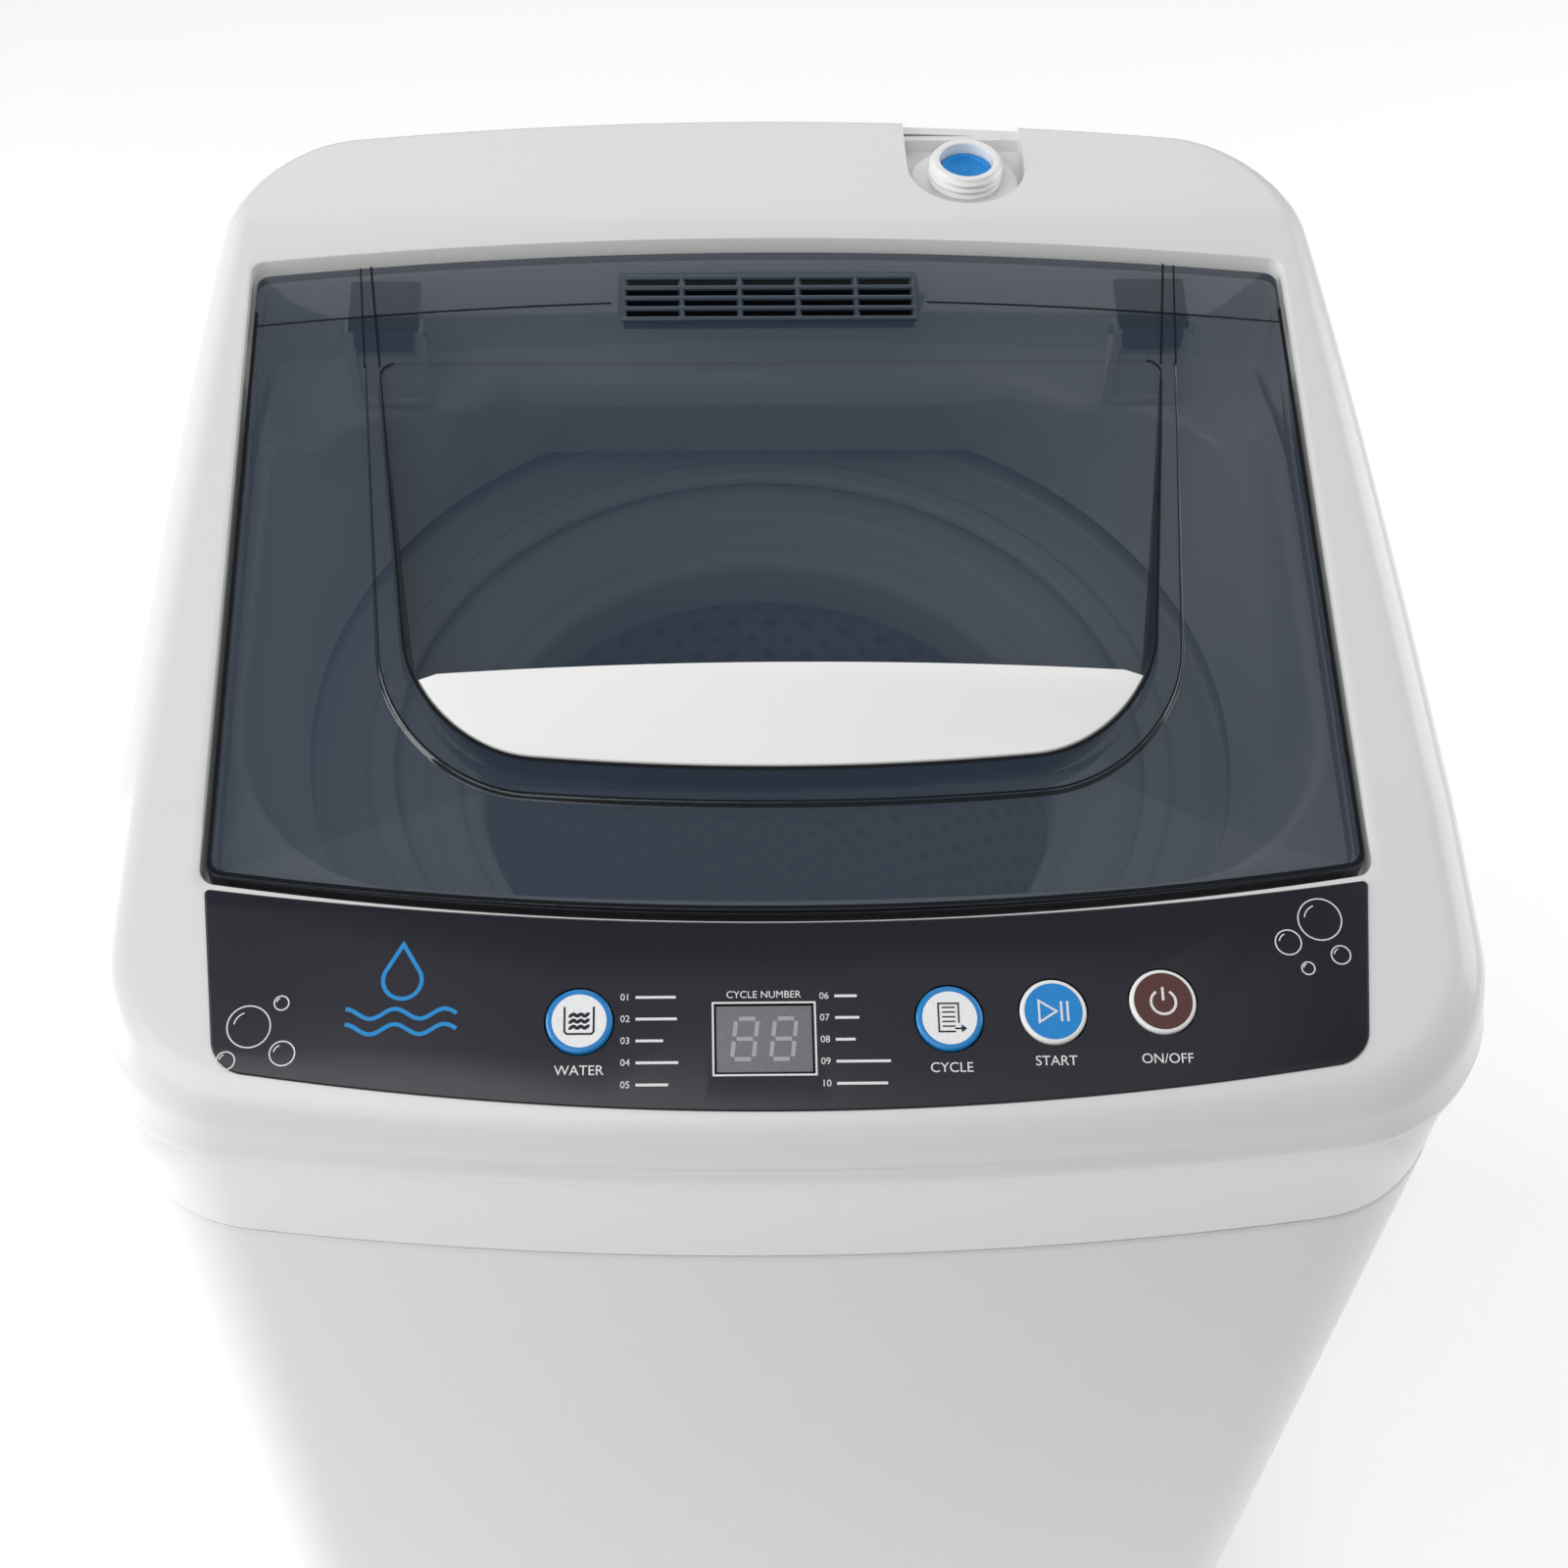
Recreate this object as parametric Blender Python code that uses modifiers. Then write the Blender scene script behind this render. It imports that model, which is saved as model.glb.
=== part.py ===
"""Compact top load washing machine, modelled in metres: +Z up, front towards -Y, origin on the
floor under the middle of its bounding box. Every named object is one separate piece."""

import math

import bmesh
import bpy
from mathutils import Matrix, Vector

# ---- overall sizes -----------------------------------------------------------------------------
HALF_WIDTH = 0.2115  # half of the widest line, the lip of the top cover
FRONT_Y = -0.1800  # front line at the corners; the front bows out from it
BACK_Y = 0.1815
FRONT_BOW = 0.0175
BACK_BOW = 0.016
CORNER_R = 0.046
HALF_DEPTH = min(BACK_Y, -FRONT_Y)
BODY_HALF = min(HALF_WIDTH, HALF_DEPTH)  # what the round tub has to fit in
FIT = 0.0004  # gap kept between pieces that touch

# ---- top cover ---------------------------------------------------------------------------------
SEAM_Z = 0.5655  # lower edge of the cover
LIP_Z = 0.6100  # where the skirt steps out into the lip
LIP_STEP = 0.0025
LIP_TOP_Z = 0.6205
DECK_Z = 0.6970
COVER_WALL = 0.0025
SIDE_DRAFT = 0.75  # share of its width that the cover loses per metre above the lip, at the front
BACK_EDGE_R = 0.005
FRONT_EDGE_R = 0.012

# ---- lid and the recess that it lies in ---------------------------------------------------------
LID_HALF = 0.174
LID_TAPER = 0.10  # the lid is wider at the back
LID_FRONT_Y = -0.115
LID_BACK_Y = BACK_Y - 0.0675
LID_FRONT_BOW = 0.013
LID_BACK_BOW = 0.0105
LID_CORNER_R = 0.004
LID_SLOPE = math.radians(8.8)
LID_FRONT_Z = 0.655  # lid surface at LID_FRONT_Y
LID_WALL = 0.003
LID_GAP = 0.0015
RECESS_BACK_GAP = 0.0036  # room behind the lid, which its back edge swings through
RIM_DEPTH = 0.009
RAIL_RISE = 0.0025  # rails stand this much above the lid
LEDGE_DEPTH = 0.012
TROUGH_Z = 0.648  # floor of the trough that the lid's back edge turns down into
TROUGH_START_Y = LID_BACK_Y - 0.062
TROUGH_END_Y = LID_BACK_Y - 0.038

# ---- loading mouth and collar -------------------------------------------------------------------
MOUTH_HALF = 0.1675
MOUTH_FRONT_Y = -0.104
MOUTH_FRONT_BOW = 0.011
MOUTH_BACK_Y = LID_BACK_Y - 0.020
MOUTH_BACK_BOW = 0.003
MOUTH_STEP = 0.012  # the middle of the mouth's back edge lies this much further back
MOUTH_STEP_START = 0.088  # half width where that step begins, and where it has ended
MOUTH_STEP_END = 0.112
MOUTH_R = 0.050
COLLAR_R = BODY_HALF - 0.020
COLLAR_Z = 0.585
COLLAR_FLAT_Y = BODY_HALF - 0.042  # the collar's lower edge runs straight here, at the back

# ---- grip pocket in the lid ---------------------------------------------------------------------
TONGUE_HALF = 0.1297
TONGUE_FRONT_Y = -0.086
TONGUE_FRONT_BOW = 0.008
TONGUE_TAPER = 0.72
TONGUE_SPREAD = 25.0  # taper that the inner lines gain per metre of inset
TONGUE_SIDE_SHARE = 0.6  # share of an inset that its sides move in by
TONGUE_BACK_Y = LID_BACK_Y - 0.032
TONGUE_R = 0.046
TONGUE_RISE = 0.0015
TONGUE_BAND = 0.0125
POCKET_DEPTH = 0.017  # depth of the pocket floor at its front end
POCKET_LEAN = 0.30  # how far the pocket wall leans in, per metre of depth
HANDLE_T = 0.0030
HANDLE_BACK_Y = -0.0475
HANDLE_BACK_BOW = 0.004
GRILLE_HALF = 0.051
GRILLE_Y = LID_BACK_Y - 0.0175
GRILLE_COLUMNS = 5
GRILLE_ROWS = 4
GRILLE_PITCH = 0.0046
GRILLE_SLOT = 0.0026
GRILLE_RIB = 0.0024

# ---- control panel ------------------------------------------------------------------------------
PANEL_SLOPE = math.radians(16.0)
PANEL_TOP_Y = -0.1192  # top edge at the corners
PANEL_TOP_Z = 0.6530
PANEL_LENGTH = 0.0543  # along the slope
PANEL_HALF = 0.1715
PANEL_BOTTOM_BOW = 0.0135
PANEL_TOP_BOW = 0.0118
PANEL_R = 0.008
PANEL_T = 0.0016
PANEL_SINK = 0.0010
BUTTON_R = 0.0097
BUTTON_GAP = 0.0005
BUTTON_DEEP = 0.0080
BUTTON_PROUD = 0.0008
BUTTONS = {  # name: (x, distance down the slope)
    "level_button": (-0.0612, 0.0413),
    "program_button": (0.0455, 0.0413),
    "start_button": (0.0756, 0.0396),
    "power_button": (0.1076, 0.0368),
}
BUTTON_MATERIALS = {"start_button": "blue_plastic", "power_button": "brown_plastic"}
DISPLAY = (-0.0080, 0.0468, 0.0285, 0.0205)  # x, distance down the slope, width, height
BOARD_DROP = 0.0120
BOARD = (0.190, 0.034, 0.0016)
BOARD_V = 0.0413
TRAY_WALL = 0.0015

# ---- water inlet --------------------------------------------------------------------------------
INLET_X = 0.072
INLET_Y = BACK_Y - 0.016
NOTCH_R = 0.0210
NOTCH_WALL = 0.0025
NOTCH_FLOOR_Z = 0.6880
NOTCH_BACK_Y = BACK_Y + 0.0047
NOTCH_REAR_Z = 0.6930
NOZZLE_R = 0.0132
NOZZLE_BORE_R = 0.0095
NOZZLE_TOP_Z = 0.7000
FLANGE_R = 0.0195
FLANGE_T = 0.0018
VALVE_BODY = (0.030, 0.030, 0.040)

# ---- cabinet and base ---------------------------------------------------------------------------
CABINET_INSET = 0.0020
CABINET_WALL = 0.0025
CABINET_TOP_Z = 0.5643
BASE_TOP_Z = 0.0580
BASE_Z = 0.0200
BASE_WALL = 0.0030
BASE_FLANGE = 0.0500
BASE_INNER_R = 0.0200
FOOT_X = HALF_WIDTH - 0.0535
FOOT_Y = HALF_DEPTH - 0.040
FOOT_R = 0.0180
FOOT_STUD_R = 0.0040
REAR_HALF = 0.120
REAR_Z = (0.090, 0.500)
REAR_LAP = 0.010
REAR_T = 0.0012
OUTLET_X = 0.148
OUTLET_Z = 0.110

# ---- tub, basket and drive ----------------------------------------------------------------------
TUB_R = BODY_HALF - 0.007
TUB_WALL = 0.0030
TUB_Z = 0.1750
TUB_TOP_Z = 0.5600
RING_R = TUB_R + 0.004
RING_MOUTH_R = TUB_R - 0.041
RING_TOP_Z = 0.5760
BASKET_R = TUB_R - 0.020
BASKET_WALL = 0.0020
BASKET_Z = 0.2150
BASKET_TOP_Z = 0.5400
BALANCE_MOUTH_R = BASKET_R - 0.0505
BALANCE_TOP_Z = 0.5690
PULSATOR_R = BASKET_R - 0.028
PULSATOR_Z = 0.2210
SHAFT_R = 0.0080
SHAFT_FIT = 0.0006
SPIN_SHAFT_R = 0.0140
PLATE = (0.300, 0.120, 0.0030)
MOTOR_X = 0.105
MOTOR_R = 0.0500
MOTOR_SHAFT_R = 0.0050
DRIVEN_GROOVE_R = 0.0520
MOTOR_GROOVE_R = 0.0130
PULLEY_RIM = 0.0040
BELT_T = 0.0030
BELT_H = 0.0080
BELT_Z = 0.0560
HOUSING_R = 0.0360
HOUSING_Z = 0.0850

# ---- suspension ---------------------------------------------------------------------------------
ROD_X = HALF_WIDTH - 0.0515
ROD_Y = HALF_DEPTH - 0.037
ROD_R = 0.0030
ROD_CUP_Z = 0.1400
LUG_Z = 0.2050
LUG_T = 0.0100
LUG_HALF = 0.0140
LUG_REACH = 0.0160  # how far the lug goes on past the rod
FRAME_Z = 0.5450
FRAME_T = 0.0040
SPRING_R = 0.0105
SPRING_WIRE = 0.0013
SPRING_TURNS = 5

# ---- hinges -------------------------------------------------------------------------------------
HINGE_Y = LID_BACK_Y - 0.017
HINGE_Z = 0.6800
HINGE_X = 0.1320
HINGE_PIN_R = 0.0018
HINGE_ARM_HALF = 0.0100
HINGE_EAR_T = 0.0030
HINGE_EAR_DEPTH = 0.0064
HINGE_EAR_TOP_Z = 0.6832

# how many straight pieces each stretch of an outline has
SIDE_STEPS = 6
END_STEPS = 8
CORNER_STEPS = 4
ROUND = 40

PAINTS = {  # name: (linear colour, roughness, metallic)
    "white_plastic": ((0.75, 0.75, 0.74), 0.35, 0.0),
    "grey_plastic": ((0.45, 0.46, 0.48), 0.5, 0.0),
    "black_plastic": ((0.02, 0.02, 0.022), 0.5, 0.0),
    "smoked_plastic": ((0.05, 0.07, 0.09), 0.1, 0.0),
    "panel_film": ((0.02, 0.021, 0.027), 0.25, 0.0),
    "blue_plastic": ((0.01, 0.25, 0.65), 0.3, 0.0),
    "brown_plastic": ((0.06, 0.02, 0.02), 0.3, 0.0),
    "steel": ((0.55, 0.56, 0.57), 0.3, 1.0),
    "rubber": ((0.03, 0.03, 0.03), 0.8, 0.0),
    "board_green": ((0.02, 0.12, 0.05), 0.6, 0.0),
}


# ---- scene helpers ------------------------------------------------------------------------------
def clear_scene():
    """Removes whatever the scene held."""
    for old in list(bpy.data.objects):
        bpy.data.objects.remove(old)


def collection(name, hidden=False):
    """Makes a collection in the scene."""
    made = bpy.data.collections.new(name)
    bpy.context.scene.collection.children.link(made)
    made.hide_render = hidden
    return made


def paint(name):
    """The named material, made on first use."""
    found = bpy.data.materials.get(name)
    if found:
        return found
    colour, roughness, metallic = PAINTS[name]
    made = bpy.data.materials.new(name)
    made.use_nodes = True
    shader = made.node_tree.nodes["Principled BSDF"]
    shader.inputs["Base Color"].default_value = (*colour, 1.0)
    shader.inputs["Roughness"].default_value = roughness
    shader.inputs["Metallic"].default_value = metallic
    return made


def place(obj, material, smooth=True):
    """Puts a finished piece in the washer's collection."""
    for home in list(obj.users_collection):
        home.objects.unlink(obj)
    WASHER.objects.link(obj)
    if obj.type == "MESH":
        obj.data.materials.clear()
        obj.data.materials.append(paint(material))
        if smooth:
            obj.data.shade_smooth()
            obj.data.set_sharp_from_angle(angle=math.radians(35))
    return obj


def helper(obj):
    """Marks a cutter or a shape that is only joined into another."""
    for home in list(obj.users_collection):
        home.objects.unlink(obj)
    CUTTERS.objects.link(obj)
    obj.hide_render = True
    obj.display_type = "WIRE"
    return obj


def boolean(target, tool, operation):
    """Adds a live Boolean with an object that is kept as a helper."""
    helper(tool)
    modifier = target.modifiers.new(operation.lower(), "BOOLEAN")
    modifier.operation = operation
    modifier.object = tool
    return target


def cut(target, *tools):
    """Cuts each tool out of the target."""
    for tool in tools:
        boolean(target, tool, "DIFFERENCE")
    return target


def join(target, *tools):
    """Joins each tool to the target as one body."""
    for tool in tools:
        boolean(target, tool, "UNION")
    return target


def mesh_object(name, points, faces):
    """An object from points and faces, its faces turned to point out."""
    mesh = bpy.data.meshes.new(name)
    mesh.from_pydata([tuple(p) for p in points], [], faces)
    shape = bmesh.new()
    shape.from_mesh(mesh)
    bmesh.ops.recalc_face_normals(shape, faces=shape.faces)
    shape.to_mesh(mesh)
    shape.free()
    return in_scene(bpy.data.objects.new(name, mesh))


def in_scene(obj):
    """Links a new object to the scene, so that modifiers and other tools can reach it."""
    bpy.context.scene.collection.objects.link(obj)
    return obj


def box(name, size, centre, turn=(0.0, 0.0, 0.0), bevel=0.0):
    """A block of that size, its edges rounded if bevel is given."""
    bpy.ops.mesh.primitive_cube_add(size=1.0, location=centre, rotation=turn)
    made = bpy.context.active_object
    made.name = name
    made.data.transform(Matrix.Diagonal((*size, 1.0)))
    if bevel:
        rounding = made.modifiers.new("edges", "BEVEL")
        rounding.width = bevel
        rounding.segments = 2
    return made


def cylinder(name, radius, low, high, at=(0.0, 0.0), sides=ROUND, turn=(0.0, 0.0, 0.0)):
    """An upright cylinder from height low to high."""
    bpy.ops.mesh.primitive_cylinder_add(
        vertices=sides,
        radius=radius,
        depth=high - low,
        location=(at[0], at[1], (low + high) / 2),
        rotation=turn,
    )
    made = bpy.context.active_object
    made.name = name
    return made


def turned(name, profile, at=(0.0, 0.0), sides=ROUND, closed=False):
    """A turned piece. The profile is (radius, height) points that run down its outer side."""
    mesh = bpy.data.meshes.new(name)
    edges = [(i, i + 1) for i in range(len(profile) - 1)]
    if closed:
        edges.append((len(profile) - 1, 0))
    mesh.from_pydata([(r, 0.0, z) for r, z in profile], edges, [])
    made = in_scene(bpy.data.objects.new(name, mesh))
    made.location = (at[0], at[1], 0.0)
    screw = made.modifiers.new("turn", "SCREW")
    screw.steps = sides
    screw.render_steps = sides
    screw.use_merge_vertices = True
    screw.merge_threshold = 0.00001
    return made


def baked(obj):
    """The object with its modifiers applied and its place moved into its mesh."""
    graph = bpy.context.evaluated_depsgraph_get()
    mesh = bpy.data.meshes.new_from_object(obj.evaluated_get(graph))
    mesh.transform(obj.matrix_world)
    name = obj.name
    bpy.data.objects.remove(obj)
    shape = bmesh.new()
    shape.from_mesh(mesh)
    bmesh.ops.remove_doubles(shape, verts=shape.verts, dist=0.00001)
    shape.to_mesh(mesh)
    shape.free()
    return in_scene(bpy.data.objects.new(name, mesh))


def stack(name, loops, ends="cap"):
    """A surface through loops of equally many points, as (x, y, z). Its ends are capped, left
    open, or joined to each other as a closed ring."""
    count = len(loops[0])
    points = [p for loop in loops for p in loop]
    faces = []
    rows = len(loops) if ends == "ring" else len(loops) - 1
    for row in range(rows):
        here, above = row * count, (row + 1) % len(loops) * count
        for i in range(count):
            j = (i + 1) % count
            faces.append((here + i, here + j, above + j, above + i))
    if ends == "cap":
        faces.append(tuple(range(count)))
        faces.append(tuple(range((len(loops) - 1) * count, len(loops) * count)))
    return mesh_object(name, points, faces)


# ---- outlines -----------------------------------------------------------------------------------
def outline(half, front, back, front_r, back_r, front_bow=0.0, back_bow=0.0, taper=0.0):
    """A rounded rectangle as (x, y) points, counter-clockwise from the left end of the front.
    Its front and back bow out, and taper widens it towards the back."""

    def line(start, end, steps):
        return [
            (start[0] + (end[0] - start[0]) * i / steps, start[1] + (end[1] - start[1]) * i / steps)
            for i in range(steps)
        ]

    def arc(centre, radius, start):
        return [
            (
                centre[0] + radius * math.cos(start + math.pi / 2 * i / CORNER_STEPS),
                centre[1] + radius * math.sin(start + math.pi / 2 * i / CORNER_STEPS),
            )
            for i in range(CORNER_STEPS)
        ]

    fx, bx = half - front_r, half - back_r
    points = line((-fx, front), (fx, front), END_STEPS)
    points += arc((fx, front + front_r), front_r, -math.pi / 2)
    points += line((half, front + front_r), (half, back - back_r), SIDE_STEPS)
    points += arc((bx, back - back_r), back_r, 0.0)
    points += line((bx, back), (-bx, back), END_STEPS)
    points += arc((-bx, back - back_r), back_r, math.pi / 2)
    points += line((-half, back - back_r), (-half, front + front_r), SIDE_STEPS)
    points += arc((-fx, front + front_r), front_r, math.pi)
    middle = (front + back) / 2
    bent = []
    for x, y in points:
        bulge = 1 - (x / half) ** 2
        y += back_bow * bulge if y > middle else -front_bow * bulge
        bent.append((x * (1 + taper * y), y))
    return bent


def body_outline(inset):
    """The plan of the machine, moved in by inset."""
    return outline(
        HALF_WIDTH - inset,
        FRONT_Y + inset,
        BACK_Y - inset,
        CORNER_R - inset,
        CORNER_R - inset,
        FRONT_BOW,
        BACK_BOW,
    )


def recess_outline(grow=0.0):
    """The plan of the lid's recess."""
    return outline(
        LID_HALF + LID_GAP + grow,
        LID_FRONT_Y - LID_GAP - grow,
        LID_BACK_Y + RECESS_BACK_GAP + grow,
        LID_CORNER_R + grow,
        LID_CORNER_R + grow,
        LID_FRONT_BOW,
        LID_BACK_BOW,
        LID_TAPER,
    )


def lid_outline(inset=0.0):
    """The plan of the lid."""
    return outline(
        LID_HALF - inset,
        LID_FRONT_Y + inset,
        LID_BACK_Y - inset,
        LID_CORNER_R,
        LID_CORNER_R,
        LID_FRONT_BOW,
        LID_BACK_BOW,
        LID_TAPER,
    )


def tongue_outline(inset):
    """The plan of the raised tongue on the lid and, further in, of the pocket."""
    return outline(
        TONGUE_HALF - inset * TONGUE_SIDE_SHARE,
        TONGUE_FRONT_Y + inset,
        TONGUE_BACK_Y - inset / 2,
        TONGUE_R - inset * 0.6,
        0.006,
        TONGUE_FRONT_BOW,
        0.0,
        TONGUE_TAPER + TONGUE_SPREAD * inset,
    )


def mouth_outline():
    """The plan of the loading mouth, its back edge stepped back in the middle."""
    edge = outline(
        MOUTH_HALF, MOUTH_FRONT_Y, MOUTH_BACK_Y, MOUTH_R, MOUTH_R, MOUTH_FRONT_BOW, MOUTH_BACK_BOW
    )
    stepped = []
    for x, y in edge:
        share = (MOUTH_STEP_END - abs(x)) / (MOUTH_STEP_END - MOUTH_STEP_START)
        step = MOUTH_STEP * min(1.0, max(0.0, share)) if y > 0 else 0.0
        stepped.append((x, y + step))
    return stepped


# ---- heights ------------------------------------------------------------------------------------
def lid_z(y):
    """Height of the lid's sloping surface."""
    return LID_FRONT_Z + math.tan(LID_SLOPE) * (y - LID_FRONT_Y)


def panel_z(y):
    """Height of the control panel's plane."""
    return PANEL_TOP_Z + math.tan(PANEL_SLOPE) * (y - PANEL_TOP_Y)


def cover_z(y):
    """Height of the cover's top face: panel plane, rails beside the lid, then the flat deck."""
    return min(panel_z(y), lid_z(y) + RAIL_RISE, DECK_Z)


def ledge_z(y):
    """Height of the ledge round the mouth, which drops into the trough behind."""
    share = min(1.0, max(0.0, (y - TROUGH_START_Y) / (TROUGH_END_Y - TROUGH_START_Y)))
    return (lid_z(y) - LEDGE_DEPTH) * (1 - share) + TROUGH_Z * share


def level(points, z):
    """Points at one height."""
    return [(x, y, z) for x, y in points]


def draped(points, height):
    """Points at the height that a function of y gives."""
    return [(x, y, height(y)) for x, y in points]


# ---- top cover ----------------------------------------------------------------------------------
def cover_edge_loop(turn):
    """One loop of the cover's rounded top edge; turn goes from 0 at the wall to 1 on top."""
    loop = []
    for i, (_, y) in enumerate(body_outline(0.0)):
        share = min(1.0, max(0.0, (y - FRONT_Y) / (BACK_Y - FRONT_Y)))
        radius = FRONT_EDGE_R + (BACK_EDGE_R - FRONT_EDGE_R) * share**4
        inset = radius * (1 - math.cos(turn * math.pi / 2)) + 0.002
        x, y = body_outline(inset)[i]
        z = cover_z(y) - radius * (1 - math.sin(turn * math.pi / 2))
        loop.append((x * (1 - SIDE_DRAFT * (1 + share**2) * max(0.0, z - LIP_TOP_Z)), y, z))
    return loop


def collar_loop(share):
    """One loop of the collar, from the mouth at share 0 to its lower edge at 1."""
    loop = []
    for x, y in mouth_outline():
        grow = COLLAR_R / math.hypot(x, y)
        low = (x * grow, min(y * grow, COLLAR_FLAT_Y), COLLAR_Z)
        top = (x, y, ledge_z(y))
        loop.append(tuple(a + (b - a) * share for a, b in zip(top, low)))
    return loop


def panel_point(x, v, lift=0.0):
    """A point on the panel plane, v metres down the slope from its top edge line."""
    return Vector(
        (
            x,
            PANEL_TOP_Y - v * math.cos(PANEL_SLOPE) - lift * math.sin(PANEL_SLOPE),
            PANEL_TOP_Z - v * math.sin(PANEL_SLOPE) + lift * math.cos(PANEL_SLOPE),
        )
    )


def panel_outline(grow=0.0):
    """The panel's outline as (x, v), its lower corners round and both long edges bowed."""
    return outline(
        PANEL_HALF + grow,
        -PANEL_LENGTH - grow,
        grow,
        PANEL_R,
        0.0015,
        PANEL_BOTTOM_BOW,
        -PANEL_TOP_BOW,
        0.65,
    )


def panel_slab(name, low, high, grow=0.0):
    """A slab with the panel's outline, between two heights above the panel plane."""
    points = [(x, -v) for x, v in panel_outline(grow)]
    return stack(name, [[panel_point(x, v, lift) for x, v in points] for lift in (low, high)])


def panel_box(name, x, v, size, low, high, bevel=0.0):
    """A block that stands on the panel plane, between two heights above it."""
    return box(
        name,
        (size[0], size[1], high - low),
        panel_point(x, v, (low + high) / 2),
        (PANEL_SLOPE, 0.0, 0.0),
        bevel,
    )


def panel_cylinder(name, x, v, radius, low, high, sides=20):
    """A cylinder that stands on the panel plane, between two heights above it."""
    centre = panel_point(x, v, (low + high) / 2)
    made = cylinder(name, radius, -(high - low) / 2, (high - low) / 2, sides=sides)
    made.location = centre
    made.rotation_euler = (PANEL_SLOPE, 0.0, 0.0)
    return made


def notch_prism(name, radius, back, low, high):
    """A U-shaped prism, round at the front, that runs back from the inlet."""
    steps = 8
    plan = [
        (
            INLET_X - radius * math.cos(math.pi * i / steps),
            INLET_Y - radius * math.sin(math.pi * i / steps),
        )
        for i in range(steps + 1)
    ]
    plan += [(INLET_X + radius, back), (INLET_X - radius, back)]
    return stack(name, [level(plan, low), level(plan, high)])


def build_top_cover():
    """The one-piece top cover: skirt, lip, rails, deck, lid recess and collar."""
    lip = body_outline(0.0)
    skirt = body_outline(LIP_STEP)
    recess = recess_outline()
    loops = [
        level(skirt, SEAM_Z),
        level(skirt, LIP_Z),
        level(lip, LIP_Z + LIP_STEP),
        level(lip, LIP_TOP_Z - LIP_STEP),
    ]
    loops += [cover_edge_loop(turn) for turn in (0.0, 0.4, 0.7, 1.0)]
    loops += [draped(recess, cover_z), draped(recess, ledge_z)]
    loops += [collar_loop(share) for share in (0.0, 0.5, 1.0)]
    cover = stack("top_cover", loops, "open")
    wall = cover.modifiers.new("wall", "SOLIDIFY")
    wall.thickness = COVER_WALL
    wall.offset = -1.0
    wall.use_even_offset = True
    cover = baked(cover)
    cover.name = "top_cover"
    outer_r = NOTCH_R + NOTCH_WALL
    back = NOTCH_BACK_Y + NOTCH_WALL
    join(cover, notch_prism("notch_block", outer_r, back, NOTCH_FLOOR_Z - NOTCH_WALL, DECK_Z - 0.0015))
    cut(
        cover,
        notch_prism("notch_room", NOTCH_R, NOTCH_BACK_Y, NOTCH_FLOOR_Z, DECK_Z + 0.02),
        box(
            "notch_rear_gap",
            (2 * NOTCH_R, 0.03, 0.02),
            (INLET_X, NOTCH_BACK_Y + 0.01, NOTCH_REAR_Z + 0.01),
        ),
        cylinder(
            "notch_hole",
            NOZZLE_R + BUTTON_GAP,
            NOTCH_FLOOR_Z - 0.01,
            NOTCH_FLOOR_Z + 0.01,
            (INLET_X, INLET_Y),
            24,
        ),
        panel_slab("panel_seat", -PANEL_SINK - FIT, 0.02, FIT),
        panel_box("display_hole", *DISPLAY[:2], (DISPLAY[2], DISPLAY[3]), -0.02, 0.02),
    )
    for name, (x, v) in BUTTONS.items():
        cut(cover, panel_cylinder(name + "_hole", x, v, BUTTON_R + BUTTON_GAP, -0.02, 0.02))
    place(cover, "white_plastic")


# ---- control panel ------------------------------------------------------------------------------
def build_panel():
    """The film-covered fascia, its display window, the four buttons and the board below."""
    top = PANEL_T - PANEL_SINK
    fascia = panel_slab("control_panel", -PANEL_SINK, top)
    x, v, width, height = DISPLAY
    cut(fascia, panel_box("panel_display_hole", x, v, (width, height), -0.01, 0.01))
    for name, (bx, bv) in BUTTONS.items():
        cut(fascia, panel_cylinder(name + "_seat", bx, bv, BUTTON_R + BUTTON_GAP, -0.01, 0.01))
        button = panel_cylinder(name, bx, bv, BUTTON_R, -BUTTON_DEEP, top + BUTTON_PROUD)
        rounding = button.modifiers.new("edges", "BEVEL")
        rounding.width = 0.0005
        rounding.segments = 1
        place(button, BUTTON_MATERIALS.get(name, "white_plastic"))
    place(fascia, "panel_film")
    window = (width - 2 * FIT, height - 2 * FIT)
    place(panel_box("display_window", x, v, window, -COVER_WALL, top - 0.0002), "smoked_plastic")
    board_top = -BOARD_DROP + BOARD[2]
    board = panel_box("control_board", 0.0, BOARD_V, BOARD[:2], -BOARD_DROP, board_top)
    place(board, "board_green", smooth=False)
    wall = 2 * (FIT + TRAY_WALL)
    outer = (BOARD[0] + wall, BOARD[1] + wall)
    room = (BOARD[0] + 2 * FIT, BOARD[1] + 2 * FIT)
    tray = panel_box("board_tray", 0.0, BOARD_V, outer, -BOARD_DROP - 0.008, -BOARD_DROP + 0.003)
    floor = -BOARD_DROP - 0.008 + TRAY_WALL
    cut(tray, panel_box("tray_room", 0.0, BOARD_V, room, floor, 0.02))
    place(tray, "white_plastic", smooth=False)


# ---- lid ----------------------------------------------------------------------------------------
def pocket_depth(y):
    """Depth of the pocket floor, from nothing at the back to its full depth at the front."""
    return POCKET_DEPTH * max(0.0, (TONGUE_BACK_Y - y) / (TONGUE_BACK_Y - TONGUE_FRONT_Y)) + 0.0001


def tongue_rise(y):
    """Height of the tongue's band above the lid, which fades out towards the back."""
    return TONGUE_RISE * min(1.0, max(0.0, (TONGUE_BACK_Y - y) / 0.04))


def rim_depth(y):
    """Depth of the lid's turned-down rim, which stops short of the hinge line."""
    share = min(1.0, max(0.0, (y - TROUGH_START_Y) / (TROUGH_END_Y - TROUGH_START_Y)))
    return RIM_DEPTH + (LID_WALL + FIT - RIM_DEPTH) * share


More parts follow.
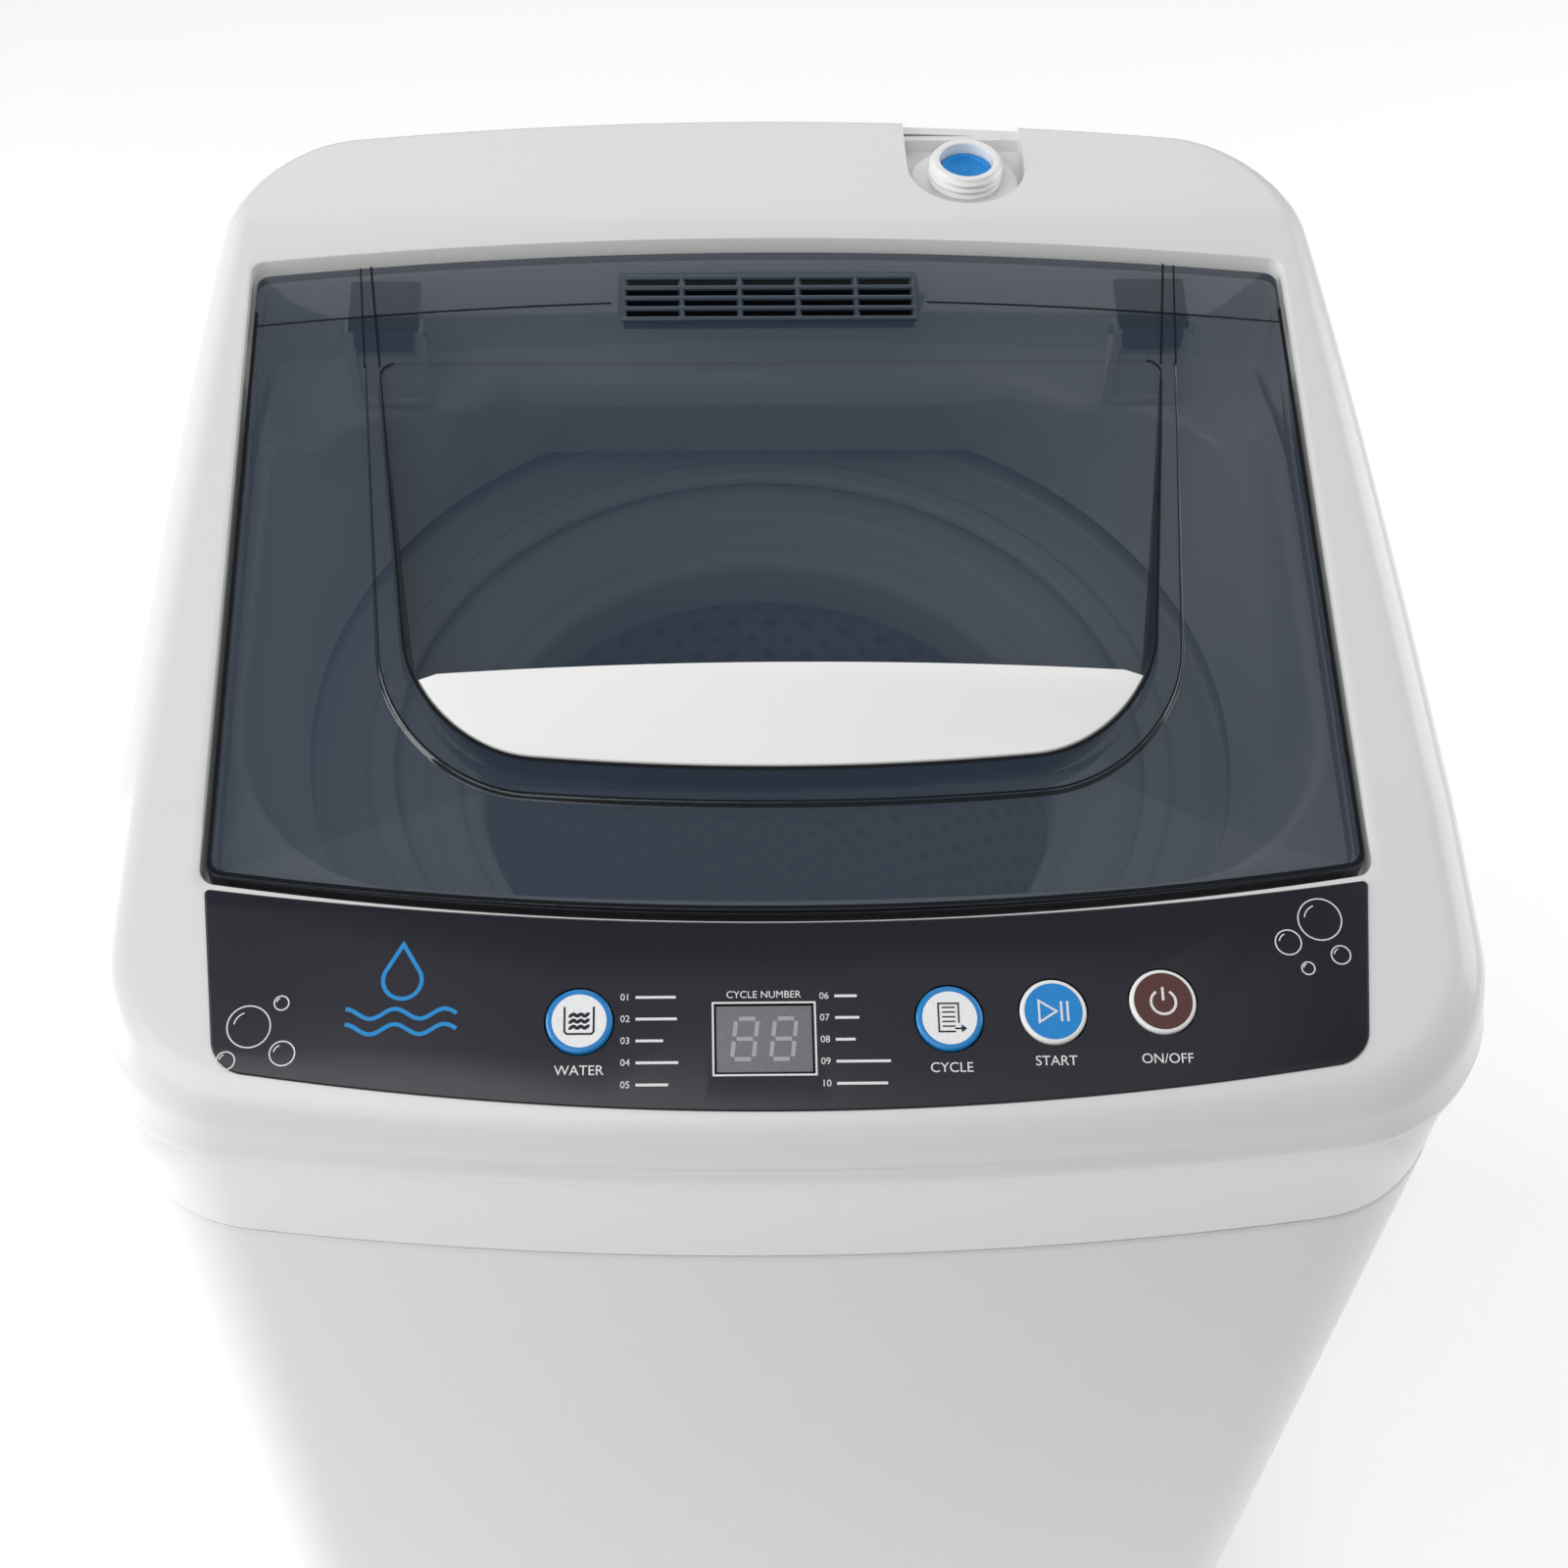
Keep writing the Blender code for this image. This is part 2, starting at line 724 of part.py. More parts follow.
def pocket_loop(inset, depth_limit, drop):
    """A loop of the pocket wall at a depth that is at most the floor's."""
    loop = []
    for x, y in tongue_outline(inset):
        depth = min(depth_limit, pocket_depth(y))
        loop.append((x, y, lid_z(y) - depth - drop))
    return loop


def build_lid():
    """The smoked lid with its rim, raised tongue, sloping pocket and vent grille."""
    band = TONGUE_BAND
    foot = band + POCKET_LEAN * (POCKET_DEPTH - HANDLE_T)
    upper = [
        draped(lid_outline(), lid_z),
        draped(tongue_outline(0.0), lid_z),
        draped(tongue_outline(0.001), lambda y: lid_z(y) + tongue_rise(y)),
        draped(tongue_outline(band), lambda y: lid_z(y) + tongue_rise(y)),
        pocket_loop(band + 0.0002, HANDLE_T + FIT, 0.0),
        pocket_loop(foot, POCKET_DEPTH, 0.0),
    ]
    lower = [
        draped(lid_outline(), lambda y: lid_z(y) - rim_depth(y)),
        draped(lid_outline(LID_WALL), lambda y: lid_z(y) - rim_depth(y)),
        draped(lid_outline(LID_WALL), lambda y: lid_z(y) - LID_WALL),
        draped(tongue_outline(-0.001), lambda y: lid_z(y) - LID_WALL),
        pocket_loop(band - 0.003, HANDLE_T, LID_WALL),
        pocket_loop(foot - 0.002, POCKET_DEPTH, LID_WALL),
    ]
    lid = stack("lid", lower[::-1] + upper)
    slot_width = (2 * GRILLE_HALF - GRILLE_RIB * (GRILLE_COLUMNS + 1)) / GRILLE_COLUMNS
    for row in range(GRILLE_ROWS):
        y = GRILLE_Y + row * GRILLE_PITCH
        for column in range(GRILLE_COLUMNS):
            x = (column - (GRILLE_COLUMNS - 1) / 2) * (slot_width + GRILLE_RIB)
            cut(lid, box(f"slot_{row}_{column}", (slot_width, GRILLE_SLOT, 0.02), (x, y, lid_z(y))))
    place(lid, "smoked_plastic")
    build_handle()


def build_handle():
    """The white grip plate that bridges the front of the pocket."""
    edge = [p for p in tongue_outline(TONGUE_BAND + 3 * FIT) if p[1] < HANDLE_BACK_Y]
    lowest = min(range(len(edge)), key=lambda i: (edge[i][0], -edge[i][1]))
    edge = edge[lowest:] + edge[:lowest]
    left, right = edge[0][0], edge[-1][0]
    steps = 10
    back = []
    for i in range(steps + 1):
        x = right + (left - right) * i / steps
        back.append((x, HANDLE_BACK_Y + HANDLE_BACK_BOW * (1 - (x / right) ** 2)))
    plan = edge + back
    top, bottom = (
        [(x, y, lid_z(y) + lift) for x, y in plan] for lift in (TONGUE_RISE, TONGUE_RISE - HANDLE_T)
    )
    place(stack("lid_handle", [bottom, top]), "white_plastic")


def build_hinges():
    """Two hinges: a bracket with two ears on the cover, a pin, and an arm under the lid."""
    for side, name in ((-1, "left"), (1, "right")):
        x = side * HINGE_X
        arm = 2 * HINGE_ARM_HALF
        ear_x = HINGE_ARM_HALF + FIT + HINGE_EAR_T / 2
        foot_z = TROUGH_Z + FIT
        span = arm + 2 * (FIT + HINGE_EAR_T)
        bracket = box(
            f"hinge_bracket_{name}", (span, HINGE_EAR_DEPTH, 0.003), (x, HINGE_Y, foot_z + 0.0015)
        )
        for ear in (-1, 1):
            high = HINGE_EAR_TOP_Z - foot_z
            centre = (x + ear * ear_x, HINGE_Y, foot_z + high / 2)
            size = (HINGE_EAR_T, HINGE_EAR_DEPTH, high)
            join(bracket, box(f"hinge_ear_{name}_{ear}", size, centre))
        cut(bracket, hinge_rod(f"hinge_hole_{name}", x, HINGE_PIN_R + FIT, 0.05))
        place(bracket, "black_plastic", smooth=False)
        place(hinge_rod(f"hinge_pin_{name}", x, HINGE_PIN_R, span + 0.002), "steel")
        top = lid_z(HINGE_Y - 0.006) - LID_WALL - FIT
        low = HINGE_Z - 0.0045
        lug = box(
            f"hinge_arm_{name}", (arm, 0.012, top - low), (x, HINGE_Y, (top + low) / 2), bevel=0.001
        )
        cut(lug, hinge_rod(f"hinge_bore_{name}", x, HINGE_PIN_R + FIT, 0.05))
        place(lug, "black_plastic", smooth=False)


def hinge_rod(name, x, radius, length):
    """A rod along the lid's hinge axis."""
    rod = cylinder(name, radius, -length / 2, length / 2, sides=16)
    rod.location = (x, HINGE_Y, HINGE_Z)
    rod.rotation_euler = (0.0, math.pi / 2, 0.0)
    return rod


# ---- water inlet --------------------------------------------------------------------------------
def build_inlet():
    """The inlet valve with its threaded nozzle, the strainer in it and the duct to the tub."""
    flange_top = NOTCH_FLOOR_Z + FIT + FLANGE_T
    body_top = NOTCH_FLOOR_Z - NOTCH_WALL - FIT
    body_low = body_top - VALVE_BODY[2]
    at = (INLET_X, INLET_Y)
    profile = [(NOZZLE_BORE_R, NOZZLE_TOP_Z), (NOZZLE_R - 0.0012, NOZZLE_TOP_Z)]
    ridges = 3
    pitch = (NOZZLE_TOP_Z - flange_top - 0.002) / ridges
    for i in range(ridges):
        z = NOZZLE_TOP_Z - 0.001 - i * pitch
        profile += [(NOZZLE_R - 0.0012, z), (NOZZLE_R, z - 0.3 * pitch)]
        profile += [(NOZZLE_R, z - 0.6 * pitch), (NOZZLE_R - 0.0012, z - 0.9 * pitch)]
    profile += [(NOZZLE_R - 0.0012, flange_top), (FLANGE_R, flange_top)]
    profile += [(FLANGE_R, NOTCH_FLOOR_Z + FIT), (NOZZLE_R, NOTCH_FLOOR_Z + FIT)]
    profile += [(NOZZLE_R, body_top - 0.005), (NOZZLE_BORE_R, body_top - 0.005)]
    valve = baked(turned("inlet_valve", profile, at, 24, closed=True))
    middle = (body_top + body_low) / 2 - 0.001
    join(valve, box("valve_body", (VALVE_BODY[0], VALVE_BODY[1], VALVE_BODY[2] - 0.002), (*at, middle)))
    solenoid = cylinder("solenoid", 0.011, -0.016, 0.016, sides=16, turn=(0.0, math.pi / 2, 0.0))
    solenoid.location = (INLET_X + 0.027, INLET_Y, middle)
    join(valve, solenoid)
    place(valve, "white_plastic")
    strainer_top = NOZZLE_TOP_Z - 0.004
    strainer = cylinder(
        "inlet_filter", NOZZLE_BORE_R - FIT, strainer_top - 0.0025, strainer_top, at, 24
    )
    place(strainer, "blue_plastic")
    duct_end = INLET_X - VALVE_BODY[0] / 2 - FIT
    duct_start = -0.060
    length, middle_x = duct_end - duct_start, (duct_end + duct_start) / 2
    duct_size = (length, 0.026, 0.022)
    duct = box("water_duct", duct_size, (middle_x, INLET_Y, middle))
    wall = 0.004
    cut(duct, box("duct_room", (length * 2, 0.026 - wall, 0.022 - wall), (middle_x, INLET_Y, middle)))
    place(duct, "white_plastic", smooth=False)


# ---- cabinet ------------------------------------------------------------------------------------
def back_y(x, inset):
    """How far back the body's plan reaches at x."""
    return BACK_Y - inset + BACK_BOW * (1 - (x / (HALF_WIDTH - inset)) ** 2)


def rear_screw(name, x, z, start):
    """A pan-head screw through the rear cover."""
    head = turned(
        name,
        [(0.0, 0.0035), (0.003, 0.0032), (0.0042, 0.0018), (0.0042, 0.0008), (0.0018, 0.0008)]
        + [(0.0018, -0.006), (0.0, -0.006)],
        sides=16,
    )
    head.location = (x, start, z)
    head.rotation_euler = (-math.pi / 2, 0.0, 0.0)
    place(head, "steel")


def build_cabinet():
    """The outer body, its base frame, rear cover, gland, drain outlet and feet."""
    outer, inner = body_outline(CABINET_INSET), body_outline(CABINET_INSET + CABINET_WALL)
    low = BASE_TOP_Z + FIT
    cabinet = stack(
        "cabinet",
        [level(outer, CABINET_TOP_Z), level(outer, low), level(inner, low), level(inner, CABINET_TOP_Z)],
        "ring",
    )
    opening = (2 * (REAR_HALF - REAR_LAP), 0.1, REAR_Z[1] - REAR_Z[0] - 2 * REAR_LAP)
    rear_middle = (REAR_Z[0] + REAR_Z[1]) / 2
    cut(cabinet, box("rear_opening", opening, (0.0, BACK_Y, rear_middle)))
    outlets = {"cord_gland": (-OUTLET_X, 0.0075, 0.0045), "drain_outlet": (OUTLET_X, 0.0155, 0.0120)}
    for name, (x, radius, bore) in outlets.items():
        wall_y = back_y(x, CABINET_INSET)
        hole = cylinder(name + "_hole", radius, -0.02, 0.02, sides=24, turn=(math.pi / 2, 0.0, 0.0))
        hole.location = (x, wall_y, OUTLET_Z)
        cut(cabinet, hole)
        flange = radius + 0.004
        neck = radius - FIT
        profile = [(bore, 0.006), (neck, 0.006), (flange, 0.004), (flange, 0.002)]
        profile += [(neck, 0.002), (neck, -0.020), (bore, -0.020)]
        bush = turned(name, profile, sides=24, closed=True)
        bush.location = (x, wall_y, OUTLET_Z)
        bush.rotation_euler = (-math.pi / 2, 0.0, 0.0)
        place(bush, "black_plastic" if name == "cord_gland" else "grey_plastic")
    place(cabinet, "white_plastic")
    build_rear_cover(rear_middle)
    build_base()


def build_rear_cover(middle):
    """The curved service cover on the back, and its screws."""
    columns = 8
    near, far = [], []
    for i in range(columns + 1):
        x = -REAR_HALF + 2 * REAR_HALF * i / columns
        near.append((x, back_y(x, CABINET_INSET) + FIT))
        far.append((x, back_y(x, CABINET_INSET) + FIT + REAR_T))
    plan = near + far[::-1]
    cover = stack("rear_cover", [level(plan, REAR_Z[0]), level(plan, REAR_Z[1])])
    for side, name in ((-1, "left"), (1, "right")):
        x = side * (REAR_HALF - REAR_LAP / 2)
        start = back_y(x, CABINET_INSET) + REAR_T + FIT
        hole = cylinder(f"rear_screw_hole_{name}", 0.0024, -0.02, 0.02, sides=12)
        hole.location = (x, start, middle)
        hole.rotation_euler = (math.pi / 2, 0.0, 0.0)
        cut(cover, hole)
        cabinet_hole = cylinder(f"cabinet_screw_hole_{name}", 0.0024, -0.02, 0.02, sides=12)
        cabinet_hole.location = hole.location
        cabinet_hole.rotation_euler = hole.rotation_euler
        cut(bpy.data.objects["cabinet"], cabinet_hole)
        rear_screw(f"rear_screw_{name}", x, middle, start + FIT)
    place(cover, "white_plastic")


def build_base():
    """The base frame with three fixed feet and one that screws up and down."""
    outer, wall = body_outline(CABINET_INSET), body_outline(CABINET_INSET + BASE_WALL)
    flange = outline(
        HALF_WIDTH - BASE_FLANGE,
        FRONT_Y + BASE_FLANGE,
        BACK_Y - BASE_FLANGE,
        BASE_INNER_R,
        BASE_INNER_R,
    )
    floor_top = BASE_Z + BASE_WALL
    loops = [level(outer, BASE_TOP_Z), level(outer, BASE_Z), level(flange, BASE_Z)]
    loops += [level(flange, floor_top), level(wall, floor_top), level(wall, BASE_TOP_Z)]
    base = stack("base_frame", loops, "ring")
    foot_top = BASE_Z - FIT
    for front, y in (("front", -FOOT_Y), ("rear", FOOT_Y)):
        for side, x in (("left", -FOOT_X), ("right", FOOT_X)):
            profile = [(0.0, foot_top), (FOOT_R, foot_top), (FOOT_R - 0.001, 0.001)]
            profile += [(FOOT_R - 0.002, 0.0), (0.0, 0.0)]
            name = f"foot_{front}_{side}"
            if name == "foot_front_right":
                name = "levelling_foot"
                stud = [(0.0, BASE_TOP_Z), (FOOT_STUD_R, BASE_TOP_Z), (FOOT_STUD_R, foot_top)]
                profile = stud + profile[1:]
                hole = FOOT_STUD_R + BUTTON_GAP
                cut(base, cylinder("stud_hole", hole, 0.0, 0.05, (x, y), 16))
            place(turned(name, profile, (x, y), 20), "rubber")
    place(base, "grey_plastic")


# ---- tub ----------------------------------------------------------------------------------------
def build_tub():
    """The outer tub with four lugs, the ring on its mouth, the seal and the drain valve."""
    inner = TUB_R - TUB_WALL
    hub = SPIN_SHAFT_R + 0.0040
    profile = [(inner, TUB_TOP_Z), (TUB_R, TUB_TOP_Z), (TUB_R, TUB_Z), (hub, TUB_Z)]
    profile += [(hub, TUB_Z + TUB_WALL), (inner, TUB_Z + TUB_WALL)]
    tub = baked(turned("outer_tub", profile, closed=True))
    reach = math.hypot(ROD_X, ROD_Y) + LUG_REACH
    start = inner + 0.0012
    for sx, sy in ((-1, -1), (1, -1), (1, 1), (-1, 1)):
        angle = math.atan2(sy * ROD_Y, sx * ROD_X)
        middle = (start + reach) / 2
        lug = box(
            f"lug_{sx}_{sy}",
            (reach - start, 2 * LUG_HALF, LUG_T),
            (middle * math.cos(angle), middle * math.sin(angle), LUG_Z + LUG_T / 2),
            (0.0, 0.0, angle),
        )
        join(tub, lug)
        hole = ROD_R + 0.0040
        rod_hole = cylinder(
            f"lug_hole_{sx}_{sy}", hole, LUG_Z - 0.01, LUG_Z + 0.02, (sx * ROD_X, sy * ROD_Y), 12
        )
        cut(tub, rod_hole)
    place(tub, "white_plastic")
    low = TUB_TOP_Z + FIT
    ring = [(RING_MOUTH_R, RING_TOP_Z), (RING_MOUTH_R + 0.004, RING_TOP_Z + 0.0015)]
    ring += [(RING_R - 0.006, RING_TOP_Z), (RING_R, low + 0.006), (RING_R, low - 0.012)]
    ring += [(TUB_R + FIT, low - 0.012), (TUB_R + FIT, low), (TUB_R - 0.004, low)]
    ring += [(TUB_R - 0.008, RING_TOP_Z - 0.003), (RING_MOUTH_R, RING_TOP_Z - 0.003)]
    place(turned("tub_ring", ring, closed=True), "white_plastic")
    seal_in, seal_out = SPIN_SHAFT_R + FIT, hub - FIT
    seal = [(seal_in, TUB_Z + 0.008), (seal_out - 0.001, TUB_Z + 0.008), (seal_out, TUB_Z + 0.005)]
    seal += [(seal_out, TUB_Z), (seal_in, TUB_Z)]
    place(turned("tub_seal", seal, sides=24, closed=True), "rubber")
    drain = box("drain_valve", (0.040, 0.036, 0.040), (0.0, 0.120, TUB_Z - FIT - 0.020), bevel=0.003)
    spout = cylinder("drain_spout", 0.0115, -0.020, 0.020, sides=16, turn=(0.0, math.pi / 2, 0.0))
    spout.location = (0.032, 0.120, TUB_Z - 0.020)
    join(drain, spout)
    place(drain, "white_plastic")


def build_suspension():
    """The frame at the top of the cabinet, four rods that hang from it and their springs."""
    plan = body_outline(CABINET_INSET + CABINET_WALL + FIT)
    frame = stack(
        "suspension_frame", [level(plan, FRAME_Z), level(plan, FRAME_Z + FRAME_T)]
    )
    cut(frame, cylinder("frame_mouth", RING_R + 0.006, FRAME_Z - 0.01, FRAME_Z + 0.01))
    head_z = FRAME_Z + FRAME_T + FIT
    corners = {
        "front_left": (-ROD_X, -ROD_Y),
        "front_right": (ROD_X, -ROD_Y),
        "rear_right": (ROD_X, ROD_Y),
        "rear_left": (-ROD_X, ROD_Y),
    }
    for name, at in corners.items():
        hole = cylinder(f"rod_hole_{name}", ROD_R + 0.002, FRAME_Z - 0.01, FRAME_Z + 0.01, at, 12)
        cut(frame, hole)
        cup = SPRING_R + SPRING_WIRE + 0.002
        profile = [(0.0, head_z + 0.010), (0.005, head_z + 0.008), (0.008, head_z + 0.003)]
        profile += [(0.008, head_z), (ROD_R, head_z), (ROD_R, ROD_CUP_Z + 0.004)]
        profile += [(cup, ROD_CUP_Z + 0.004), (cup, ROD_CUP_Z), (0.0, ROD_CUP_Z - 0.004)]
        place(turned(f"suspension_rod_{name}", profile, at, 12), "steel")
        place(coil(f"suspension_spring_{name}", at), "steel")
    place(frame, "steel", smooth=False)


def coil(name, at):
    """A compression spring between a rod's cup and the lug above it."""
    low = ROD_CUP_Z + 0.004 + FIT + SPRING_WIRE
    high = LUG_Z - FIT - SPRING_WIRE
    steps = 8
    curve = bpy.data.curves.new(name, "CURVE")
    curve.dimensions = "3D"
    curve.bevel_depth = SPRING_WIRE
    curve.bevel_resolution = 0
    curve.use_fill_caps = True
    spline = curve.splines.new("POLY")
    count = SPRING_TURNS * steps + 1
    spline.points.add(count - 1)
    for i in range(count):
        angle = 2 * math.pi * i / steps
        z = low + (high - low) * i / (count - 1)
        spline.points[i].co = (
            at[0] + SPRING_R * math.cos(angle),
            at[1] + SPRING_R * math.sin(angle),
            z,
            1.0,
        )
    return baked(in_scene(bpy.data.objects.new(name, curve)))


# ---- basket and drive ---------------------------------------------------------------------------
def build_basket():
    """The spin basket, its balance ring, its hub with the hollow spin shaft and the lint trap."""
    inner = BASKET_R - BASKET_WALL
    bore = SHAFT_R + SHAFT_FIT
    profile = [(inner, BASKET_TOP_Z), (BASKET_R, BASKET_TOP_Z), (BASKET_R, BASKET_Z + 0.012)]
    profile += [(BASKET_R - 0.012, BASKET_Z), (bore, BASKET_Z), (bore, BASKET_Z + BASKET_WALL)]
    profile += [(inner - 0.011, BASKET_Z + BASKET_WALL), (inner, BASKET_Z + 0.013)]
    place(turned("basket", profile, closed=True), "white_plastic")
    low = BASKET_TOP_Z + FIT
    ring = [(BALANCE_MOUTH_R, BALANCE_TOP_Z - 0.014), (BALANCE_MOUTH_R + 0.003, BALANCE_TOP_Z - 0.010)]
    ring += [(BALANCE_MOUTH_R + 0.011, BALANCE_TOP_Z - 0.004), (BASKET_R - 0.025, BALANCE_TOP_Z)]
    ring += [(BASKET_R - 0.003, BALANCE_TOP_Z - 0.004), (BASKET_R, low + 0.012), (BASKET_R, low)]
    ring += [(inner - 0.002, low), (inner - 0.004, low - 0.012), (BALANCE_MOUTH_R, low - 0.004)]
    place(turned("balance_ring", ring, closed=True), "white_plastic")
    hub_top = BASKET_Z - FIT
    hub_low = BASKET_Z - 0.018
    hub = [(bore, hub_top), (0.075, hub_top), (0.075, hub_top - 0.006), (0.030, hub_low)]
    hub += [(SPIN_SHAFT_R, hub_low), (SPIN_SHAFT_R, HOUSING_Z + 0.010), (bore, HOUSING_Z + 0.010)]
    place(turned("basket_hub", hub, sides=24, closed=True), "steel")
    trap = box("lint_filter", (0.012, 0.056, 0.100), (-inner + 0.012, 0.0, 0.400), bevel=0.003)
    room = box("lint_room", (0.008, 0.046, 0.100), (-inner + 0.012, 0.0, 0.410))
    cut(trap, room)
    place(trap, "blue_plastic", smooth=False)


def build_pulsator():
    """The pulsator with its fins, its screw, the wash shaft and the driven pulley."""
    top = PULSATOR_Z + 0.024
    bore = SHAFT_R + FIT
    profile = [(bore, top), (0.020, top), (0.030, PULSATOR_Z + 0.012)]
    profile += [(PULSATOR_R - 0.025, PULSATOR_Z + 0.007), (PULSATOR_R, PULSATOR_Z + 0.010)]
    profile += [(PULSATOR_R, PULSATOR_Z + 0.006), (PULSATOR_R - 0.025, PULSATOR_Z)]
    profile += [(bore, PULSATOR_Z)]
    pulsator = baked(turned("pulsator", profile, closed=True))
    fins = 3
    for i in range(fins):
        angle = 2 * math.pi * i / fins + math.pi / 2
        fin = box(
            f"fin_{i}",
            (0.090, 0.012, 0.022),
            (0.068 * math.cos(angle), 0.068 * math.sin(angle), PULSATOR_Z + 0.0125),
            (0.0, 0.0, angle),
        )
        join(pulsator, fin)
    place(pulsator, "white_plastic")
    shaft_top = top - 0.004
    cap = [(0.0, top + 0.007), (0.008, top + 0.006), (0.014, top + 0.002), (0.014, top + FIT)]
    place(turned("pulsator_screw", cap + [(0.0, top + FIT)], sides=20), "steel")
    belt_low = BELT_Z - BELT_H / 2
    shaft_low = belt_low - 0.006
    place(cylinder("wash_shaft", SHAFT_R, shaft_low, shaft_top, sides=20), "steel")
    place(
        pulley("driven_pulley", DRIVEN_GROOVE_R, SHAFT_R + FIT, (0.0, 0.0), ROUND), "grey_plastic"
    )


def pulley(name, groove, bore, at, sides):
    """A flanged pulley round the belt's height."""
    half = BELT_H / 2 + 0.0005
    rim = groove + PULLEY_RIM
    z_in, z_out = half, half + 0.003
    profile = [(bore, BELT_Z + z_out), (rim, BELT_Z + z_out), (rim, BELT_Z + z_in)]
    profile += [(groove, BELT_Z + z_in), (groove, BELT_Z - z_in), (rim, BELT_Z - z_in)]
    profile += [(rim, BELT_Z - z_out), (bore, BELT_Z - z_out)]
    return turned(name, profile, at, sides, closed=True)


def belt_plan(extra):
    """The belt's path round both pulleys, moved out by extra."""
    big, small = DRIVEN_GROOVE_R + extra, MOTOR_GROOVE_R + extra
    lean = math.acos((big - small) / MOTOR_X)
    steps = 16
    points = []
    for i in range(steps + 1):
        angle = lean + (2 * math.pi - 2 * lean) * i / steps
        points.append((big * math.cos(angle), big * math.sin(angle)))
    for i in range(steps // 2 + 1):
        angle = -lean + 2 * lean * i / (steps // 2)
        points.append((MOTOR_X + small * math.cos(angle), small * math.sin(angle)))
    return points


def build_drive():
    """What hangs under the tub: plate, bearing housing, motor, its shaft and pulley, and belt."""
    plate_top = TUB_Z - FIT
    plate_low = plate_top - PLATE[2]
    plate = box("drive_plate", PLATE, (0.0, 0.0, (plate_top + plate_low) / 2))
    cut(plate, cylinder("plate_hole", HOUSING_R - 0.010, plate_low - 0.01, plate_top + 0.01, sides=24))
    place(plate, "steel", smooth=False)
    bore = SPIN_SHAFT_R + FIT
    shaft_bore = SHAFT_R + SHAFT_FIT
    top = plate_low - FIT
    housing = [(bore, top), (HOUSING_R + 0.010, top), (HOUSING_R + 0.010, top - 0.004)]
    housing += [(HOUSING_R, top - 0.006), (HOUSING_R, HOUSING_Z + 0.006), (0.022, HOUSING_Z)]
    housing += [(shaft_bore, HOUSING_Z), (shaft_bore, HOUSING_Z + 0.006), (bore, HOUSING_Z + 0.006)]
    place(turned("bearing_housing", housing, sides=24, closed=True), "steel")
    motor_low = HOUSING_Z - 0.005
    shaft_room = MOTOR_SHAFT_R + FIT
    motor = [(0.0, top), (0.030, top), (0.030, top - 0.008), (MOTOR_R, top - 0.012)]
    motor += [(MOTOR_R, motor_low + 0.010), (0.030, motor_low), (shaft_room, motor_low)]
    motor += [(shaft_room, motor_low + 0.050), (0.0, motor_low + 0.050)]
    place(turned("drive_motor", motor, (MOTOR_X, 0.0), 24), "grey_plastic")
    shaft_low = BELT_Z - BELT_H / 2 - 0.006
    shaft = cylinder("motor_shaft", MOTOR_SHAFT_R, shaft_low, motor_low + 0.048, (MOTOR_X, 0.0), 16)
    place(shaft, "steel")
    motor_bore = MOTOR_SHAFT_R + FIT
    place(pulley("motor_pulley", MOTOR_GROOVE_R, motor_bore, (MOTOR_X, 0.0), 20), "steel")
    inner, outer = belt_plan(FIT), belt_plan(FIT + BELT_T)
    low, high = BELT_Z - BELT_H / 2, BELT_Z + BELT_H / 2
    loops = [level(outer, high), level(outer, low), level(inner, low), level(inner, high)]
    place(stack("drive_belt", loops, "ring"), "rubber")


def build_sensors():
    """The water level sensor and the lid switch, both under the deck."""
    sensor = [(0.0, 0.640), (0.010, 0.640), (0.018, 0.632), (0.018, 0.622), (0.0, 0.620)]
    place(turned("level_sensor", sensor, (-0.115, BACK_Y - 0.018), 20), "black_plastic")
    switch = box("lid_switch", (0.010, 0.020, 0.016), (0.138, BACK_Y - 0.0315, 0.662), bevel=0.001)
    place(switch, "black_plastic")


clear_scene()
WASHER = collection("top_load_washing_machine")
CUTTERS = collection("cutters", hidden=True)
build_top_cover()
build_panel()
build_lid()
build_hinges()
build_inlet()
build_cabinet()
build_tub()
build_suspension()
build_basket()
build_pulsator()
build_drive()
build_sensors()
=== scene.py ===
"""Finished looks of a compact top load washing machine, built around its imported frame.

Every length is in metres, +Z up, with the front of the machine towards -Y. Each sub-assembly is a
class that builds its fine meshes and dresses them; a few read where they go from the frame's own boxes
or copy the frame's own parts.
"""

import logging
import math
from dataclasses import dataclass
from enum import Enum
from typing import Callable, Iterable, Sequence

import bmesh
import bpy
from mathutils import Matrix, Vector


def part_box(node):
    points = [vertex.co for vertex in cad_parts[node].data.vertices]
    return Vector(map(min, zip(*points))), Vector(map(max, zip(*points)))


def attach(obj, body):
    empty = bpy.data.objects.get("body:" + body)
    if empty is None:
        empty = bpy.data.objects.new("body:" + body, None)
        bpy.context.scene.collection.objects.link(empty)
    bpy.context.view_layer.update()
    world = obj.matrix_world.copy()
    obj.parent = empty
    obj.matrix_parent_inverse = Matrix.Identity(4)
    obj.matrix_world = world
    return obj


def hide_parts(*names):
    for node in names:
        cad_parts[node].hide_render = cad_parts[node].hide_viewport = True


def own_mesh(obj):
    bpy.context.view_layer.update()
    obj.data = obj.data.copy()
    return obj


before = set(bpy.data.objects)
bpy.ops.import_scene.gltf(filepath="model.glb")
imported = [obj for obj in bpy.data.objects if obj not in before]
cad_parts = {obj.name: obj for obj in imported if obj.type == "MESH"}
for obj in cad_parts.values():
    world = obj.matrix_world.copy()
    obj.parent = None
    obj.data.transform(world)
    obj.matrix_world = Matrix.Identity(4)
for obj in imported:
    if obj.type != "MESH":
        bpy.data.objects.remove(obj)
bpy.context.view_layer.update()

MM = 0.001
SMOOTH_ANGLE = math.radians(35)
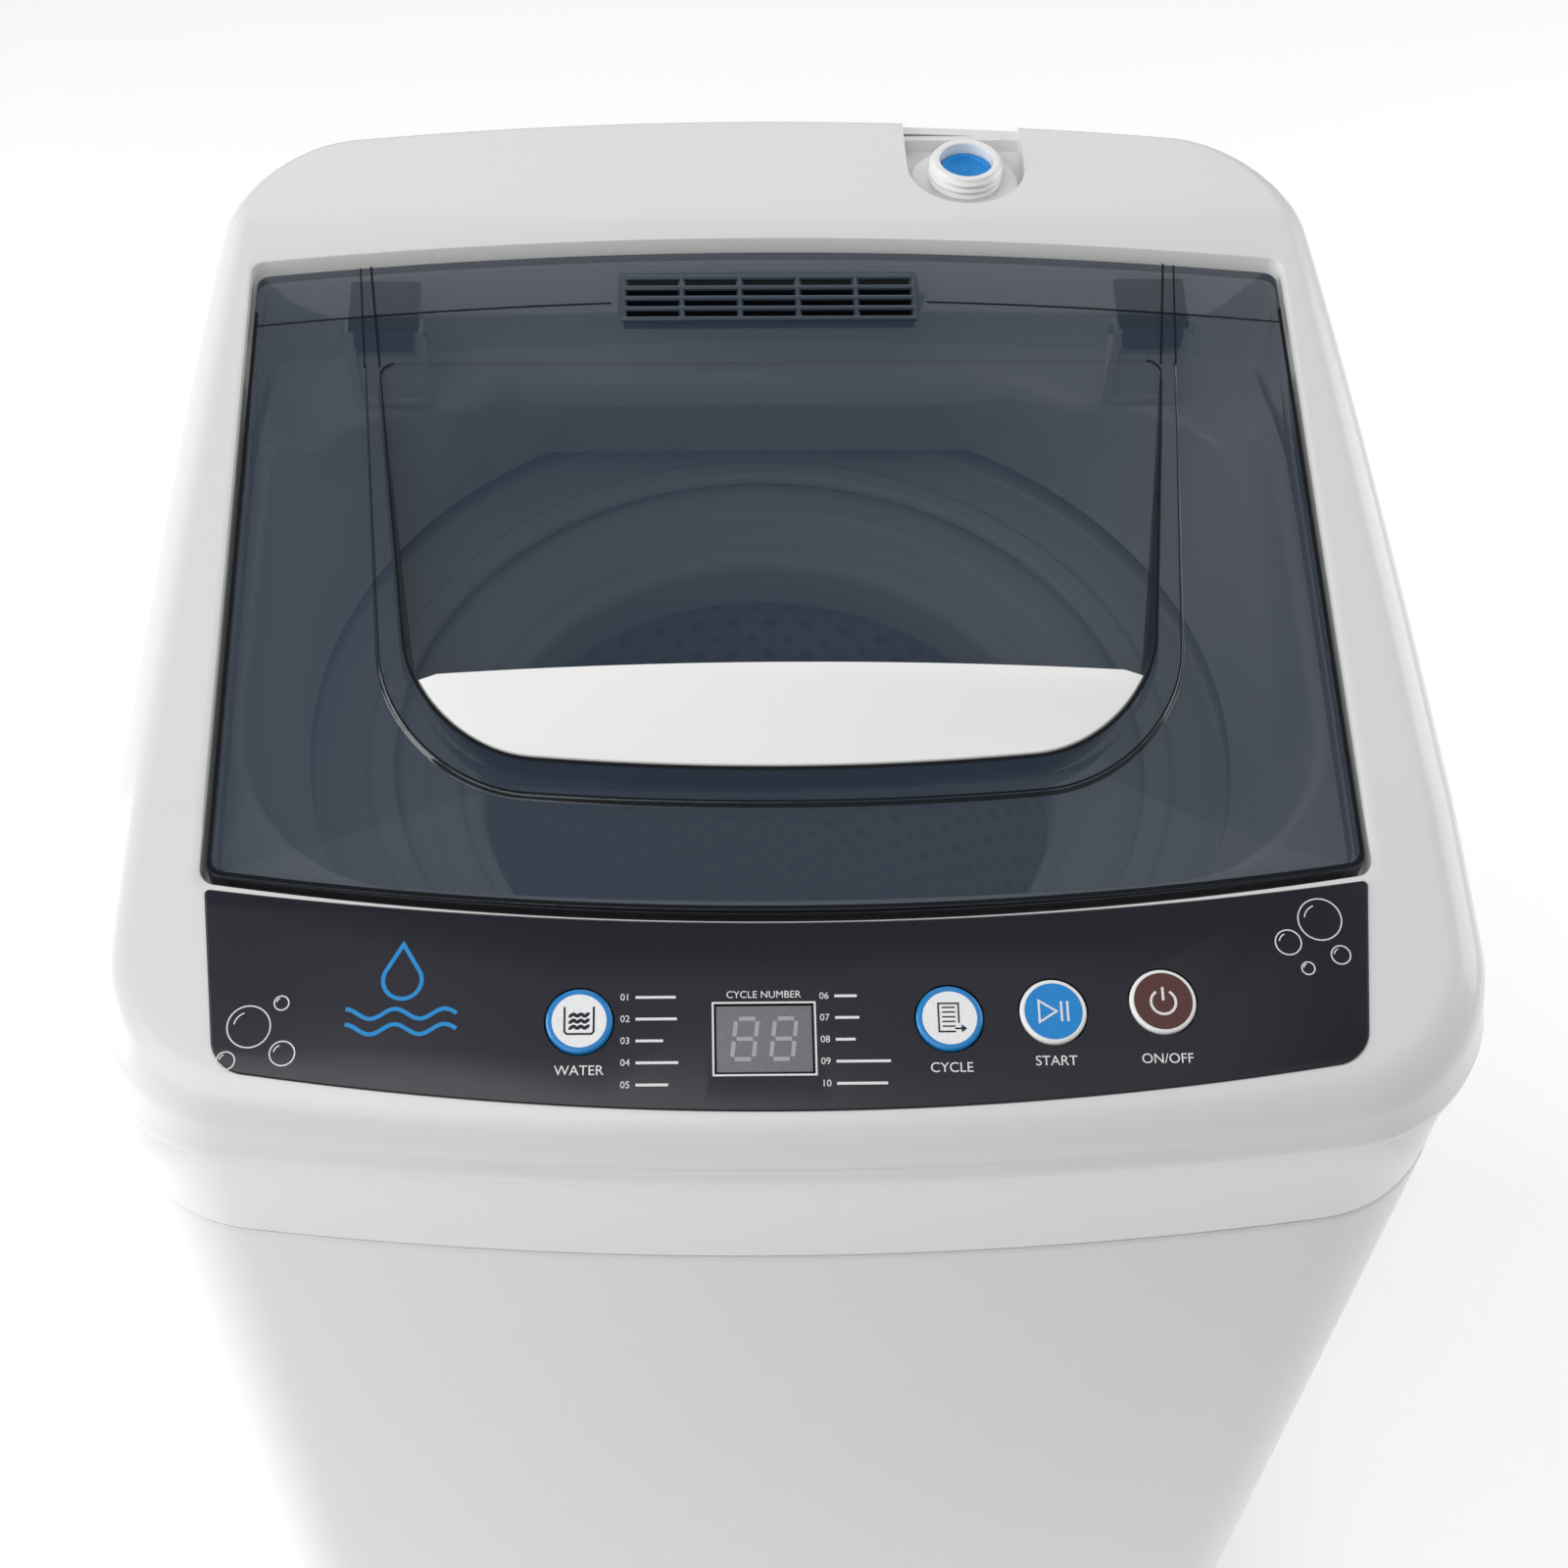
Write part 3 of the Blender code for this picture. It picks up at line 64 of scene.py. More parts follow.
WAVES_PER_UNIT = 0.314  # turns a wave texture's scale into one band per unit of length
STEEP = 0.75  # cosine of the tilt past which a face of the lid is seen edge on
log = logging.getLogger("washer")

Plan = list[tuple[float, float]]
Loop = list[tuple[float, float, float]]


class Ends(Enum):
    """How a stack of loops is finished."""

    CAPPED = "flat caps at both ends"
    OPEN = "an open tube"
    RING = "last loop joined to the first"


class Body(Enum):
    """The moving bodies of the frame."""

    SHELL = "body"
    TUB = "tub"
    BASKET = "spin_basket"
    AGITATOR = "agitator"
    ROTOR = "motor_rotor"
    LID = "lid"
    FOOT = "levelling_foot"


# ---- nodes --------------------------------------------------------------------------------------
def connect(tree: bpy.types.NodeTree, node: bpy.types.Node, settings: dict | None = None,
            **inputs: object) -> bpy.types.Node:
    """Gives a node its settings and links.

    Args:
        tree: The shader or geometry tree.
        node: The node.
        settings: Values by property name, or by input name or number.
        **inputs: Output sockets to link, by input name with _ for a space, or by number with an i before it.

    Returns:
        The same node.
    """
    for key, value in (settings or {}).items():
        if isinstance(key, str) and hasattr(node, key):
            setattr(node, key, value)
        else:
            node.inputs[key].default_value = value
    for key, source in inputs.items():
        numbered = key[0] == "i" and key[1:].isdigit()
        tree.links.new(source, node.inputs[int(key[1:]) if numbered else key.replace("_", " ")])
    return node


def add_node(tree: bpy.types.NodeTree, kind: str, settings: dict | None = None,
             **inputs: object) -> bpy.types.Node:
    """Adds one node of Blender's named kind with its settings and links; see connect."""
    return connect(tree, tree.nodes.new(kind), settings, **inputs)


def linear(code: str) -> tuple[float, float, float, float]:
    """Turns an sRGB hex colour into linear light.

    Args:
        code: Six hex digits.

    Returns:
        Red, green, blue and an alpha of one.
    """
    parts = [int(code[i:i + 2], 16) / 255 for i in (0, 2, 4)]
    red, green, blue = (p / 12.92 if p <= 0.04045 else ((p + 0.055) / 1.055) ** 2.4 for p in parts)
    return red, green, blue, 1.0


def new_material(name: str) -> tuple[bpy.types.Material, bpy.types.NodeTree, bpy.types.Node]:
    """Makes an empty material and returns it with its tree and Principled shader.

    Args:
        name: The material's name.

    Returns:
        The material, its tree and its Principled shader.
    """
    made = bpy.data.materials.new(name)
    made.use_nodes = True
    tree = made.node_tree
    return made, tree, tree.nodes["Principled BSDF"]


# ---- finishes -----------------------------------------------------------------------------------
@dataclass(frozen=True)
class MouldedPlastic:
    """Injection moulded ABS or polypropylene: an even colour with a fine moulded skin."""

    name: str
    colour: str
    roughness: float = 0.3
    skin_mm: float = 1.2  # width of the soft waves or pits that the mould leaves
    skin_depth_mm: float = 0.004
    mottle: float = 0.02  # how much the tone drifts over a hand's width
    coat: float = 0.0
    drift_mm: float = 80.0  # width of that drift, as where the melt cooled unevenly

    def make(self) -> bpy.types.Material:
        """Builds the material.

        Returns:
            The material.
        """
        made, tree, shader = new_material(self.name)
        place = add_node(tree, "ShaderNodeTexCoord").outputs["Object"]
        drift = add_node(tree, "ShaderNodeTexNoise", {"Scale": 1 / (self.drift_mm * MM), "Detail": 3.0},
                         Vector=place)
        shade = add_node(tree, "ShaderNodeMapRange", {"To Min": 1 - self.mottle, "To Max": 1.0},
                         Value=drift.outputs["Fac"])
        colour = add_node(tree, "ShaderNodeMix", {"data_type": "RGBA", "blend_type": "MULTIPLY", 0: 1.0,
                                                 6: linear(self.colour)}, i7=shade.outputs["Result"])
        skin = add_node(tree, "ShaderNodeTexNoise", {"Scale": 1 / (self.skin_mm * MM), "Detail": 2.0},
                        Vector=place)
        gloss = add_node(tree, "ShaderNodeMapRange", {"To Min": self.roughness * 0.9,
                                                     "To Max": self.roughness * 1.12},
                         Value=drift.outputs["Fac"])
        bump = add_node(tree, "ShaderNodeBump", {"Strength": 0.35, "Distance": self.skin_depth_mm * MM},
                        Height=skin.outputs["Fac"])
        connect(tree, shader, {"IOR": 1.5, "Coat Weight": self.coat, "Coat Roughness": 0.08},
                Base_Color=colour.outputs[2], Roughness=gloss.outputs["Result"],
                Normal=bump.outputs["Normal"])
        return made


@dataclass(frozen=True)
class SmokedStyrene:
    """Smoked see-through polystyrene: tinted right through, so it is darkest where it is thick."""

    name: str
    tint: str
    cover: float  # share of the light that one face of the sheet holds back
    roughness: float = 0.06

    def make(self) -> bpy.types.Material:
        """Builds the material, with constant values so that it stays see-through when it is exported.

        Returns:
            The material.
        """
        made, _, shader = new_material(self.name)
        shader.inputs["Base Color"].default_value = linear(self.tint)
        shader.inputs["Roughness"].default_value = self.roughness
        shader.inputs["IOR"].default_value = 1.59
        shader.inputs["Alpha"].default_value = self.cover
        made.surface_render_method = "BLENDED"
        return made


@dataclass(frozen=True)
class PrintedFilm:
    """Screen printed polycarbonate film: one deep colour under a very fine satin face."""

    name: str
    colour: str
    roughness: float = 0.28
    fleck_mm: float = 0.35  # the satin face's grit, drawn coarser than life so that it shows

    def make(self) -> bpy.types.Material:
        """Builds the material.

        Returns:
            The material.
        """
        made, tree, shader = new_material(self.name)
        place = add_node(tree, "ShaderNodeTexCoord").outputs["Object"]
        fleck = add_node(tree, "ShaderNodeTexNoise", {"Scale": 1 / (self.fleck_mm * MM), "Detail": 1.0},
                         Vector=place)
        lighten = add_node(tree, "ShaderNodeMapRange", {"From Min": 0.45, "From Max": 0.8, "To Min": 1.0,
                                                       "To Max": 1.25}, Value=fleck.outputs["Fac"])
        colour = add_node(tree, "ShaderNodeMix", {"data_type": "RGBA", "blend_type": "MULTIPLY", 0: 1.0,
                                                 6: linear(self.colour)}, i7=lighten.outputs["Result"])
        bump = add_node(tree, "ShaderNodeBump", {"Strength": 0.2, "Distance": 0.002 * MM},
                        Height=fleck.outputs["Fac"])
        connect(tree, shader, {"Roughness": self.roughness}, Base_Color=colour.outputs[2],
                Normal=bump.outputs["Normal"])
        return made


@dataclass(frozen=True)
class PlatedSteel:
    """Zinc plated sheet or rod: bright, faintly streaked along the way it was drawn."""

    name: str
    colour: str = "b9bcc0"
    roughness: float = 0.32
    streak_mm: tuple[float, float, float] = (0.6, 0.6, 14.0)

    def make(self) -> bpy.types.Material:
        """Builds the material.

        Returns:
            The material.
        """
        made, tree, shader = new_material(self.name)
        place = add_node(tree, "ShaderNodeTexCoord").outputs["Object"]
        stretch = add_node(tree, "ShaderNodeMapping", {"Scale": [1 / (s * MM) for s in self.streak_mm]},
                           Vector=place)
        streak = add_node(tree, "ShaderNodeTexNoise", {"Scale": 1.0, "Detail": 4.0},
                          Vector=stretch.outputs["Vector"])
        dull = add_node(tree, "ShaderNodeMapRange", {"To Min": self.roughness * 0.7,
                                                    "To Max": self.roughness * 1.4},
                        Value=streak.outputs["Fac"])
        tone = add_node(tree, "ShaderNodeMapRange", {"To Min": 0.8, "To Max": 1.0},
                        Value=streak.outputs["Fac"])
        colour = add_node(tree, "ShaderNodeMix", {"data_type": "RGBA", "blend_type": "MULTIPLY", 0: 1.0,
                                                 6: linear(self.colour)}, i7=tone.outputs["Result"])
        connect(tree, shader, {"Metallic": 1.0}, Roughness=dull.outputs["Result"],
                Base_Color=colour.outputs[2])
        return made


@dataclass(frozen=True)
class SandCastAlloy:
    """Cast aluminium: a dull grey metal with the sandy pits of its mould."""

    name: str
    colour: str = "9a9c9f"
    grit_mm: float = 0.9

    def make(self) -> bpy.types.Material:
        """Builds the material.

        Returns:
            The material.
        """
        made, tree, shader = new_material(self.name)
        place = add_node(tree, "ShaderNodeTexCoord").outputs["Object"]
        grit = add_node(tree, "ShaderNodeTexVoronoi", {"Scale": 1 / (self.grit_mm * MM)}, Vector=place)
        shade = add_node(tree, "ShaderNodeMapRange", {"To Min": 0.75, "To Max": 1.0},
                         Value=grit.outputs["Distance"])
        colour = add_node(tree, "ShaderNodeMix", {"data_type": "RGBA", "blend_type": "MULTIPLY", 0: 1.0,
                                                 6: linear(self.colour)}, i7=shade.outputs["Result"])
        bump = add_node(tree, "ShaderNodeBump", {"Strength": 0.5, "Distance": 0.05 * MM},
                        Height=grit.outputs["Distance"])
        connect(tree, shader, {"Metallic": 1.0, "Roughness": 0.55}, Base_Color=colour.outputs[2],
                Normal=bump.outputs["Normal"])
        return made


@dataclass(frozen=True)
class VulcanisedRubber:
    """Moulded black rubber: dull, with a chalky bloom in patches."""

    name: str
    colour: str = "26272a"
    bloom: str = "4a4b4e"
    patch_mm: float = 9.0

    def make(self) -> bpy.types.Material:
        """Builds the material.

        Returns:
            The material.
        """
        made, tree, shader = new_material(self.name)
        place = add_node(tree, "ShaderNodeTexCoord").outputs["Object"]
        patch = add_node(tree, "ShaderNodeTexNoise", {"Scale": 1 / (self.patch_mm * MM), "Detail": 5.0},
                         Vector=place)
        share = add_node(tree, "ShaderNodeMapRange", {"From Min": 0.5, "From Max": 0.8, "To Max": 0.5},
                         Value=patch.outputs["Fac"])
        colour = add_node(tree, "ShaderNodeMix", {"data_type": "RGBA", 6: linear(self.colour),
                                                 7: linear(self.bloom)}, i0=share.outputs["Result"])
        bump = add_node(tree, "ShaderNodeBump", {"Strength": 0.3, "Distance": 0.03 * MM},
                        Height=patch.outputs["Fac"])
        connect(tree, shader, {"Roughness": 0.8}, Base_Color=colour.outputs[2], Normal=bump.outputs["Normal"])
        return made


@dataclass(frozen=True)
class WovenStrainer:
    """Woven nylon strainer: crossing threads with dark gaps between."""

    name: str
    thread: str
    gap: str
    pitch_mm: float = 0.9

    def make(self) -> bpy.types.Material:
        """Builds the material.

        Returns:
            The material.
        """
        made, tree, shader = new_material(self.name)
        place = add_node(tree, "ShaderNodeTexCoord").outputs["Object"]
        turns = [add_node(tree, "ShaderNodeTexWave", {"bands_direction": way, "Distortion": 0.4,
                                                     "Scale": WAVES_PER_UNIT / (self.pitch_mm * MM)},
                          Vector=place)
                 for way in ("X", "Y")]
        weave = add_node(tree, "ShaderNodeMath", {"operation": "MAXIMUM"}, i0=turns[0].outputs["Fac"],
                         i1=turns[1].outputs["Fac"])
        colour = add_node(tree, "ShaderNodeMix", {"data_type": "RGBA", 6: linear(self.gap),
                                                 7: linear(self.thread)}, i0=weave.outputs["Value"])
        bump = add_node(tree, "ShaderNodeBump", {"Strength": 0.6, "Distance": 0.15 * MM},
                        Height=weave.outputs["Value"])
        connect(tree, shader, {"Roughness": 0.45}, Base_Color=colour.outputs[2],
                Normal=bump.outputs["Normal"])
        return made


@dataclass(frozen=True)
class SolderMaskBoard:
    """Fibreglass circuit board under green solder mask: tracks show as slightly lighter lines."""

    name: str
    mask: str = "1f5a38"
    track: str = "3c8a5a"
    pitch_mm: float = 5.0

    def make(self) -> bpy.types.Material:
        """Builds the material.

        Returns:
            The material.
        """
        made, tree, shader = new_material(self.name)
        place = add_node(tree, "ShaderNodeTexCoord").outputs["Object"]
        tracks = add_node(tree, "ShaderNodeTexBrick", {"Scale": 1 / (self.pitch_mm * MM), "Mortar Size": 0.05,
                                                      "Color1": linear(self.mask),
                                                      "Color2": linear(self.mask),
                                                      "Mortar": linear(self.track)}, Vector=place)
        connect(tree, shader, {"Roughness": 0.35}, Base_Color=tracks.outputs["Color"])
        return made


class Finish(Enum):
    """Every finish on the machine, by what it is made of."""

    WHITE_SHELL = MouldedPlastic("gloss_white_abs", "eaeae9", 0.26, 6.0, 0.006, 0.015, coat=0.15)
    WHITE_PART = MouldedPlastic("matte_white_polypropylene", "dfe0df", 0.42, 0.9, 0.01, 0.03)
    WHITE_GRIP = MouldedPlastic("satin_white_abs", "fbfbf9", 0.34, 1.5, 0.004, 0.012)
    SMOKED = SmokedStyrene("smoked_polystyrene", "3b4a5c", 0.46)
    SMOKED_EDGE = SmokedStyrene("smoked_polystyrene_edge", "0a0f16", 0.86)
    # opaque and lighter than the sheet: the ribs' tone is a painted reflection of light from above on their gloss
    SMOKED_RIB_PAINTED_SHEEN = SmokedStyrene("smoked_rib_painted_sheen", "3d4853", 1.0, 0.22)
    FILM = PrintedFilm("charcoal_panel_film", "1b1b26")
    WHITE_INK = PrintedFilm("white_screen_ink", "e8e8e8", 0.5)
    BLUE_INK = PrintedFilm("blue_screen_ink", "1a8cd2", 0.45)
    BLUE_KEY = MouldedPlastic("gloss_blue_abs", "1a86cf", 0.24, 1.2, 0.004, 0.02, coat=0.3)
    BLUE_FACE = PrintedFilm("blue_key_film", "1c88d2", 0.3)
    WHITE_FACE = PrintedFilm("white_key_film", "f2f3f4", 0.3)
    MAROON_FACE = PrintedFilm("maroon_metallic_film", "573431", 0.34, 0.6)
    WHITE_KEY = MouldedPlastic("gloss_white_key_abs", "f4f4f2", 0.22, 1.2, 0.004, 0.012, coat=0.3)
    DISPLAY = PrintedFilm("grey_display_window", "77777b", 0.16, 0.6)
    SEGMENT = PrintedFilm("unlit_display_segment", "a9a9ad", 0.3, 0.5)
    GREY_PART = MouldedPlastic("grey_polypropylene", "8d9094", 0.5, 0.8, 0.012, 0.05)
    BLACK_PART = MouldedPlastic("black_acetal", "17191c", 0.42, 0.7, 0.01, 0.06)
    STEEL = PlatedSteel("zinc_plated_steel")
    CAST = SandCastAlloy("sand_cast_aluminium")
    RUBBER = VulcanisedRubber("moulded_black_rubber")
    STRAINER = WovenStrainer("blue_nylon_strainer", "109ff0", "0566bc")
    BOARD = SolderMaskBoard("green_circuit_board")

    def material(self) -> bpy.types.Material:
        """The finish's material, made on first use."""
        return bpy.data.materials.get(self.value.name) or self.value.make()


# ---- meshes -------------------------------------------------------------------------------------
def settle(obj: bpy.types.Object, finish: Finish, body: Body | str, nodes: Sequence[str] = ()) -> bpy.types.Object:
    """Dresses a finished piece and hands it to the frame.

    Args:
        obj: The piece, with its place in its mesh.
        finish: What it is made of.
        body: The body it moves with.
        nodes: CAD nodes that it stands for.

    Returns:
        The same piece.
    """
    if not obj.data.materials:
        obj.data.materials.append(finish.material())
    name = body.value if isinstance(body, Body) else body
    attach(obj, name)
    if nodes:
        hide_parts(*nodes)
    log.info("%s rides on %s: %d faces", obj.name, name, len(obj.data.polygons))
    return obj


def shaded(mesh: bpy.types.Mesh) -> bpy.types.Mesh:
    """Smooths the round stretches of a mesh and keeps its corners crisp.

    Args:
        mesh: The mesh.

    Returns:
        The same mesh.
    """
    mesh.shade_smooth()
    mesh.set_sharp_from_angle(angle=SMOOTH_ANGLE)
    return mesh


def in_scene(name: str, mesh: bpy.types.Mesh) -> bpy.types.Object:
    """Puts a mesh in the scene, untransformed.

    Args:
        name: The object's name.
        mesh: Its mesh.

    Returns:
        The object.
    """
    made = bpy.data.objects.new(name, mesh)
    bpy.context.scene.collection.objects.link(made)
    return made


def meshed(name: str, shape: bmesh.types.BMesh) -> bpy.types.Mesh:
    """Turns an edited shape into a mesh and frees the shape.

    Args:
        name: The mesh's name.
        shape: The edited shape.

    Returns:
        The mesh.
    """
    mesh = bpy.data.meshes.new(name)
    shape.to_mesh(mesh)
    shape.free()
    return mesh


def mesh_object(name: str, points: Iterable, faces: Iterable) -> bpy.types.Object:
    """Makes an object of points and faces, with the faces turned to point out.

    Args:
        name: The object's name.
        points: Its points.
        faces: Its faces, as numbers of points.

    Returns:
        The object.
    """
    mesh = bpy.data.meshes.new(name)
    mesh.from_pydata([tuple(p) for p in points], [], list(faces))
    shape = bmesh.new()
    shape.from_mesh(mesh)
    bmesh.ops.remove_doubles(shape, verts=shape.verts, dist=0.002 * MM)
    bmesh.ops.recalc_face_normals(shape, faces=shape.faces)
    shape.to_mesh(mesh)
    shape.free()
    return in_scene(name, shaded(mesh))


def baked(obj: bpy.types.Object) -> bpy.types.Object:
    """Applies an object's modifiers and its place, leaving one plain mesh at the origin.

    Args:
        obj: The object.

    Returns:
        The same object.
    """
    bpy.context.view_layer.update()
    mesh = bpy.data.meshes.new_from_object(obj.evaluated_get(bpy.context.evaluated_depsgraph_get()))
    mesh.transform(obj.matrix_world)
    obj.modifiers.clear()
    obj.data = mesh
    obj.matrix_world = Matrix.Identity(4)
    shaded(mesh)
    return obj


def stack(name: str, loops: Sequence[Loop], ends: Ends = Ends.CAPPED) -> bpy.types.Object:
    """Lofts a surface through loops that have equally many points.

    Args:
        name: The object's name.
        loops: Closed loops of points, in order.
        ends: How the first and last loop are finished.

    Returns:
        The lofted object.
    """
    count = len(loops[0])
    rows = len(loops) if ends is Ends.RING else len(loops) - 1
    faces: list[tuple[int, ...]] = []
    for row in range(rows):
        here, above = row * count, (row + 1) % len(loops) * count
        faces += [(here + i, here + (i + 1) % count, above + (i + 1) % count, above + i)
                  for i in range(count)]
    if ends is Ends.CAPPED:
        faces += [tuple(range(count)), tuple(range((len(loops) - 1) * count, len(loops) * count))]
    return mesh_object(name, [p for loop in loops for p in loop], faces)


def rounded(profile: Sequence[tuple[float, float]], radius: float,
            steps: int = 4) -> list[tuple[float, float]]:
    """Rounds the corners of a closed outline.

    Args:
        profile: The outline's corners.
        radius: Largest corner radius; a short side gets a smaller one.
        steps: Straight pieces in each rounding.

    Returns:
        The outline with every corner rounded.
    """
    points = []
    for i, corner in enumerate(profile):
        here = Vector(corner)
        before, after = Vector(profile[i - 1]) - here, Vector(profile[(i + 1) % len(profile)]) - here
        reach = min(radius, before.length * 0.45, after.length * 0.45)
        if reach < 0.02 * MM or here.x < 0.01 * MM:
            points.append((here.x, here.y))
            continue
        start, end = here + before.normalized() * reach, here + after.normalized() * reach
        for step in range(steps + 1):
            t = step / steps
            spot = start * (1 - t) ** 2 + here * (2 * t * (1 - t)) + end * t**2
            points.append((spot.x, spot.y))
    return points


def turned(name: str, profile: Sequence[tuple[float, float]], at: Sequence[float] = (0.0, 0.0),
           radius: float = 0.0006, sides: int = 96, along: Matrix | None = None) -> bpy.types.Object:
    """Turns a closed outline about its axis.

    Args:
        name: The object's name.
        profile: Corners as (distance from the axis, height).
        at: Where the upright axis stands.
        radius: Rounding of the corners.
        sides: Straight pieces round the axis.
        along: A placement used instead of at.

    Returns:
        The turned object.
    """
    outline = rounded(profile, radius)
    loops = []
    for i in range(sides):
        angle = 2 * math.pi * i / sides
        loops.append([(r * math.cos(angle), r * math.sin(angle), z) for r, z in outline])
    place = along or Matrix.Translation((at[0], at[1], 0.0))
    made = stack(name, loops, Ends.RING)
    made.data.transform(place)
    return made


def block(name: str, size: Sequence[float], centre: Sequence[float] = (0, 0, 0),
          edge: float = 0.5 * MM) -> bpy.types.Object:
    """Makes a block with rounded edges.

    Args:
        name: The object's name.
        size: Its three side lengths.
        centre: Its middle.
        edge: Radius of its edges.

    Returns:
        The block.
    """
    shape = bmesh.new()
    bmesh.ops.create_cube(shape, size=1.0)
    bmesh.ops.scale(shape, vec=size, verts=shape.verts)
    if edge:
        bmesh.ops.bevel(shape, geom=shape.edges[:], offset=edge, segments=3, profile=0.6, affect="EDGES")
    mesh = meshed(name, shape)
    mesh.transform(Matrix.Translation(centre))
    return in_scene(name, shaded(mesh))


def joined(name: str, pieces: Sequence[bpy.types.Object]) -> bpy.types.Object:
    """Puts several meshes in one object and removes the originals.

    Args:
        name: The joint object's name.
        pieces: The objects that go into it.

    Returns:
        The joint object.
    """
    shape = bmesh.new()
    for piece in pieces:
        shape.from_mesh(piece.data)
        bpy.data.objects.remove(piece)
    return in_scene(name, shaded(meshed(name, shape)))


def carve(target: bpy.types.Object, tools: Sequence[bpy.types.Object],
          operation: str = "DIFFERENCE") -> bpy.types.Object:
    """Cuts tools out of a piece, or joins them to it, and removes them.

    Args:
        target: The piece.
        tools: What is cut out of it or joined to it.
        operation: Blender's name of the boolean operation.

    Returns:
        The same piece.
    """
    for tool in tools:
        change = target.modifiers.new("carve", "BOOLEAN")
        change.operation = operation
        change.object = tool
    baked(target)
    for tool in tools:
        bpy.data.objects.remove(tool)
    return target


def refined(node: str, edge: float = 0.4 * MM) -> bpy.types.Object:
    """Copies a plain CAD node with its loose triangles merged and its edges rounded.

    Args:
        node: The CAD node's name.
        edge: Radius of its edges.

    Returns:
        The finer copy, named for the node.
    """
    shape = bmesh.new()
    shape.from_mesh(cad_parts[node].data)
    bmesh.ops.remove_doubles(shape, verts=shape.verts, dist=0.01 * MM)
    bmesh.ops.dissolve_limit(shape, angle_limit=math.radians(1), verts=shape.verts, edges=shape.edges)
    mesh = meshed(node, shape)
    mesh.materials.clear()
    made = in_scene(f"{node}_fine", mesh)
    rounding = made.modifiers.new("edges", "BEVEL")
    rounding.width = edge
    rounding.segments = 2
    rounding.limit_method = "ANGLE"
    rounding.angle_limit = SMOOTH_ANGLE
    return baked(made)


# ---- geometry trees -----------------------------------------------------------------------------
def geometry_tree(name: str, inputs: dict[str, tuple[str, object]]) -> tuple:
    """Starts a geometry tree with named inputs.

    Args:
        name: The tree's name.
        inputs: Socket type and value of each input, by name.

    Returns:
        The tree, the sockets of its inputs by name, and its output node.
    """
    tree = bpy.data.node_groups.new(name, "GeometryNodeTree")
    tree.interface.new_socket("Geometry", in_out="INPUT", socket_type="NodeSocketGeometry")
    tree.interface.new_socket("Geometry", in_out="OUTPUT", socket_type="NodeSocketGeometry")
    for label, (kind, value) in inputs.items():
        tree.interface.new_socket(label, in_out="INPUT", socket_type=kind).default_value = value
    return tree, tree.nodes.new("NodeGroupInput").outputs, tree.nodes.new("NodeGroupOutput")


def close_tree(tree: bpy.types.NodeTree, shape: bpy.types.NodeSocket, out: bpy.types.Node,
               finish: Finish) -> None:
    """Ends a tree in Realize Instances and Set Material.

    Args:
        tree: The tree.
        shape: What comes out of its last node.
        out: Its output node.
        finish: What the result is made of.
    """
    real = add_node(tree, "GeometryNodeRealizeInstances", Geometry=shape)
    dressed = add_node(tree, "GeometryNodeSetMaterial", {"Material": finish.material()},
                       Geometry=real.outputs["Geometry"])
    tree.links.new(dressed.outputs["Geometry"], out.inputs["Geometry"])


def grown(obj: bpy.types.Object, tree: bpy.types.NodeTree, values: dict[str, object]) -> bpy.types.Object:
    """Runs a geometry tree on an object and leaves its result as a plain mesh.

    Args:
        obj: The object whose mesh goes in.
        tree: The tree.
        values: Values of the tree's inputs, by their names.

    Returns:
        The same object with the new mesh.
    """
    change = obj.modifiers.new(tree.name, "NODES")
    change.node_group = tree
    for item in tree.interface.items_tree:
        if item.in_out == "INPUT" and item.name in values:
            change[item.identifier] = values[item.name]
    return baked(obj)


FLOAT, INT, VECTOR = "NodeSocketFloat", "NodeSocketInt", "NodeSocketVector"


def slot_grid_tree() -> bpy.types.NodeTree:
    """A tree that cuts a tilted grid of slots through a sheet.

    Returns:
        The tree.
    """
    tree, given, out = geometry_tree("vent_slots", {
        "Columns": (INT, 5), "Rows": (INT, 4), "Slot": (VECTOR, (0.01, 0.01, 0.01)),
        "Spread X": (FLOAT, 0.1), "Spread Y": (FLOAT, 0.01), "Centre": (VECTOR, (0, 0, 0)),
        "Tilt": (VECTOR, (0, 0, 0))})
    points = add_node(tree, "GeometryNodeMeshGrid", Vertices_X=given["Columns"],
                      Vertices_Y=given["Rows"], Size_X=given["Spread X"],
                      Size_Y=given["Spread Y"])
    cutter = add_node(tree, "GeometryNodeMeshCube", Size=given["Slot"])
    copies = add_node(tree, "GeometryNodeInstanceOnPoints", Points=points.outputs["Mesh"],
                      Instance=cutter.outputs["Mesh"])
    real = add_node(tree, "GeometryNodeRealizeInstances", Geometry=copies.outputs["Instances"])
    placed = add_node(tree, "GeometryNodeTransform", Geometry=real.outputs["Geometry"],
                      Translation=given["Centre"], Rotation=given["Tilt"])
    cut = add_node(tree, "GeometryNodeMeshBoolean", {"operation": "DIFFERENCE", "solver": "EXACT"})
    tree.links.new(given["Geometry"], cut.inputs["Mesh 1"])
    tree.links.new(placed.outputs["Geometry"], cut.inputs["Mesh 2"])
    close_tree(tree, cut.outputs["Mesh"], out, Finish.SMOKED)
    return tree


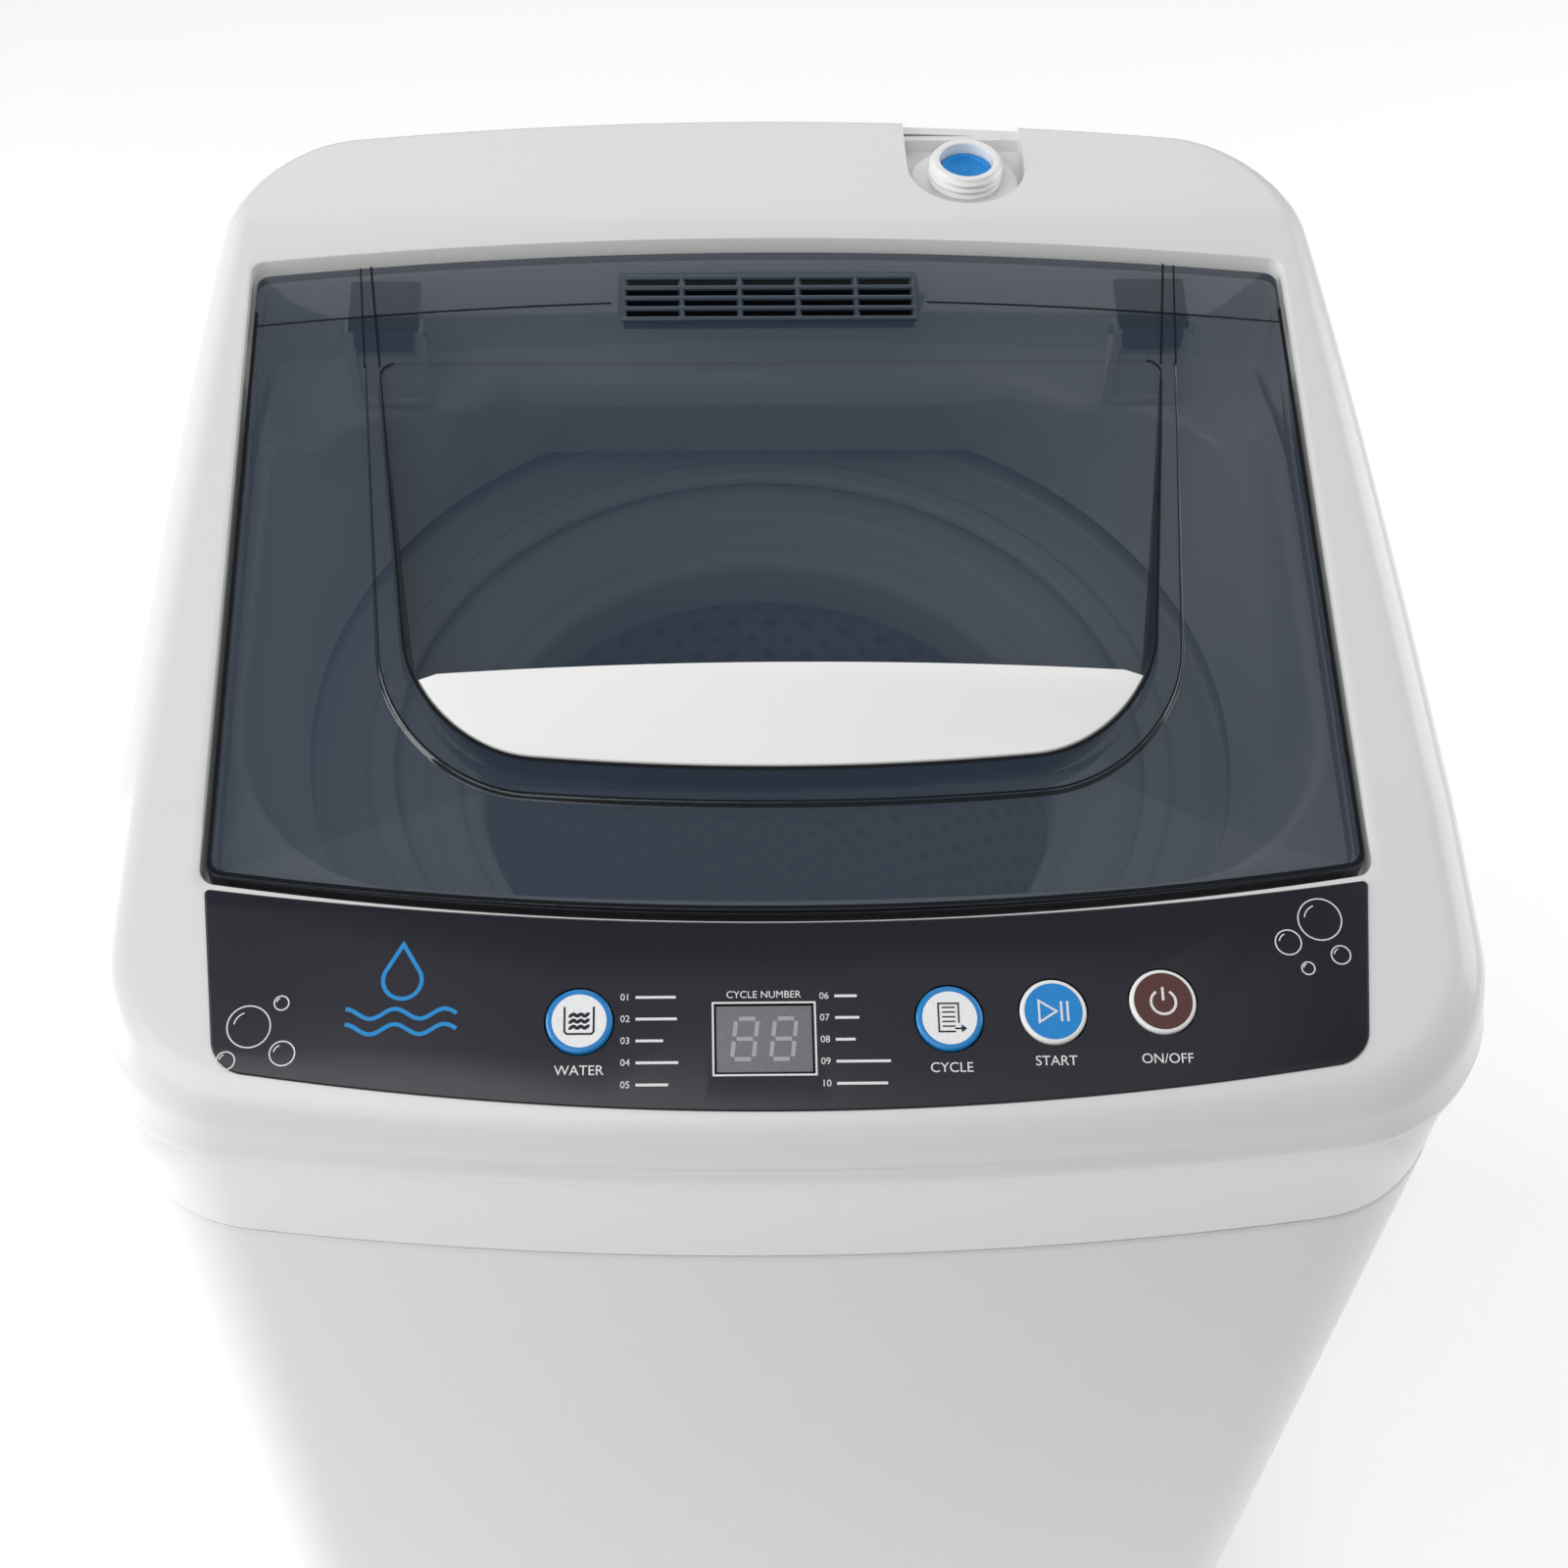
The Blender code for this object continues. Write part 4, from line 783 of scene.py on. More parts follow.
def wrapped_cell_tree(finish: Finish) -> bpy.types.NodeTree:
    """A tree that repeats a flat pierced cell and wraps the sheet into a drum.

    Args:
        finish: What the drum is made of.

    Returns:
        The tree.
    """
    tree, given, out = geometry_tree("pierced_drum", {
        "Columns": (INT, 60), "Rows": (INT, 16), "Spread X": (FLOAT, 0.9), "Spread Y": (FLOAT, 0.3),
        "Radius": (FLOAT, 0.15), "Middle Z": (FLOAT, 0.4)})
    points = add_node(tree, "GeometryNodeMeshGrid", Vertices_X=given["Columns"],
                      Vertices_Y=given["Rows"], Size_X=given["Spread X"],
                      Size_Y=given["Spread Y"])
    copies = add_node(tree, "GeometryNodeInstanceOnPoints", Points=points.outputs["Mesh"],
                      Instance=given["Geometry"])
    real = add_node(tree, "GeometryNodeRealizeInstances", Geometry=copies.outputs["Instances"])
    spot = add_node(tree, "ShaderNodeSeparateXYZ",
                    Vector=add_node(tree, "GeometryNodeInputPosition").outputs["Position"])
    angle = add_node(tree, "ShaderNodeMath", {"operation": "DIVIDE"}, i0=spot.outputs["X"],
                     i1=given["Radius"])
    across, ahead = (add_node(tree, "ShaderNodeMath", {"operation": way}, i0=angle.outputs["Value"])
                     for way in ("SINE", "COSINE"))
    x, y = (add_node(tree, "ShaderNodeMath", {"operation": "MULTIPLY"}, i0=part.outputs["Value"],
                     i1=given["Radius"]) for part in (across, ahead))
    z = add_node(tree, "ShaderNodeMath", {"operation": "ADD"}, i0=spot.outputs["Y"],
                 i1=given["Middle Z"])
    wrapped = add_node(tree, "ShaderNodeCombineXYZ", X=x.outputs["Value"], Y=y.outputs["Value"],
                       Z=z.outputs["Value"])
    bent = add_node(tree, "GeometryNodeSetPosition", Geometry=real.outputs["Geometry"],
                    Position=wrapped.outputs["Vector"])
    merged = add_node(tree, "GeometryNodeMergeByDistance", {"Distance": 0.05 * MM},
                      Geometry=bent.outputs["Geometry"])
    close_tree(tree, merged.outputs["Geometry"], out, finish)
    return tree


def stud_ring_tree(finish: Finish) -> bpy.types.NodeTree:
    """A tree that sets small domes in a ring, added to the piece they stand on.

    Args:
        finish: What the domes are made of.

    Returns:
        The tree.
    """
    tree, given, out = geometry_tree("ring_of_studs", {
        "Count": (INT, 24), "Ring Radius": (FLOAT, 0.1), "Height": (FLOAT, 0.2),
        "Dome": (VECTOR, (0.004, 0.004, 0.0015))})
    ring = add_node(tree, "GeometryNodeMeshCircle", Vertices=given["Count"],
                    Radius=given["Ring Radius"])
    dome = add_node(tree, "GeometryNodeMeshUVSphere", {"Segments": 10, "Rings": 6, "Radius": 1.0})
    sized = add_node(tree, "GeometryNodeTransform", Geometry=dome.outputs["Mesh"],
                     Scale=given["Dome"])
    copies = add_node(tree, "GeometryNodeInstanceOnPoints", Points=ring.outputs["Mesh"],
                      Instance=sized.outputs["Geometry"])
    lift = add_node(tree, "ShaderNodeCombineXYZ", Z=given["Height"])
    placed = add_node(tree, "GeometryNodeTransform", Geometry=copies.outputs["Instances"],
                      Translation=lift.outputs["Vector"])
    both = add_node(tree, "GeometryNodeJoinGeometry")
    tree.links.new(given["Geometry"], both.inputs["Geometry"])
    tree.links.new(placed.outputs["Geometry"], both.inputs["Geometry"])
    close_tree(tree, both.outputs["Geometry"], out, finish)
    return tree


def coil_tree(finish: Finish) -> bpy.types.NodeTree:
    """A tree that winds a round wire into an upright spring.

    Args:
        finish: What the wire is made of.

    Returns:
        The tree.
    """
    tree, given, out = geometry_tree("wound_spring", {
        "Turns": (FLOAT, 5.0), "Radius": (FLOAT, 0.01), "Wire": (FLOAT, 0.001), "Length": (FLOAT, 0.06),
        "Foot": (VECTOR, (0, 0, 0))})
    path = add_node(tree, "GeometryNodeCurveSpiral", {"Resolution": 40}, Rotations=given["Turns"],
                    Start_Radius=given["Radius"], End_Radius=given["Radius"],
                    Height=given["Length"])
    section = add_node(tree, "GeometryNodeCurvePrimitiveCircle", {"Resolution": 12},
                       Radius=given["Wire"])
    wire = add_node(tree, "GeometryNodeCurveToMesh", {"Fill Caps": True}, Curve=path.outputs["Curve"],
                    Profile_Curve=section.outputs["Curve"])
    placed = add_node(tree, "GeometryNodeTransform", Geometry=wire.outputs["Mesh"],
                      Translation=given["Foot"])
    close_tree(tree, placed.outputs["Geometry"], out, finish)
    return tree


# ---- the machine's shape ------------------------------------------------------------------------
@dataclass(frozen=True)
class Outline:
    """A rounded rectangle in plan whose front and back bow out and whose sides may flare."""

    half: float
    front: float
    back: float
    front_r: float
    back_r: float
    front_bow: float = 0.0
    back_bow: float = 0.0
    flare: float = 0.0
    front_round: float = 1.0  # share of an inset that comes off the front corners' radius
    back_round: float = 1.0
    back_follow: float = 1.0  # share of an inset that the back edge moves by
    side_follow: float = 1.0
    spread: float = 0.0  # flare gained per metre of inset

    def points(self, inset: float = 0.0) -> Plan:
        """Traces the outline counter-clockwise from the left end of its front.

        Args:
            inset: How far to move in from the stated edge.

        Returns:
            The points, equally many for every outline.
        """
        half, flare = self.half - inset * self.side_follow, self.flare + inset * self.spread
        front, back = self.front + inset, self.back - inset * self.back_follow
        radii = (self.front_r - inset * self.front_round, self.back_r - inset * self.back_round)
        corners = [(half - radii[0], front + radii[0], radii[0], -90), (half - radii[1], back - radii[1],
                   radii[1], 0), (radii[1] - half, back - radii[1], radii[1], 90),
                   (radii[0] - half, front + radii[0], radii[0], 180)]
        traced: Plan = []
        for i, (x, y, radius, start) in enumerate(corners):
            angles = [math.radians(start + 90 * step / CORNER_STEPS) for step in range(CORNER_STEPS + 1)]
            bend = [(x + radius * math.cos(a), y + radius * math.sin(a)) for a in angles]
            last = traced[-1] if traced else (radii[0] - half, front)
            steps = SIDE_STEPS if i % 2 else END_STEPS
            traced += [(last[0] + (bend[0][0] - last[0]) * s / steps,
                        last[1] + (bend[0][1] - last[1]) * s / steps) for s in range(1, steps)]
            traced += bend
        middle = (front + back) / 2
        shaped: Plan = []
        for x, y in traced:
            bulge = 1 - (x / half) ** 2
            y += self.back_bow * bulge if y > middle else -self.front_bow * bulge
            shaped.append((x * (1 + flare * y), y))
        return shaped


END_STEPS, SIDE_STEPS, CORNER_STEPS = 48, 40, 20


def share_of(value: float, start: float, end: float) -> float:
    """How far a value is from start to end, held between nought and one."""
    return min(1.0, max(0.0, (value - start) / (end - start)))


def eased(share: float) -> float:
    """A share that starts and ends without a jerk."""
    return share * share * (3 - 2 * share)


def soft_min(first: float, second: float, blend: float) -> float:
    """The lower of two heights, with the crease between them rounded over a height of blend."""
    near = max(blend - abs(first - second), 0.0) / blend
    return min(first, second) - near * near * blend / 4


def level(plan: Plan, z: float) -> Loop:
    """A plan at one height."""
    return [(x, y, z) for x, y in plan]


def draped(plan: Plan, height: Callable[[float], float]) -> Loop:
    """A plan laid over a surface whose height depends on y."""
    return [(x, y, height(y)) for x, y in plan]


def between(near: Loop, far: Loop, share: float, height: Callable[[float], float] | None = None) -> Loop:
    """A loop part of the way from one to another, laid over a surface if one is given."""
    loop = [tuple(a + (b - a) * share for a, b in zip(p, q)) for p, q in zip(near, far)]
    return [(x, y, height(y)) for x, y, _ in loop] if height else loop


def shrunk(plan: Plan, inset: float) -> Plan:
    """Moves a counter-clockwise plan in along its own normals.

    Args:
        plan: The plan.
        inset: How far to move in.

    Returns:
        The moved plan.
    """
    moved = []
    for i, (x, y) in enumerate(plan):
        before, after = Vector(plan[i - 1]), Vector(plan[(i + 1) % len(plan)])
        along = (after - before).normalized()
        moved.append((x - along.y * inset, y + along.x * inset))
    return moved


@dataclass(frozen=True)
class Layout:
    """The sizes and surfaces that several sub-assemblies share."""

    seam_z: float = 565.5 * MM
    lip_z: float = 610.0 * MM
    lip_step: float = 2.5 * MM
    lip_top_z: float = 620.5 * MM
    deck_z: float = 697.0 * MM
    lid_slope: float = math.radians(8.8)
    lid_front: tuple[float, float] = (-115.0 * MM, 655.0 * MM)
    rail_rise: float = 2.5 * MM
    ledge_depth: float = 12.0 * MM
    trough: tuple[float, float, float] = (52.0 * MM, 76.0 * MM, 648.0 * MM)  # start, end and floor
    panel_slope: float = math.radians(16)
    panel_top: tuple[float, float] = (-119.2 * MM, 653.0 * MM)
    body: Outline = Outline(211.5 * MM, -180.0 * MM, 181.5 * MM, 46 * MM, 46 * MM, 17.5 * MM, 16.0 * MM)
    recess: Outline = Outline(175.5 * MM, -116.5 * MM, 117.6 * MM, 4 * MM, 4 * MM, 13 * MM, 10.5 * MM, 0.10)
    lid: Outline = Outline(174 * MM, -115 * MM, 114 * MM, 4 * MM, 4 * MM, 13 * MM, 10.5 * MM, 0.10, 0.0, 0.0)
    tongue: Outline = Outline(129.7 * MM, -86 * MM, 82 * MM, 46 * MM, 6 * MM, 8 * MM, 0.0, 0.72, 0.6, 0.0,
                              0.5,
                              0.6, 25.0)
    mouth: Outline = Outline(167.5 * MM, -104 * MM, 94 * MM, 50 * MM, 50 * MM, 11 * MM, 3 * MM)

    def mouth_plan(self, inset: float = 0.0) -> Plan:
        """The loading mouth's plan, its back edge stepped back in the middle.

        Args:
            inset: How far to move in from the mouth's edge.

        Returns:
            The plan.
        """
        stepped = []
        for x, y in self.mouth.points(inset):
            share = share_of(-abs(x), -112 * MM, -88 * MM)
            stepped.append((x, y + 12 * MM * eased(share) if y > 0 else y))
        return stepped

    def on_lid(self, x: float, y: float, lift: float = 0.0) -> Matrix:
        """A placement on the lid's face, with local X across, Y up the slope and Z out of it."""
        return (Matrix.Translation((x, y, self.lid_z(y) + lift)) @ Matrix.Rotation(self.lid_slope, 4, "X"))

    def lid_z(self, y: float) -> float:
        """Height of the lid's sloping face."""
        return self.lid_front[1] + math.tan(self.lid_slope) * (y - self.lid_front[0])

    def panel_z(self, y: float) -> float:
        """Height of the panel's plane."""
        return self.panel_top[1] + math.tan(self.panel_slope) * (y - self.panel_top[0])

    def cover_z(self, y: float) -> float:
        """Height of the cover's top: the panel's plane, the rails beside the lid, then the deck."""
        rails = soft_min(self.lid_z(y) + self.rail_rise, self.deck_z, 0.8 * MM)
        return soft_min(self.panel_z(y), rails, 0.5 * MM)

    def ledge_z(self, y: float) -> float:
        """Height of the ledge round the mouth, which drops into a trough behind it."""
        share = eased(share_of(y, *self.trough[:2]))
        return (self.lid_z(y) - self.ledge_depth) * (1 - share) + self.trough[2] * share

    def on_panel(self, x: float, down: float, lift: float = 0.0) -> Matrix:
        """A placement on the panel's plane, with local X across, Y up the slope and Z out of it.

        Args:
            x: Distance to the right of the middle.
            down: Distance down the slope from the panel's top edge.
            lift: Height over the plane.

        Returns:
            The placement.
        """
        slope = self.panel_slope
        spot = Vector((x, self.panel_top[0] - down * math.cos(slope) - lift * math.sin(slope),
                       self.panel_top[1] - down * math.sin(slope) + lift * math.cos(slope)))
        return Matrix.Translation(spot) @ Matrix.Rotation(slope, 4, "X")


LAYOUT = Layout()


# ---- printing -----------------------------------------------------------------------------------
class Print:
    """Flat shapes in one ink that are gathered on a plane and given a little thickness."""

    def __init__(self, name: str, finish: Finish, place: Matrix, thickness: float = 0.04 * MM) -> None:
        """Starts an empty print.

        Args:
            name: The object's name.
            finish: The ink.
            place: The plane that the shapes lie on.
            thickness: Height of the ink over that plane.
        """
        self.name, self.finish, self.place, self.thickness = name, finish, place, thickness
        self.points: Plan = []
        self.faces: list[tuple[int, ...]] = []

    def patch(self, outline: Plan) -> None:
        """Adds one filled shape.

        Args:
            outline: The shape's points, in order.
        """
        start = len(self.points)
        self.points += outline
        self.faces.append(tuple(range(start, start + len(outline))))

    def ribbon(self, path: Plan, width: float, closed: bool = False) -> None:
        """Adds a line of even width with mitred corners.

        Args:
            path: The middle of the line.
            width: Its width.
            closed: Whether its end runs back into its start.
        """
        count, start = len(path), len(self.points)
        for i, spot in enumerate(path):
            here = Vector(spot)
            before = Vector(path[i - 1]) if i or closed else here
            after = Vector(path[(i + 1) % count]) if i < count - 1 or closed else here
            ahead, behind = (after - here).normalized(), (here - before).normalized()
            along = (ahead + behind).normalized()
            stretch = 1 / max(0.35, along.dot(ahead if ahead.length else behind))
            side = Vector((-along.y, along.x)) * width / 2 * stretch
            self.points += [tuple(here + side), tuple(here - side)]
        for i in range(count if closed else count - 1):
            a, b = start + 2 * i, start + 2 * ((i + 1) % count)
            self.faces.append((a, a + 1, b + 1, b))

    def ring(self, x: float, y: float, radius: float, width: float, start: float = 0.0,
             sweep: float = 360.0) -> None:
        """Adds a circle or an arc of even width; start and sweep are in degrees.

        Args:
            x: Middle of the circle.
            y: Middle of the circle.
            radius: Its radius.
            width: Width of the line.
            start: Where an arc starts.
            sweep: How far an arc goes round.
        """
        steps = max(12, int(sweep / 6))
        closed = sweep >= 360
        angles = [math.radians(start + sweep * i / steps) for i in range(steps + (0 if closed else 1))]
        self.ribbon([(x + radius * math.cos(a), y + radius * math.sin(a)) for a in angles], width, closed)

    def text(self, words: str, x: float, y: float, height: float, align: str = "CENTER") -> None:
        """Adds lettering of a cap height, set from its centre or its left end.

        Args:
            words: The lettering.
            x: Where it is set.
            y: Middle of its height.
            height: Height of a capital letter.
            align: Whether x is its centre or its left end.
        """
        curve = bpy.data.curves.new("words", "FONT")
        curve.body, curve.align_x, curve.align_y = words, align, "CENTER"
        curve.size = height / 0.7
        holder = bpy.data.objects.new("words", curve)
        bpy.context.scene.collection.objects.link(holder)
        bpy.context.view_layer.update()
        mesh = bpy.data.meshes.new_from_object(holder.evaluated_get(bpy.context.evaluated_depsgraph_get()))
        start = len(self.points)
        self.points += [(x + v.co.x, y + v.co.y) for v in mesh.vertices]
        self.faces += [tuple(start + i for i in face.vertices) for face in mesh.polygons]
        bpy.data.objects.remove(holder)

    def laid(self, body: Body | str) -> bpy.types.Object:
        """Builds the print and hands it to the frame.

        Args:
            body: The body it moves with.

        Returns:
            The print.
        """
        shape = bmesh.new()
        spots = [shape.verts.new((x, y, 0.0)) for x, y in self.points]
        for face in self.faces:
            shape.faces.new([spots[i] for i in face])
        raised = bmesh.ops.extrude_face_region(shape, geom=shape.faces[:])["geom"]
        top = [part for part in raised if isinstance(part, bmesh.types.BMVert)]
        bmesh.ops.translate(shape, vec=(0, 0, self.thickness), verts=top)
        bmesh.ops.recalc_face_normals(shape, faces=shape.faces)
        mesh = meshed(self.name, shape)
        mesh.transform(self.place)
        return settle(in_scene(self.name, mesh), self.finish, body)


# ---- top cover ----------------------------------------------------------------------------------
@dataclass
class TopCover:
    """The one-piece cover: skirt, lip, rails, deck, the lid's recess, loading mouth and collar."""

    wall: float = 2.5 * MM
    edge_radii: tuple[float, float] = (12 * MM, 5 * MM)  # of the top edge, front and back
    side_draft: float = 0.75
    mouth_radii: tuple[float, float] = (5 * MM, 13 * MM)
    collar_r: float = 160 * MM
    collar_z: float = 585 * MM
    collar_flat: float = 138 * MM  # its lower edge runs straight here, at the back
    notch_r: float = 21 * MM
    notch_floor_z: float = 688 * MM
    notch_rear_z: float = 693 * MM
    notch_back: float = 186.2 * MM
    inlet: tuple[float, float] = (72 * MM, 165.5 * MM)

    def edge_loop(self, turn: float, inset: float = 0.0) -> Loop:
        """One loop of the rounded top edge.

        Args:
            turn: Nought at the wall, one on top.
            inset: How far the loop lies inside the plastic.

        Returns:
            The loop.
        """
        body, loop = LAYOUT.body, []
        for i, (_, y) in enumerate(body.points()):
            share = share_of(y, body.front, body.back)
            radius = self.edge_radii[0] + (self.edge_radii[1] - self.edge_radii[0]) * share**4
            loop.append((i, share, radius))
        plans = {r: body.points(r * (1 - math.cos(turn * math.pi / 2)) + 2 * MM + inset)
                 for r in {radius for _, _, radius in loop}}
        made = []
        for i, share, radius in loop:
            x, y = plans[radius][i]
            z = LAYOUT.cover_z(y) - radius * (1 - math.sin(turn * math.pi / 2)) - inset
            made.append((x * (1 - self.side_draft * (1 + share**2) * max(0.0, z - LAYOUT.lip_top_z)), y, z))
        return made

    def collar_loop(self, share: float, out: float = 0.0) -> Loop:
        """One loop of the collar, from the mouth at nought to its lower edge at one.

        Args:
            share: Nought at the mouth, one at the lower edge.
            out: How far the loop lies inside the plastic.

        Returns:
            The loop.
        """
        loop = []
        for x, y in LAYOUT.mouth_plan():
            grow, top = self.collar_r / math.hypot(x, y), LAYOUT.ledge_z(y)
            low = (x * grow, min(y * grow, self.collar_flat))
            spot = Vector((x + (low[0] - x) * share, y + (low[1] - y) * share))
            spot += spot.normalized() * out
            loop.append((spot.x, spot.y, top + (self.collar_z - top) * share))
        return loop

    def mouth_edge(self, turn: float) -> Loop:
        """One loop of the mouth's rounded edge, which is blunter in the middle of the back.

        Args:
            turn: Angle round the edge, in radians.

        Returns:
            The loop.
        """
        small, large = (LAYOUT.mouth_plan(-r * (1 - math.sin(turn))) for r in self.mouth_radii)
        loop = []
        for near, far in zip(small, large):
            share = share_of(near[1], 50 * MM, 80 * MM) * share_of(-abs(near[0]), -112 * MM, -80 * MM)
            x, y = (a + (b - a) * share for a, b in zip(near, far))
            radius = self.mouth_radii[0] * (1 - share) + self.mouth_radii[1] * share
            loop.append((x, y, LAYOUT.ledge_z(y) - radius * (1 - math.cos(turn))))
        return loop

    def shell(self) -> bpy.types.Object:
        """The closed shell, its outer face first and then its inner face back to the seam.

        Returns:
            The shell.
        """
        body, recess, mouth, z = LAYOUT.body.points, LAYOUT.recess.points, LAYOUT.mouth_plan, LAYOUT
        skirt, ledge, cover = z.lip_step, z.ledge_z, z.cover_z
        outer = [level(body(skirt + 0.6 * MM), z.seam_z), level(body(skirt), z.seam_z + 0.6 * MM),
                 level(body(skirt), z.lip_z - 0.5 * MM), level(body(skirt - 0.3 * MM), z.lip_z + 0.3 * MM),
                 level(body(0.3 * MM), z.lip_z + 2.3 * MM), level(body(), z.lip_z + 3 * MM),
                 level(body(), z.lip_top_z - 3.4 * MM), level(body(0.4 * MM), z.lip_top_z - 2.6 * MM)]
        outer += [self.edge_loop(turn / 8) for turn in range(9)]
        rim = draped(recess(-1.0 * MM), cover)
        outer += [between(outer[-1], rim, share / 9, cover) for share in range(1, 9)]
        outer += [rim, draped(recess(-0.3 * MM), lambda y: cover(y) - 0.3 * MM),
                  draped(recess(), lambda y: cover(y) - 1.0 * MM),
                  draped(recess(), lambda y: ledge(y) + 1.5 * MM),
                  draped(recess(0.5 * MM), lambda y: ledge(y) + 0.5 * MM), draped(recess(1.5 * MM), ledge)]
        outer += [self.mouth_edge(turn) for turn in (0.0, 0.26, 0.52, 0.79, 1.05, 1.31, 1.57)]
        outer += [between(outer[-1], self.collar_loop(1.0), share) for share in (0.2, 0.4, 0.42, 0.7, 1.0)]
        deep = self.wall
        inner = [self.collar_loop(1.0, deep), self.collar_loop(0.5, deep),
                 draped(mouth(-deep - 4 * MM), lambda y: ledge(y) - 2 * deep),
                 draped(recess(-deep), lambda y: ledge(y) - deep),
                 draped(recess(-deep), lambda y: cover(y) - deep)]
        inner += [self.edge_loop(turn, deep) for turn in (1.0, 0.5, 0.0)]
        inner += [level(body(deep), z.lip_top_z - 3.4 * MM), level(body(deep), z.lip_z + 3 * MM),
                  level(body(skirt + deep), z.lip_z), level(body(skirt + deep), z.seam_z)]
        return stack("top_cover_shell", outer + inner, Ends.RING)

    def notch(self, radius: float, back: float, low: float, high: float) -> bpy.types.Object:
        """A prism that is round in front and open behind, where the hose comes in.

        Args:
            radius: Radius of the round front.
            back: Where the open end is.
            low: Height of its floor.
            high: Height of its top.

        Returns:
            The prism.
        """
        x, y = self.inlet
        plan = [(x - radius * math.cos(math.pi * i / 24), y - radius * math.sin(math.pi * i / 24))
                for i in range(25)] + [(x + radius, back), (x - radius, back)]
        return stack("notch", [level(plan, low), level(plan, high)])

    def build(self, panel: "Fascia") -> None:
        """Builds the cover, cuts its openings and dresses it.

        Args:
            panel: The fascia that sits in the cover.
        """
        cover, (x, y) = self.shell(), self.inlet
        back = self.notch_back
        carve(cover, [self.notch(self.notch_r + self.wall, back + self.wall, self.notch_floor_z - self.wall,
                                 LAYOUT.deck_z - 1.2 * MM)], "UNION")
        hole = turned("hole", [(0, 0.6), (13.7 * MM, 0.6), (13.7 * MM, 0.72), (0, 0.72)], (x, y))
        rear_gap = block("gap", (2 * self.notch_r, 30 * MM, 20 * MM), (x, back + 10 * MM,
                                                                      self.notch_rear_z + 10 * MM), 0.0)
        carve(cover, [self.notch(self.notch_r, back, self.notch_floor_z, LAYOUT.deck_z + 20 * MM), rear_gap,
                      hole,
                      panel.slab("seat", -1.4 * MM, 20 * MM, -0.4 * MM)] + panel.openings(30 * MM))
        settle(cover, Finish.WHITE_SHELL, Body.SHELL, ["top_cover"])


# ---- fascia -------------------------------------------------------------------------------------
@dataclass(frozen=True)
class Key:
    """A round push button on the panel."""

    body: str
    x: float
    down: float
    finish: Finish
    face: Finish
    face_r: float
    icon: Finish
    slot: str
    label: str


